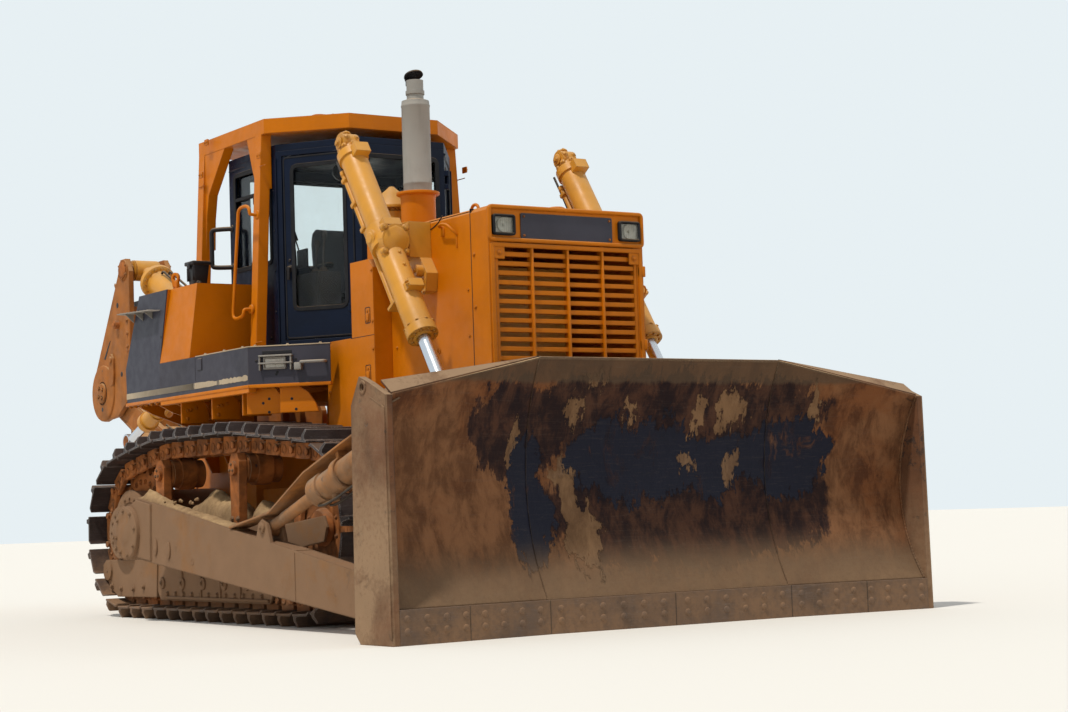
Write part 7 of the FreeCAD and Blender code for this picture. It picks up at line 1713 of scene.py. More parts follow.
bm = bmesh.new()
cab_low, cab_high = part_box("cab_top")
for side in (-1, 1):
    pipe(bm, [at(CAB_CORNER + 0.005, side * (CAB_HALF + 0.002), 3.385), at(CAB_CORNER + 0.005, side * (CAB_HALF + 0.002), 2.02)], 0.007, 2)
    pipe(bm, [at(CAB_REAR + 0.02, side * (CAB_HALF + 0.003), 3.402), at(CAB_CORNER, side * (CAB_HALF + 0.003), 3.402),
              at(CAB_FRONT, side * (CAB_FRONT_HALF + 0.003), 3.402)], 0.010, 2)
    for x in (1.00, 1.20, 1.40, 1.60):
        bolt(bm, at(x, side * CAB_HALF, 2.060), (0, side, 0), 0.010)
    for z in (2.25, 2.55, 2.85, 3.15):
        bolt(bm, at(1.685, side * CAB_HALF, z), (0, side, 0), 0.006)
block(bm, at(CAB_FRONT - 0.004, -0.30, 2.30), at(CAB_FRONT + 0.010, 0.30, 2.62), 0.008)
for y in (-0.26, 0.26):
    for z in (2.34, 2.58):
        bolt(bm, at(CAB_FRONT + 0.010, y, z), (1, 0, 0), 0.009)
block(bm, at(CAB_REAR - 0.012, -0.45, 2.06), at(CAB_REAR + 0.004, 0.45, 2.56), 0.008)
for i in range(9):
    block(bm, at(CAB_REAR - 0.020, -0.38, 2.14 + 0.042 * i), at(CAB_REAR - 0.008, 0.38, 2.155 + 0.042 * i), 0.003,
          segments=1)
for y in (-0.42, 0.42):
    for z in (2.10, 2.52):
        bolt(bm, at(CAB_REAR - 0.012, y, z), (-1, 0, 0), 0.009)
keep("cab_trim", bm, "machine", "navy")

# %% [markdown]
# ## Inside the cab
# Through the glass one sees a cloth seat with a tan headrest, a console with a small screen, two
# lever boxes and a lamp under the roof. The two cushions are real soft goods: each is a rounded slab
# that is remeshed, blown up a little by cloth pressure and smoothed, then given piping at its seam.

# %% Padded seat
def cushion_start(name, rows, half, corner=0.05):
    """A closed pad through a row of (centre, across, thickness) stations, as a coarse rounded cage."""
    bm = bmesh.new()
    rings = []
    for centre, wide, normal, deep in rows:
        ring = []
        for a, b in rounded((-wide, -deep), (wide, deep), min(corner, deep * 0.9), 3):
            ring.append(bm.verts.new(Vector(centre) + Vector((0, a, 0)) + Vector(normal) * b))
        rings.append(ring)
    for one, two in zip(rings, rings[1:]):
        edges = [bm.edges.get((r[i], r[i - 1])) or bm.edges.new((r[i], r[i - 1])) for r in (one, two) for i in range(len(r))]
        bmesh.ops.bridge_loops(bm, edges=edges)
    for ring in (rings[0], rings[-1]):
        bm.faces.new(ring)
    bmesh.ops.recalc_face_normals(bm, faces=bm.faces[:])
    mesh = bpy.data.meshes.new(name)
    bm.to_mesh(mesh)
    bm.free()
    piece = bpy.data.objects.new(name, mesh)
    bpy.context.scene.collection.objects.link(piece)
    return piece


def inflate(piece, cap=0.012, voxel=0.012, pressure=4.0):
    """Swell a pad with cloth pressure, keep each point within a cap and smooth it once."""
    bpy.context.view_layer.objects.active = piece
    remesh = piece.modifiers.new("remesh", "REMESH")
    remesh.mode = "VOXEL"
    remesh.voxel_size = voxel
    bpy.context.view_layer.update()
    mesh = bpy.data.meshes.new_from_object(piece.evaluated_get(bpy.context.evaluated_depsgraph_get()))
    piece.modifiers.clear()
    piece.data = mesh
    before = [v.co.copy() for v in mesh.vertices]
    cloth_step = piece.modifiers.new("cloth", "CLOTH")
    settings = cloth_step.settings
    settings.use_pressure = True
    settings.uniform_pressure_force = pressure
    settings.effector_weights.gravity = 0
    settings.quality = 5
    for frame_number in range(1, 21):
        bpy.context.scene.frame_set(frame_number)
    blown = bpy.data.meshes.new_from_object(piece.evaluated_get(bpy.context.evaluated_depsgraph_get()))
    piece.modifiers.clear()
    bpy.context.scene.frame_set(1)
    for vertex, start in zip(blown.vertices, before):
        moved = vertex.co - start
        if moved.length > cap:
            vertex.co = start + moved.normalized() * cap
    piece.data = blown
    bm = bmesh.new()
    bm.from_mesh(piece.data)
    for _ in range(3):
        bmesh.ops.smooth_vert(bm, verts=bm.verts[:], factor=0.5, use_axis_x=True, use_axis_y=True, use_axis_z=True)
    bmesh.ops.recalc_face_normals(bm, faces=bm.faces[:])
    bm.to_mesh(piece.data)
    bm.free()
    piece.data.polygons.foreach_set("use_smooth", [True] * len(piece.data.polygons))
    finer = piece.modifiers.new("finer", "SUBSURF")
    finer.levels = 1
    finer.render_levels = 1


seat_low, seat_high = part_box("seat_cushion")
back_low, back_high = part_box("seat_back")
seat_mid = (seat_low + seat_high) / 2
deep = (seat_high.z - seat_low.z) / 2
long = (seat_high.x - seat_low.x) / 2
wide = (seat_high.y - seat_low.y) / 2
rows = []
for share, across, thick, lift in ((-1.0, 0.86, 0.55, -0.004), (-0.92, 0.94, 0.80, 0.0), (-0.45, 0.96, 0.86, -0.004), (0.15, 0.96, 0.84, -0.006),
                                   (0.62, 0.95, 0.88, 0.002), (0.90, 0.92, 0.82, 0.0), (0.98, 0.84, 0.55, -0.006)):
    rows.append((Vector((seat_mid.x + share * (long - 0.012), 0, seat_mid.z + lift)), wide * across - 0.008, (0, 0, 1), deep * thick - 0.006))
cushion = cushion_start("seat_pad", rows, wide)
inflate(cushion)
cushion.data.materials.append(finish["seat"])
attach(cushion, "machine")
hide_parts("seat_cushion")
print("seat pad with", len(cushion.data.polygons), "faces")

lean = Vector((-0.100, 0, back_high.z - back_low.z)).normalized()
out = Vector((lean.z, 0, -lean.x))
foot = Vector((back_high.x - 0.075, 0, back_low.z))
tall = back_high.z - back_low.z
rows = []
for share, across, thick, push in ((0.02, 0.80, 0.62, 0.0), (0.08, 0.92, 0.90, 0.0), (0.30, 0.97, 1.02, 0.004), (0.52, 0.95, 0.86, -0.002),
                                   (0.76, 0.90, 0.78, -0.006), (0.92, 0.80, 0.66, -0.010), (0.985, 0.66, 0.42, -0.012)):
    rows.append((foot + lean * (tall * share) + out * (push - 0.030 * share), wide * across * 0.94, tuple(out), 0.040 * thick))
backrest = cushion_start("seat_back_pad", rows, wide)
inflate(backrest)
backrest.data.materials.append(finish["seat"])
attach(backrest, "machine")
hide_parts("seat_back")
print("backrest with", len(backrest.data.polygons), "faces")

# %% Piping, headrest and armrests
bm = bmesh.new()
for z in (seat_mid.z + deep * 0.62,):
    points = [Vector((seat_mid.x + a, b, z)) for a, b in rounded((-long * 0.93, -wide * 0.93), (long * 0.93, wide * 0.93), 0.05, 3)]
    pipe(bm, points + [points[0]], 0.004, 2)
for y in (-0.11, 0.0, 0.11):
    pipe(bm, [foot + lean * (tall * s) + out * (0.030 - 0.030 * s) + Vector((0, y, 0)) for s in (0.14, 0.35, 0.60, 0.82)], 0.003, 2)
for side in (-1, 1):
    arm = Vector((seat_mid.x - 0.02, side * (wide + 0.015), seat_high.z + 0.205))
    block(bm, arm + Vector((-0.16, -0.030, -0.020)), arm + Vector((0.13, 0.030, 0.020)), 0.014, segments=3)
    bar(bm, arm + Vector((-0.12, 0, -0.02)), arm + Vector((-0.15, 0, -0.17)), 0.012, sides=12)
block(bm, (seat_low.x + 0.06, -0.20, CAB_FLOOR + 0.298), (seat_high.x - 0.06, 0.20, CAB_FLOOR + 0.304), 0.002)
keep("seat_trim", bm, "machine", "rubber")

bm = bmesh.new()
head = foot + lean * (tall * 0.80) + out * (-0.055)
turn = frame_at(head, out, (0, 0, 1))
for layer, grow in ((0.0, 0.0),):
    block(bm, (-0.085, -0.130, -0.045), (0.085, 0.130, 0.045), 0.034, matrix=turn, segments=4)
for y in (-0.06, 0.06):
    bar(bm, head + Vector((0, y, -0.06)), head + Vector((0.006, y, -0.16)), 0.007, sides=12)
keep("headrest", bm, "machine", "leather")
# %% [markdown]
# ## Rollover canopy
# The canopy is a welded box frame, so it gets beads at its joints and small bolted cleats. A long
# orange tube with two hooked ends hangs on the front post as a hand rail. The roof is the most visible
# face from above: three pressed ribs and a row of bolts stand there, and two lamps hang at its rear edge.

# %% Canopy rails, cleats and roof
ROOF_TOP, ROOF_REAR, ROOF_FRONT = 3.680, 0.586, 2.189
ROOF_SIDE, ROOF_FRONT_HALF = 0.842, 0.378
bm = bmesh.new()
RAIL = ((1.744, -0.925, 2.957), (1.744, -0.960, 2.957), (1.744, -0.985, 2.960), (1.742, -0.985, 3.000), (1.700, -0.985, 3.028),
        (1.600, -0.985, 3.028), (1.556, -0.985, 3.005), (1.550, -0.985, 2.950), (1.540, -0.985, 2.890), (1.450, -0.985, 2.360),
        (1.436, -0.985, 2.290), (1.432, -0.985, 2.236), (1.465, -0.985, 2.212), (1.560, -0.985, 2.216), (1.606, -0.985, 2.232),
        (1.612, -0.985, 2.268), (1.612, -0.960, 2.273), (1.612, -0.925, 2.273))
pipe(bm, [at(*p) for p in RAIL], 0.0125, 4)
for x, z in ((1.744, 2.957), (1.612, 2.273)):
    turned(bm, at(x, -0.925, z), (0, -1, 0), [(0.016, 0.010), (0.026, 0.007), (0.034, 0.005), (0.036, -0.004)], 22)
for x, z in ((1.732, 3.403), (0.723, 3.408), (0.821, 3.648)):
    y = -0.9275 + (z - 1.95) * 0.084 / 1.73 * 0.55
    turn = wall(at(x, y, z), (0, -1, 0))
    panel_on(bm, turn, (-0.032, -0.024), (0.032, 0.024), 0.008, 0.006)
    for a, b in ((-0.018, 0.0), (0.018, 0.0)):
        bolt(bm, turn @ Vector((a, b, 0.008)), (0, -1, 0), 0.0075)
for x in (0.66, 1.72):
    for z in (3.330, 2.02):
        y = -0.9275 + (z - 1.95) * 0.084 / 1.73
        bead(bm, at(x - 0.05, y, z), at(x + 0.06, y, z), 0.0045)
both_sides(bm)
keep("canopy_rails", bm, "machine", "orange")

bm = bmesh.new()
for low, high in (((0.70, -0.56), (2.02, -0.30)), ((0.70, 0.30), (2.02, 0.56)), ((0.70, -0.13), (2.02, 0.13))):
    outline = [at(x, y, ROOF_TOP - 0.001) for x, y in rounded((low[0], low[1]), (high[0], high[1]), 0.05)]
    plate(bm, outline, (0, 0, 0.012), 0.005)
edge_line = [(ROOF_REAR + 0.03, ROOF_SIDE - 0.03), (1.62, ROOF_SIDE - 0.03), (ROOF_FRONT - 0.04, ROOF_FRONT_HALF - 0.01)]
for side in (-1, 1):
    for (x0, y0), (x1, y1) in zip(edge_line, edge_line[1:]):
        count = round(math.hypot(x1 - x0, y1 - y0) / 0.20)
        for i in range(count):
            share = (i + 0.5) / count
            bolt(bm, at(x0 + (x1 - x0) * share, side * (y0 + (y1 - y0) * share), ROOF_TOP), (0, 0, 1), 0.010)
keep("canopy_roof", bm, "machine", "orange")

bm = bmesh.new()
for y in (-0.60, 0.60):
    lamp_at = at(ROOF_REAR - 0.002, y, 3.625)
    block(bm, lamp_at + Vector((-0.058, -0.070, -0.045)), lamp_at + Vector((0.0, 0.070, 0.045)), 0.010)
    block(bm, lamp_at + Vector((-0.030, -0.012, 0.040)), lamp_at + Vector((-0.010, 0.012, 0.058)), 0.003)
    for way in (-1, 1):
        turned(bm, lamp_at + Vector((-0.030, way * 0.070, 0)), (0, way, 0), [(0.0, 0.014), (0.010, 0.013), (0.014, 0.0), (0.014, -0.003)], 16)
keep("rear_lamp_bodies", bm, "machine", "black")
bm = bmesh.new()
for y in (-0.60, 0.60):
    face = wall(at(ROOF_REAR - 0.060, y, 3.625), (-1, 0, 0))
    panel_on(bm, face, (-0.060, -0.035), (0.060, 0.035), 0.004, 0.010)
    for i in range(-3, 4):
        block(bm, (i * 0.015 - 0.003, -0.030, 0.003), (i * 0.015 + 0.003, 0.030, 0.007), 0.001, matrix=face, segments=1)
keep("rear_lamp_lenses", bm, "machine", "lamp")
print("canopy: hand rails, cleats, roof ribs, rings and rear lamps")

# %% [markdown]
# ### Inside the cab
# Through the doors one sees the dash with its blank dials, two control levers in rubber boots, three
# pedals, a small lamp under the roof with its wire ring, and a screen beside the seat that stays dark.
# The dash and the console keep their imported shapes; what a hand touches is put on them.

# %% Dash, levers, pedals and roof lamp
fit_low, fit_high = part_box("cab_fittings")
bm = bmesh.new()
dials = bmesh.new()
dash_rear = wall((fit_high.x - 0.300, 0, 0), (-1, 0, 0))
DASH_X = fit_high.x + AXLE_BACK
for y in (-0.24, -0.08, 0.08, 0.24):
    centre = at(DASH_X - 0.196, y, 2.560)
    lean_out = Vector((-0.85, 0, 0.52)).normalized()
    turned(bm, centre, lean_out, [(0.037, 0.004), (0.040, 0.010), (0.046, 0.010), (0.049, 0.004), (0.050, -0.010)], 28)
    turned(dials, centre, lean_out, [(0.0, 0.005), (0.037, 0.005), (0.038, -0.004)], 28)
    needle = frame_at(centre + lean_out * 0.006, lean_out)
    block(dials, (-0.002, -0.004, 0.0), (0.002, 0.028, 0.002), 0, matrix=needle @ Matrix.Rotation(y * 6, 4, "Z"))
for x, y, high in ((1.62, -0.385, 0.20), (1.74, -0.385, 0.26), (1.62, 0.385, 0.22)):
    foot = at(x, y, 2.545)
    for i in range(5):
        radius = 0.046 - 0.007 * i
        turned(bm, foot + Vector((0, 0, 0.011 * i)), (0, 0, 1), [(0.0, 0.010), (radius * 0.86, 0.010), (radius, 0.005), (radius * 0.86, 0.0), (0.0, 0.0)], 18)
    pipe(bm, [foot + Vector((0, 0, 0.04)), foot + Vector((0.01, 0, high * 0.6)), foot + Vector((0.03, 0, high))], 0.009, 3)
    turned(bm, foot + Vector((0.028, 0, high - 0.01)), (0.1, 0, 1), [(0.0, 0.070), (0.014, 0.068), (0.022, 0.050), (0.023, 0.030), (0.012, 0.0), (0.0, 0.0)], 20)
for y in (-0.16, 0.0, 0.16):
    tread = frame_at(at(2.020, y, 2.090), (-0.75, 0, 0.66), (0, 0, 1))
    block(bm, (-0.055, -0.040, -0.006), (0.055, 0.040, 0.006), 0.005, matrix=tread)
    for a in (-0.036, -0.012, 0.012, 0.036):
        block(bm, (a - 0.005, -0.034, 0.005), (a + 0.005, 0.034, 0.011), 0.002, matrix=tread, segments=1)
    pipe(bm, [at(2.020, y, 2.085), at(2.060, y, 2.04), at(2.085, y, 1.995)], 0.011, 3)
keep("dash_and_levers", bm, "machine", "plastic")
keep("dial_faces", dials, "machine", "grey")

bm = bmesh.new()
lamp_spot = at(1.930, -0.330, 3.395)
block(bm, lamp_spot + Vector((-0.06, -0.035, -0.005)), lamp_spot + Vector((0.06, 0.035, 0.045)), 0.006)
pipe(bm, [lamp_spot, lamp_spot + Vector((0, 0, -0.05)), lamp_spot + Vector((0.01, 0, -0.09))], 0.010, 3)
turned(bm, lamp_spot + Vector((0.03, 0, -0.115)), (-1, 0.1, -0.15), [(0.0, 0.070), (0.030, 0.066), (0.056, 0.040), (0.066, 0.010), (0.068, 0.0), (0.060, -0.003), (0.0, -0.006)], 32)
circle = [math.pi / 12 * i for i in range(25)]
pipe(bm, [lamp_spot + Vector((0.03, 0.11 + math.sin(t) * 0.050, -0.10 + math.cos(t) * 0.050)) for t in circle], 0.004, 2)
block(bm, at(1.50, -0.480, 2.60), at(1.66, -0.462, 2.74), 0.006)
keep("roof_lamp", bm, "machine", "black")
bm = bmesh.new()
panel_on(bm, wall(at(0, -0.462, 0), (0, 1, 0)), (-(1.645 - AXLE_BACK) , 2.615), (-(1.515 - AXLE_BACK), 2.725), 0.003, 0.006)
keep("cab_screen", bm, "machine", "slate")
print("cab inside: dials, levers, pedals, lamp and screen")
# %% [markdown]
# ## Fenders and tanks
# Below the cab the slate fender runs along the track with a cream stripe near its lower edge, worn
# through towards the front, and an orange lip under it. Its front face holds a lamp behind a small
# guard and a grab bar. On the tanks sit a lifting eye, a step plate, a black case and two filler caps.
# The stripe is a thin strip whose paint is chipped by its own finish; its torn upper edge is a zigzag
# outline with a fixed seed.

# %% Stripe, lip and side fittings
FENDER_SIDE, FENDER_REAR, FENDER_FRONT = 1.258, 0.030, 2.220
FENDER_LOW, FENDER_TOP, FENDER_NOSE = 1.650, 1.937, 2.650
STRIPE = (1.700, 1.745)
FRONT_LONG = 0.605
chance = random.Random(12)
fender_front = wall(at(FENDER_FRONT, -FENDER_SIDE, 0), (1, -1, 0))

bm = bmesh.new()
rows = [0.050] + [1.300 + (2.212 - 1.300) * i / 30 for i in range(31)]
worn = [0.0 if i < 6 else chance.uniform(0.0, 0.014) * min(1.0, (i - 5) / 8) for i in range(32)]
for i in range(31):
    pair = ((rows[i], worn[i]), (rows[i + 1], worn[i + 1]))
    face = [(x, STRIPE[0] + loss * 0.4) for x, loss in pair] + [(x, STRIPE[1] - loss) for x, loss in reversed(pair)]
    plate(bm, [at(x, -FENDER_SIDE - 0.0002, z) for x, z in face], (0, -0.0014, 0), 0)
both_sides(bm)
keep("side_stripe", bm, "machine", "stripe")

bm = bmesh.new()
block(bm, at(FENDER_REAR, -FENDER_SIDE - 0.004, FENDER_LOW - 0.004), at(FENDER_FRONT + 0.006, -FENDER_SIDE + 0.030, FENDER_LOW + 0.022), 0.004)
block(bm, (0.004, FENDER_LOW - 0.004, -0.030), (FRONT_LONG, FENDER_LOW + 0.022, 0.005), 0.004, matrix=fender_front)
for x in [0.16 + 0.17 * i for i in range(5)]:
    bolt(bm, at(x, -FENDER_SIDE + 0.016, FENDER_LOW - 0.004), (0, 0, -1), 0.011)
for low, outline in ((-0.120, ((-0.05, 1.650), (0.165, 1.650), (0.200, 1.600), (0.210, 1.530), (0.200, 1.466), (-0.05, 1.466))),
                     (-0.060, ((0.215, 1.650), (0.360, 1.650), (0.425, 1.605), (0.475, 1.530), (0.497, 1.466), (0.215, 1.466)))):
    plate(bm, [fender_front @ Vector((a, b, low)) for a, b in outline], (fender_front.to_3x3() @ Vector((0, 0, 1))) * 0.020, 0.003)
for x in (0.990, 1.530, 2.040):
    arch = [(-1.225, 1.652), (-1.080, 1.652), (-1.035, 1.628), (-1.008, 1.580), (-1.000, 1.520), (-1.000, 1.462), (-1.225, 1.462)]
    plate(bm, [at(x, y, z) for y, z in arch], (0.016, 0, 0), 0.003)
    for y, z in ((-1.175, 1.560), (-1.150, 1.566), (-1.105, 1.580), (-1.175, 1.500)):
        bolt(bm, at(x + 0.016, y, z), (1, 0, 0), 0.009)
for i in range(6):
    bolt(bm, at(0.072 + 0.104 * i, -1.235, 1.640), (0, 0, -1), 0.013)
both_sides(bm)
keep("fender_lip", bm, "machine", "orange")

bm = bmesh.new()
block(bm, (0.0, FENDER_TOP - 0.002, -0.030), (FRONT_LONG, FENDER_TOP + 0.006, 0.004), 0.002, matrix=fender_front)
block(bm, at(1.345, -FENDER_SIDE - 0.002, FENDER_TOP - 0.002), at(FENDER_FRONT, -FENDER_SIDE + 0.022, FENDER_TOP + 0.006), 0.002)
for x in (1.50, 1.82, 2.12):
    bolt(bm, at(x, -FENDER_SIDE + 0.010, FENDER_TOP + 0.006), (0, 0, 1), 0.010)
for a in (0.05, 0.29, 0.53):
    bolt(bm, fender_front @ Vector((a, FENDER_TOP + 0.006, -0.014)), (0, 0, 1), 0.010)
both_sides(bm)
keep("fender_edge", bm, "machine", "stripe")
bm = bmesh.new()
for x in [1.40 + 0.10 * i for i in range(8)]:
    for y in (-1.20, -1.10, -1.00):
        if x < 1.60 or y < -1.02:
            turn = Matrix.Translation(at(x, y, FENDER_TOP)) @ Matrix.Rotation(math.radians(45 if (round(x * 10) + round(y * 10)) % 2 else -45), 4, "Z")
            block(bm, (-0.026, -0.006, -0.001), (0.026, 0.006, 0.004), 0.002, matrix=turn, segments=1)
panel_on(bm, wall((-AXLE_BACK, -FENDER_SIDE, 0), (0, -1, 0)), (1.380, 1.832), (1.455, 1.920), 0.006, 0.010)
both_sides(bm)
keep("fender_trim", bm, "machine", "slate")

# Black seam lines on the fender side, and painted shade: a black slot on the lamp guard, black discs for holes and a
# dark strip beside the latch panel.
bm = bmesh.new()
block(bm, at(1.336, -FENDER_SIDE - 0.0012, 1.760), at(1.340, -FENDER_SIDE + 0.01, 1.934), 0)
# Painted shadow: a dark strip down the right side of the raised latch panel.
block(bm, at(1.457, -FENDER_SIDE - 0.0016, 1.828), at(1.463, -FENDER_SIDE + 0.01, 1.922), 0)
# Painted shade: a black sheet for the lamp guard's slot, which is not cut.
block(bm, (0.105, 1.866, -0.01), (0.325, 1.906, 0.0015), 0.003, matrix=fender_front)
# Painted shade: black discs for holes in the fender side, the fender front and its plates, which are not cut.
turned(bm, at(0.729, -FENDER_SIDE - 0.0005, 2.138), (0, -1, 0), [(0.0, 0.0012), (0.013, 0.0012), (0.014, -0.001)], 18)
for low, spots in ((0.0, ((0.062, 1.835), (0.352, 1.835), (0.215, 1.752), (0.207, 1.738))),
                   (-0.100, ((0.072, 1.543), (0.117, 1.572), (0.115, 1.478))), (-0.040, ((0.303, 1.563), (0.333, 1.489)))):
    for a, b in spots:
        turned(bm, fender_front @ Vector((a, b, low)), (1, -1, 0), [(0.0, 0.0012), (0.010, 0.0012), (0.011, -0.001)], 14)
for y in (-1.205, -0.935):
    block(bm, at(0.050 - 0.002, y - 0.002, 1.70), at(0.060, y + 0.002, 2.05), 0)
both_sides(bm)
keep("fender_seams_and_painted_shade", bm, "machine", "black")
print("fenders: stripe, lip, edge strips, tread and gaps")

# %% [markdown]
# ### Lamp, grab bar and guards on the fender's front
# The lamp is a bright housing with two rows of lens behind a horizontal bar; the grab bar beside it is a
# flat tube on a block. Both stay within a hand's depth of the face.

# %% Fender lamp and grab bar
bm = bmesh.new()
for low, high in (((0.088, 1.861), (0.334, 1.873)), ((0.085, 1.809), (0.333, 1.820))):
    block(bm, (*low, -0.002), (*high, 0.040), 0.003, matrix=fender_front)
for a in (0.094, 0.322):
    block(bm, (a - 0.005, 1.765, -0.002), (a + 0.005, 1.872, 0.034), 0.003, matrix=fender_front)
frame_on(bm, fender_front, (0.118, 1.772), (0.283, 1.858), 0.011, 0.022, 0.008)
both_sides(bm)
keep("fender_lamp_frames", bm, "machine", "grey")
bm = bmesh.new()
for low, high in ((1.784, 1.810), (1.820, 1.846)):
    panel_on(bm, fender_front, (0.130, low), (0.271, high), 0.014, 0.006)
    for i in range(9):
        a = 0.140 + 0.0155 * i
        block(bm, (a - 0.004, low + 0.003, 0.013), (a + 0.004, high - 0.003, 0.017), 0.001, matrix=fender_front, segments=1)
both_sides(bm)
keep("fender_lamp_lenses", bm, "machine", "reflector")
bm = bmesh.new()
pipe(bm, [fender_front @ Vector(p) for p in ((0.571, 1.813, 0.0), (0.571, 1.813, 0.045), (0.560, 1.813, 0.055), (0.410, 1.813, 0.055),
                                             (0.400, 1.813, 0.045), (0.400, 1.800, 0.0))], 0.011, 3)
block(bm, (0.350, 1.760, -0.002), (0.403, 1.811, 0.045), 0.005, matrix=fender_front)
both_sides(bm)
keep("fender_grab_bars", bm, "machine", "grey")

# %% [markdown]
# ### On the tanks
# The eye is a ring plate, the step a thin folded plate with a gusset, the case a tapered box with a lid,
# a latch and a knob. Filler caps are turned, ribbed round the rim and crossed by a bar, as on any tank.

# %% Tank fittings
EYE = at(0.680, -1.100, 2.600)
bm = bmesh.new()
for sign in (-1, 1):
    ring = frame_at(EYE * 1.0 if sign < 0 else Vector((EYE.x, -EYE.y, EYE.z)), (0.35, -1, 0), (0, 0, 1))
    circle = [math.pi / 10 * i for i in range(20)]
    rim(bm, ring, [(math.cos(t) * 0.043 - (0.03 if math.cos(t) < -0.7 else 0), math.sin(t) * 0.043) for t in circle],
        [(math.cos(t) * 0.020, math.sin(t) * 0.020) for t in circle], 0.016, 0.003)
    foot = Vector((EYE.x, sign * 1.100, 2.49))
    block(bm, foot + Vector((-0.035, -0.014, -0.004)), foot + Vector((0.035, 0.014, 0.085)), 0.005)
keep("tank_lifting_eyes", bm, "machine", "orange")

bm = bmesh.new()
step = [(0.060, -1.262), (0.100, -1.352), (0.700, -1.342), (0.740, -1.262)]
plate(bm, [at(x, y, 2.352 - 0.04 * (x - 0.4)) for x, y in step], (0, 0, 0.007), 0.002)
for x in (0.22, 0.40, 0.58):
    plate(bm, [at(x, -1.259, 2.352 - 0.04 * (x - 0.4)), at(x, -1.335, 2.352 - 0.04 * (x - 0.4)), at(x, -1.259, 2.29)], (0.006, 0, 0), 0.001)
for i in range(9):
    x = 0.13 + 0.065 * i
    block(bm, at(x, -1.340, 2.358 - 0.04 * (x - 0.4)), at(x + 0.012, -1.275, 2.364 - 0.04 * (x - 0.4)), 0.002)
both_sides(bm)
keep("tank_steps", bm, "machine", "grey")

bm = bmesh.new()
CASE = (0.880, 1.020, -1.105, -0.975)
base = [at(CASE[0] + 0.018, CASE[2] + 0.018, 2.4895), at(CASE[1] - 0.018, CASE[2] + 0.018, 2.4895),
        at(CASE[1] - 0.018, CASE[3] - 0.018, 2.4895), at(CASE[0] + 0.018, CASE[3] - 0.018, 2.4895)]
low_ring = [bm.verts.new(p) for p in base]
top_ring = [bm.verts.new(at(x, y, 2.672)) for x, y in ((CASE[0], CASE[2]), (CASE[1], CASE[2]), (CASE[1], CASE[3]), (CASE[0], CASE[3]))]
bm.faces.new(low_ring[::-1])
bm.faces.new(top_ring)
for i in range(4):
    bm.faces.new((low_ring[i - 1], low_ring[i], top_ring[i], top_ring[i - 1]))
soften(bm, low_ring + top_ring, 0.008, 2)
block(bm, at(CASE[0] - 0.012, CASE[2] - 0.012, 2.668), at(CASE[1] + 0.012, CASE[3] + 0.012, 2.698), 0.008)
block(bm, at(0.930, CASE[2] - 0.018, 2.640), at(0.975, CASE[2] - 0.004, 2.688), 0.004)
turned(bm, at(CASE[1] - 0.010, -1.060, 2.525), (1, 0, 0), [(0.0, 0.034), (0.010, 0.033), (0.012, 0.012), (0.022, 0.008), (0.024, -0.01)], 20)
for x in (0.895, 0.990):
    block(bm, at(x, CASE[2] - 0.004, 2.55), at(x + 0.014, CASE[2] + 0.012, 2.65), 0.002)
keep("black_case", bm, "machine", "black")

bm = bmesh.new()
for x, y, size in ((0.950, 1.080, 0.062), (0.480, -0.300, 0.075), (0.480, 0.450, 0.050)):
    turned(bm, at(x, y, 2.4895), (0, 0, 1), [(0.0, 0.040), (size * 0.70, 0.039), (size * 0.86, 0.034), (size, 0.028), (size * 1.02, 0.012),
                                           (size * 1.18, 0.008), (size * 1.24, -0.002)], 36)
    for i in range(12):
        angle = math.pi / 6 * i
        block(bm, (size * 0.96, -0.005, 0.012), (size * 1.06, 0.005, 0.030), 0.002, segments=1,
              matrix=Matrix.Translation(at(x, y, 2.4895)) @ Matrix.Rotation(angle, 4, "Z"))
    block(bm, at(x - size * 0.5, y - 0.009, 2.526), at(x + size * 0.5, y + 0.009, 2.540), 0.003)
keep("filler_caps", bm, "machine", "black")
print("tanks: eyes, steps, case and caps")
# %% [markdown]
# ## Ripper
# The ripper stands raised behind the tanks. Its carrier has a large round cover plate over the lower
# pivot, a slanted slot, a latch link beside it and a small tab near the top; the top cylinder ends in a
# bolted flange. The arms carry beads, pin covers and pipes, and the shank a pinned tooth point and a
# shin guard. Every piece rides on the body it is bolted to, so the parallelogram can move freely.

# %% Carrier, shank and pins
RIP_PIVOT = Vector((-0.800, 0, 0.950))
RIP_BEAM = Vector((-2.980, 0, 1.950))
RIP_TOP = Vector((-2.470, 0, 3.050))
RIP_OUT = 0.210
rip_anchor = RIP_PIVOT + RIP_TOP - RIP_BEAM
arm_way = (RIP_BEAM - RIP_PIVOT).normalized()
arm_rise = Vector((arm_way.z, 0, -arm_way.x))
top_way = (rip_anchor - RIP_TOP).normalized()


def rip(place, y, along=0.0, rise=0.0, way=None):
    """A place near a ripper pin, moved along a link and across it, at a distance from the middle."""
    way = arm_way if way is None else way
    up = Vector((-way.z, 0, way.x)) if way.x > 0 else Vector((way.z, 0, -way.x))
    spot = place + way * along + up * rise
    return at(spot.x, y, spot.z)


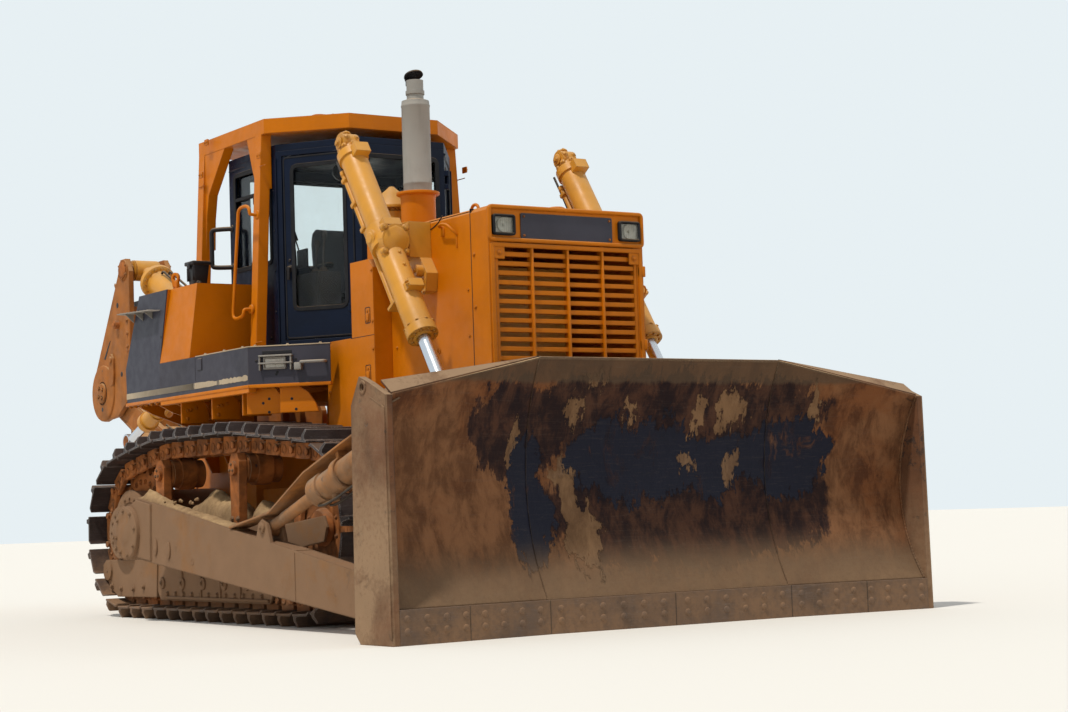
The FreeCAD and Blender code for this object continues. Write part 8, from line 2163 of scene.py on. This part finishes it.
bm = bmesh.new()
for side in (-1, 1):
    out = Vector((0, side, 0))
    turned(bm, rip(RIP_BEAM, side * RIP_OUT), out, [(0.0, 0.016), (0.244, 0.016), (0.256, 0.012), (0.262, 0.004), (0.262, -0.010)], 56)
    turned(bm, rip(RIP_BEAM, side * (RIP_OUT + 0.016)), out, [(0.0, 0.020), (0.080, 0.020), (0.092, 0.014), (0.095, 0.0), (0.110, 0.001)], 36)
    bolt_ring(bm, rip(RIP_BEAM, side * (RIP_OUT + 0.034)), out, 0.056, 4, 0.014, 0.6)
    link = wall(at(-2.766, side * RIP_OUT, 2.150), (0, side, 0))
    flip = 1 if side < 0 else -1
    plate(bm, [link @ Vector((flip * a, b, -0.002)) for a, b in ((-0.045, 0.130), (0.010, 0.155), (0.052, 0.110), (0.066, -0.050),
                                                               (0.048, -0.130), (0.0, -0.155), (-0.045, -0.120))], out * 0.022, 0.004)
    turned(bm, at(-2.758, side * (RIP_OUT + 0.020), 2.245), out, [(0.0, 0.014), (0.026, 0.014), (0.032, 0.008), (0.033, -0.002)], 24)
    tab = [(-2.640, 2.905), (-2.700, 2.955), (-2.712, 2.935), (-2.690, 2.900), (-2.650, 2.870)]
    plate(bm, [at(x, side * (RIP_OUT - 0.020), z) for x, z in tab], out * 0.012, 0.002)
    block(bm, at(-2.420, side * (RIP_OUT - 0.002), 2.30), at(-2.320, side * (RIP_OUT + 0.012), 2.62), 0.004)
    for z in (2.34, 2.46, 2.58):
        bolt(bm, at(-2.370, side * (RIP_OUT + 0.012), z), out, 0.016)
    outline = [(-2.560, 3.110), (-2.700, 2.880), (-3.190, 2.080)]
    for (x0, z0), (x1, z1) in zip(outline, outline[1:]):
        bead(bm, at(x0 + 0.035, side * (RIP_OUT - 0.022), z0), at(x1 + 0.035, side * (RIP_OUT - 0.022), z1), 0.0045, 0.02)
    turned(bm, rip(RIP_TOP, side * (RIP_OUT + 0.0)), out, [(0.0, 0.014), (0.060, 0.014), (0.078, 0.010), (0.098, 0.008), (0.102, -0.004)], 36)
    bolt_ring(bm, rip(RIP_TOP, side * (RIP_OUT + 0.010)), out, 0.082, 6, 0.010)
keep("carrier_fittings", bm, "ripper_head", "faded")

# Painted shade: a black sheet for the slanted slot and black discs for three holes on each side of the carrier, which
# are not cut.
bm = bmesh.new()
for side in (-1, 1):
    slot = [(-2.820, 2.422), (-2.796, 2.430), (-2.925, 2.262), (-2.962, 2.268)]
    plate(bm, [at(x, side * (RIP_OUT + 0.0002), z) for x, z in slot], (0, side * 0.0015, 0), 0)
    turned(bm, at(-2.985, side * (RIP_OUT + 0.0165), 1.800), (0, side, 0), [(0.0, 0.001), (0.020, 0.001), (0.021, -0.001)], 20)
    for x, z in ((-2.62, 2.74), (-2.55, 2.10)):
        turned(bm, at(x, side * (RIP_OUT + 0.0005), z), (0, side, 0), [(0.0, 0.001), (0.024, 0.001), (0.025, -0.001)], 20)
keep("carrier_painted_hole_shade", bm, "ripper_head", "black")

bm = bmesh.new()
SHANK_HALF = 0.040
point = [(-2.495, 0.925), (-2.262, 0.846), (-2.300, 0.905), (-2.425, 1.085), (-2.520, 1.085)]
for side in (-1, 1):
    plate(bm, [at(x, side * (SHANK_HALF - 0.002), z) for x, z in point], (0, side * 0.016, 0), 0.005)
    bar(bm, at(-2.455, side * (SHANK_HALF + 0.010), 1.020), at(-2.455, side * (SHANK_HALF + 0.022), 1.020), 0.018, sides=16, bevel=0.003)
plate(bm, [at(x, -0.050, z) for x, z in ((-2.424, 1.13), (-2.452, 1.46), (-2.464, 1.46), (-2.440, 1.12))], (0, 0.100, 0), 0.004)
for z in (1.60, 1.78, 1.96):
    for side in (-1, 1):
        turned(bm, at(-2.610, side * (SHANK_HALF - 0.001), z), (0, side, 0), [(0.020, 0.001), (0.022, 0.004), (0.032, 0.004), (0.034, 0.0)], 22)
bar(bm, at(-2.610, -0.252, 2.560), at(-2.610, 0.252, 2.560), 0.038, sides=26, bevel=0.005)
block(bm, at(-2.640, -0.262, 2.545), at(-2.580, -0.250, 2.575), 0.003)
keep("shank_fittings", bm, "ripper_head", "rust")
bm = bmesh.new()
bar(bm, at(-2.470, -0.232, 3.050), at(-2.470, -0.150, 3.050), 0.066, sides=30, bevel=0.008)
bar(bm, at(-2.470, 0.150, 3.050), at(-2.470, 0.232, 3.050), 0.066, sides=30, bevel=0.008)
for side in (-1, 1):
    turned(bm, at(-2.470, side * 0.212, 3.050), (0, side, 0), [(0.064, 0.0), (0.080, 0.002), (0.082, 0.014), (0.066, 0.018), (0.050, 0.024), (0.0, 0.026)], 34)
keep("carrier_top_pins", bm, "ripper_head", "rust")
print("ripper carrier: covers, link, tab, holes, shank point and pins")

# %% [markdown]
# ### Top cylinder and its flange
# The flange is a thick bolted ring where the rod enters. A collar follows at the far end, and two rigid
# pipes lie along the barrel.

# %% Top cylinder
bm = bmesh.new()
flange = rip(RIP_TOP, 0, 0.300, 0, top_way)
turned(bm, flange, top_way, [(0.062, -0.020), (0.090, -0.020), (0.112, -0.010), (0.150, -0.006), (0.162, 0.006), (0.162, 0.054),
                             (0.150, 0.066), (0.122, 0.072), (0.116, 0.10)], 52)
bolt_ring(bm, flange - top_way * 0.006, -top_way, 0.136, 14, 0.014)
bolt_ring(bm, flange + top_way * 0.066, top_way, 0.138, 14, 0.012)
far_end = (rip_anchor - RIP_TOP).length - 0.060
for along, radius in ((far_end - 0.02, 0.115), (0.95, 0.115), (1.55, 0.115)):
    turned(bm, rip(RIP_TOP, 0, along, 0, top_way), top_way, [(radius - 0.002, -0.030), (radius + 0.008, -0.028), (radius + 0.008, 0.022),
                                                            (radius - 0.002, 0.026)], 44)
for y in (-0.112, 0.112):
    turned(bm, rip(RIP_TOP, y * 1.0), (0, y, 0), [(0.056, 0.0), (0.090, 0.001), (0.094, 0.010), (0.070, 0.016), (0.058, 0.016)], 32)
block(bm, (-0.050, -0.045, 0.10), (0.050, 0.045, 0.150), 0.008, matrix=frame_at(rip(RIP_TOP, 0, 0.47, 0, top_way), (-top_way).cross(Vector((0, 1, 0))), (1, 0, 0)))
keep("top_cylinder_fittings", bm, "ripper_top_link", "yellow")
bm = bmesh.new()
for y in (-0.034, 0.034):
    pipe(bm, [rip(RIP_TOP, y, 0.46, 0.120, top_way), rip(RIP_TOP, y, 0.46, 0.155, top_way), rip(RIP_TOP, y, 0.56, 0.150, top_way),
              rip(RIP_TOP, y, 1.20, 0.140, top_way), rip(RIP_TOP, y, 1.85, 0.140, top_way), rip(RIP_TOP, y, 1.93, 0.112, top_way)], 0.011, 3)
keep("top_cylinder_pipes", bm, "ripper_top_link", "black")

# %% [markdown]
# ### Arms, lift cylinders and mount
# The two arms are one welded box between plates, so beads follow their edges. Pin covers close each
# pivot. The lift cylinders get gland bolts, clamps and a port each, and the mount a grid of bolts where
# it meets the rear case.

# %% Arms, lift cylinders and mount
ARM_OUT = 0.155
bm = bmesh.new()
for side in (-1, 1):
    for along in (0.32, 0.62):
        turned(bm, rip(RIP_PIVOT, side * ARM_OUT, along * 2.0), (0, side, 0), [(0.0, 0.003), (0.040, 0.003), (0.052, 0.001), (0.054, -0.002)], 26)
    for rise in (-0.112, 0.112):
        bead(bm, rip(RIP_PIVOT, side * (ARM_OUT + 0.001), 0.12, rise * 1.15), rip(RIP_PIVOT, side * (ARM_OUT + 0.001), 2.18, rise * 0.92), 0.0045, 0.030)
    for along in (0.26, 1.29):
        bead(bm, rip(RIP_PIVOT, side * 0.104, along, -0.10), rip(RIP_PIVOT, side * 0.104, along, 0.10), 0.006)
    eye = Vector((-1.890, 0, 1.450))
    turned(bm, rip(eye, side * 0.384), (0, -side, 0), [(0.0, 0.0), (0.044, 0.0), (0.052, 0.004), (0.054, 0.010)], 30)
for y in (-0.060, 0.060):
    for along in (0.45, 0.95, 1.20):
        spot = rip(RIP_PIVOT, y, along, 0.112)
        block(bm, (-0.020, -0.016, -0.006), (0.026, 0.016, 0.018), 0.003, matrix=frame_at(spot, arm_way, arm_rise))
keep("ripper_arm_fittings", bm, "ripper_arm", "faded")
bm = bmesh.new()
for y in (-0.060, 0.060):
    pipe(bm, [rip(RIP_PIVOT, y, 0.30, 0.128), rip(RIP_PIVOT, y, 0.60, 0.142), rip(RIP_PIVOT, y, 1.15, 0.142), rip(RIP_PIVOT, y, 1.28, 0.128)], 0.010, 3)
keep("ripper_arm_pipes", bm, "ripper_arm", "black")

LIFT_TOP, LIFT_END = Vector((-0.450, 0, 2.000)), Vector((-1.890, 0, 1.450))
lift_line = (LIFT_END - LIFT_TOP).normalized()
for name, side in SIDES:
    bm = bmesh.new()
    y = side * 0.420
    for along, radius in ((0.125, 0.075), (0.62, 0.075), (0.90, 0.075)):
        turned(bm, rip(LIFT_TOP, y, along, 0, lift_line), lift_line, [(radius - 0.002, -0.020), (radius + 0.010, -0.018), (radius + 0.010, 0.018),
                                                                     (radius - 0.002, 0.020)], 36)
    bolt_ring(bm, rip(LIFT_TOP, y, 1.141, 0, lift_line), lift_line, 0.068, 8, 0.009)
    for along in (0.20, 1.02):
        port = rip(LIFT_TOP, y, along, 0.070, lift_line)
        turned(bm, port, rip(LIFT_TOP, y, along, 0.2, lift_line) - port, [(0.0, 0.040), (0.018, 0.038), (0.024, 0.020), (0.026, -0.01)], 20)
    pipe(bm, [rip(LIFT_TOP, y, 0.20, 0.105, lift_line), rip(LIFT_TOP, y, 0.28, 0.118, lift_line), rip(LIFT_TOP, y, 0.94, 0.118, lift_line),
              rip(LIFT_TOP, y, 1.02, 0.105, lift_line)], 0.009, 3)
    for edge in (y - 0.080, y + 0.080):
        turned(bm, rip(LIFT_TOP, edge - math.copysign(0.002, edge - y)), (0, edge - y, 0), [(0.047, 0.0), (0.074, 0.001), (0.080, -0.006)], 28)
    keep(f"ripper_lift_fittings_{name}", bm, f"{name}_ripper_cylinder", "yellow")
    bm = bmesh.new()
    for edge in (y - 0.040, y + 0.040):
        way = math.copysign(1, edge - y)
        turned(bm, rip(LIFT_END, edge), (0, way, 0), [(0.0, 0.003), (0.030, 0.003), (0.054, 0.002), (0.062, -0.004)], 28)
    keep(f"ripper_rod_caps_{name}", bm, f"{name}_ripper_piston", "rust")

bm = bmesh.new()
for side in (-1, 1):
    out = Vector((0, side, 0))
    turned(bm, rip(RIP_PIVOT, side * 0.223), out, [(0.0, 0.020), (0.070, 0.020), (0.086, 0.014), (0.110, 0.010), (0.114, -0.004)], 36)
    bolt_ring(bm, rip(RIP_PIVOT, side * 0.235), out, 0.092, 6, 0.012)
    turned(bm, rip(rip_anchor, side * 0.178), out, [(0.0, 0.016), (0.060, 0.016), (0.072, 0.010), (0.090, 0.008), (0.094, -0.004)], 34)
    bolt_ring(bm, rip(rip_anchor, side * 0.188), out, 0.076, 6, 0.010)
    for y in (0.545, 0.2945):
        turned(bm, at(-0.450, side * y, 2.000), (0, side if y > 0.4 else -side, 0), [(0.0, 0.012), (0.046, 0.012), (0.060, 0.006), (0.062, -0.004)], 28)
    for y in (0.15, 0.26, 0.37, 0.48):
        bolt(bm, at(-0.550, side * y, 1.421), (0, 0, 1), 0.018)
        bolt(bm, at(-0.160, side * y, 1.421), (0, 0, 1), 0.018)
    for z in (0.74, 0.90, 1.06, 1.17):
        bolt(bm, at(-0.661, side * 0.245, z), (-1, 0, 0), 0.018)
    bead(bm, at(-0.655, side * 0.162, 0.70), at(-0.655, side * 0.162, 1.20), 0.006)
keep("mount_fittings", bm, "machine", "faded")
print("ripper: top cylinder, arms, lift cylinders and mount")
# %% [markdown]
# ## Rear, frame and underside
# The picture hides the rear, so it is finished as such machines are: two bolted access plates and a
# sight tube on the tank's slanted back, a row of bolts along its seams, a drawbar pin under the case,
# side covers on the main case, tow lugs, and rows of bolts on the belly plates.

# %% Tank back and frame fittings
TANK_BACK_LOW, TANK_BACK_HIGH = Vector((0.040, 0, 1.937)), Vector((0.330, 0, 2.490))
tank_up = (TANK_BACK_HIGH - TANK_BACK_LOW).normalized()
tank_back = wall(at(TANK_BACK_LOW.x, 0, TANK_BACK_LOW.z), (-tank_up.z, 0, tank_up.x), tank_up)
TANK_LONG = (TANK_BACK_HIGH - TANK_BACK_LOW).length
bm = bmesh.new()
for low, high in (((-1.02, 0.12), (-0.42, 0.50)), ((0.42, 0.12), (1.02, 0.50)), ((-0.19, 0.20), (0.19, 0.44))):
    panel_on(bm, tank_back, low, high, 0.006, 0.04, 0.003)
    spots = [(low[0] + 0.03 + (high[0] - low[0] - 0.06) * i / 4, b) for i in range(5) for b in (low[1] + 0.03, high[1] - 0.03)]
    spots += [(a, (low[1] + high[1]) / 2) for a in (low[0] + 0.03, high[0] - 0.03)]
    for a, b in spots:
        bolt(bm, tank_back @ Vector((a, b, 0.006)), (-tank_up.z, 0, tank_up.x), 0.010)
for side in (-1, 1):
    bead(bm, tank_back @ Vector((side * 1.252, 0.01, 0.001)), tank_back @ Vector((side * 1.252, TANK_LONG - 0.01, 0.001)), 0.005, 0.02)
for i in range(6):
    bolt(bm, at(0.0395, -1.15 + 0.46 * i, 1.80), (-1, 0, 0), 0.012)
    block(bm, at(0.030, -1.19 + 0.46 * i, 1.660), at(0.042, -1.11 + 0.46 * i, 1.700), 0.003)
bead(bm, at(0.050, -1.20, 1.937), at(0.050, -0.30, 1.937), 0.005, 0.03)
bead(bm, at(0.050, 0.30, 1.937), at(0.050, 1.20, 1.937), 0.005, 0.03)
keep("tank_back_plates", bm, "machine", "orange")

bm = bmesh.new()
for b in (0.10, 0.50):
    turned(bm, tank_back @ Vector((0.300, b, 0.0)), (-tank_up.z, 0, tank_up.x), [(0.0, 0.030), (0.016, 0.028), (0.022, 0.012), (0.024, -0.004)], 20)
pipe(bm, [tank_back @ Vector((0.300, 0.10, 0.020)), tank_back @ Vector((0.300, 0.30, 0.020)), tank_back @ Vector((0.300, 0.50, 0.020))], 0.008, 3)
for side in (-1, 1):
    turned(bm, tank_back @ Vector((side * 0.72, 0.56, 0.0)), (-tank_up.z, 0, tank_up.x), [(0.0, 0.022), (0.034, 0.020), (0.042, 0.010), (0.044, -0.004)], 28)
keep("tank_gauge", bm, "machine", "black")

bm = bmesh.new()
CASE_REAR, CASE_HALF = -0.620, 0.500
for side in (-1, 1):
    out = Vector((0, side, 0))
    for x, z, radius in ((0.50, 1.12, 0.150), (-0.38, 1.10, 0.120)):
        spot = at(x, side * CASE_HALF, z)
        turned(bm, spot, out, [(0.0, 0.016), (radius * 0.55, 0.016), (radius * 0.62, 0.010), (radius * 0.97, 0.009), (radius, 0.004), (radius, -0.004)], 40)
        bolt_ring(bm, spot + out * 0.009, out, radius * 0.82, 10, 0.013)
    for x in (-0.54, -0.36, -0.18):
        bolt(bm, at(x, side * CASE_HALF, 0.52), out, 0.014)
    panel_on(bm, wall(at(CASE_REAR, 0, 0), (-1, 0, 0)), (side * 0.40 - 0.075, 0.56), (side * 0.40 + 0.075, 0.78), 0.012, 0.02, 0.004)
    for y in (side * 0.40 - 0.05, side * 0.40 + 0.05):
        for z in (0.59, 0.75):
            bolt(bm, at(CASE_REAR - 0.012, y, z), (-1, 0, 0), 0.013)
for z in (0.505, 0.600):
    outline = [(-0.621, -0.10), (-0.760, -0.075), (-0.790, -0.03), (-0.790, 0.03), (-0.760, 0.075), (-0.621, 0.10)]
    plate(bm, [at(x, y, z) for x, y in outline], (0, 0, 0.028), 0.004)
keep("case_covers", bm, "machine", "orange")
bm = bmesh.new()
bar(bm, at(-0.745, 0, 0.470), at(-0.745, 0, 0.665), 0.026, sides=20, bevel=0.004)
pipe(bm, [at(-0.745, -0.022, 0.660), at(-0.745, -0.022, 0.705), at(-0.745, 0.022, 0.705), at(-0.745, 0.022, 0.660)], 0.006, 3)
for x in (-0.50, -0.20, 0.10, 0.40, 0.70):
    for y in (-0.42, 0.42):
        bolt(bm, at(x, y, 0.470), (0, 0, -1), 0.017)
for x in (1.2, 1.7, 2.2, 2.7, 3.2):
    for y in (-0.40, 0.40):
        bolt(bm, at(x, y, 0.700), (0, 0, -1), 0.014)
keep("drawbar_pin_and_belly_bolts", bm, "machine", "rust")
print("rear: tank plates, gauge, covers, drawbar and belly bolts")

# %% [markdown]
# ### Nose and cowl from above and below
# Two front tow lugs stand under the radiator guard, the guard's lower edge is bolted, and the cowl ahead
# of the cab carries a coolant cap, a breather and a pair of hinge straps.

# %% Tow lugs and cowl fittings
bm = bmesh.new()
for side in (-1, 1):
    lug = wall(at(4.392, side * 0.34, 0.985), (0, side, 0))
    flip = 1 if side < 0 else -1
    rim(bm, lug, [(flip * (0.045 + math.cos(t) * 0.052) - 0.0, math.sin(t) * 0.052) for t in [math.pi / 9 * i for i in range(18)]],
        [(flip * (0.045 + math.cos(t) * 0.026), math.sin(t) * 0.026) for t in [math.pi / 9 * i for i in range(18)]], 0.036, 0.004)
    block(bm, at(4.390, side * 0.340 - 0.004 if side > 0 else -0.380, 0.935), at(4.402, side * 0.340 + 0.040 if side > 0 else -0.336, 1.035), 0.003)
    for x in (4.225, 4.300, 4.365):
        bolt(bm, at(x, side * 0.610, 0.945), (0, side, 0), 0.013)
for y in (-0.48, -0.16, 0.16, 0.48):
    bolt(bm, at(4.396, y, 0.935), (1, 0, 0), 0.014)
keep("tow_lugs", bm, "machine", "orange")
bm = bmesh.new()
for x, y, radius in ((2.700, 0.180, 0.052), (2.480, 0.200, 0.034)):
    turned(bm, at(x, y, 2.600), (0, 0, 1), [(0.0, 0.052), (radius * 0.7, 0.050), (radius, 0.040), (radius, 0.020), (radius * 0.8, 0.016),
                                           (radius * 0.8, -0.004)], 30)
for y in (-0.20, 0.05):
    block(bm, at(2.800, y - 0.02, 2.600), at(2.835, y + 0.02, 2.690), 0.004)
keep("cowl_caps", bm, "machine", "black")
print("nose and cowl: tow lugs, caps and straps")
# %% [markdown]
# ## Packed earth
# Earth lies on the rear half of the right arm and fills the track frames between the carrier rollers. It
# is part of how the machine looks at work, unlike the pile in front, which is left out. A heap is a grid
# over a flat foot: noise gives its lumps, and a falloff brings its edges down to the steel.

# %% Packed earth
from mathutils import noise as lump_noise


def heap(bm, start, end, half_width, height, seed, steps=110, rows=14, lean=0.0):
    """A lumpy ridge along a line, its height given by a function of the share along it."""
    start, end = Vector(start), Vector(end)
    across = Vector((0, 1, 0))
    grids = ([], [])
    for i in range(steps + 1):
        share = i / steps
        for j in range(rows + 1):
            side = 2 * j / rows - 1
            ripple = 0.010 * lump_noise.noise(Vector((share * 60, side * 2, seed)))
            spot = start.lerp(end, share) + across * (half_width * side + (ripple if abs(side) < 1 else 0))
            falloff = math.sqrt(max(0.0, 1 - side ** 2)) * min(1.0, share * 14, (1 - share) * 14)
            place = Vector((spot.x, spot.y, seed))
            rough = 0.80 + 0.30 * lump_noise.noise(place * 4.5)
            fine = 0.022 * lump_noise.noise(place * 17.0) + 0.008 * lump_noise.noise(place * 48.0)
            rise = falloff * (height(share) * (rough + lean * side) + fine * min(1.0, height(share) * 12))
            grids[0].append(bm.verts.new(spot + Vector((0, 0, max(0.001, rise)))))
            grids[1].append(bm.verts.new(spot - Vector((0, 0, 0.006))))
    top, foot = grids
    wide = rows + 1
    for i in range(steps):
        for j in range(rows):
            a, b, c, d = i * wide + j, (i + 1) * wide + j, (i + 1) * wide + j + 1, i * wide + j + 1
            bm.faces.new((top[a], top[b], top[c], top[d]))
            bm.faces.new((foot[d], foot[c], foot[b], foot[a]))
        for j, k in ((0, 0), (rows, rows)):
            a, b = i * wide + j, (i + 1) * wide + k
            bm.faces.new((top[a], foot[a], foot[b], top[b]))
    for i in (0, steps):
        for j in range(rows):
            a, b = i * wide + j, i * wide + j + 1
            bm.faces.new((top[a], top[b], foot[b], foot[a]))


def clods(bm, low, high, count, size, seed):
    """Loose clods lying in a shallow box."""
    pick = random.Random(seed)
    for _ in range(count):
        radius = size * pick.uniform(0.5, 1.0)
        made = bmesh.ops.create_icosphere(bm, subdivisions=1, radius=radius)["verts"]
        for v in made:
            v.co *= 1 + 0.35 * lump_noise.noise(v.co * 60 + Vector((seed, _, 0)))
        spot = Vector([pick.uniform(a, b) for a, b in zip(low, high)])
        bmesh.ops.translate(bm, vec=spot, verts=made)


def arm_heap(share):
    return 0.030 + 0.060 * math.exp(-((share - 0.10) / 0.12) ** 2)


def frame_heap(share):
    return 0.10 + 0.17 * math.sin(math.pi * share)


bm = bmesh.new()
for side in (-1, 1):
    rear, ahead = (1.030, 2.640) if side < 0 else (1.060, 2.150)
    heap(bm, at(rear, side * 1.535, arm_line(ARM_TOP, rear)), at(ahead, side * 1.535, arm_line(ARM_TOP, ahead)), 0.058, arm_heap, side + 3)
    low, high = at(rear + 0.05, side * 1.585, arm_line(ARM_TOP, rear) - 0.06), at(rear + 0.9, side * 1.490, arm_line(ARM_TOP, rear) - 0.03)
    clods(bm, (low.x, min(low.y, high.y), low.z), (high.x, max(low.y, high.y), high.z), 26, 0.016, 5 + side)
keep("arm_earth", bm, "blade", "earth", smooth=60)

bm = bmesh.new()
for side in (-1, 1):
    heap(bm, at(0.780, side * 1.070, 0.688), at(1.900, side * 1.070, 0.688), 0.145, frame_heap, 8 + side, lean=0.2 * side)
    heap(bm, at(2.080, side * 1.070, 0.688), at(2.480, side * 1.070, 0.688), 0.140, lambda share: 0.24 - 0.14 * share, 12 + side, 40)
keep("track_frame_earth", bm, "machine", "earth", smooth=60)
print("earth on the arms and the track frames")
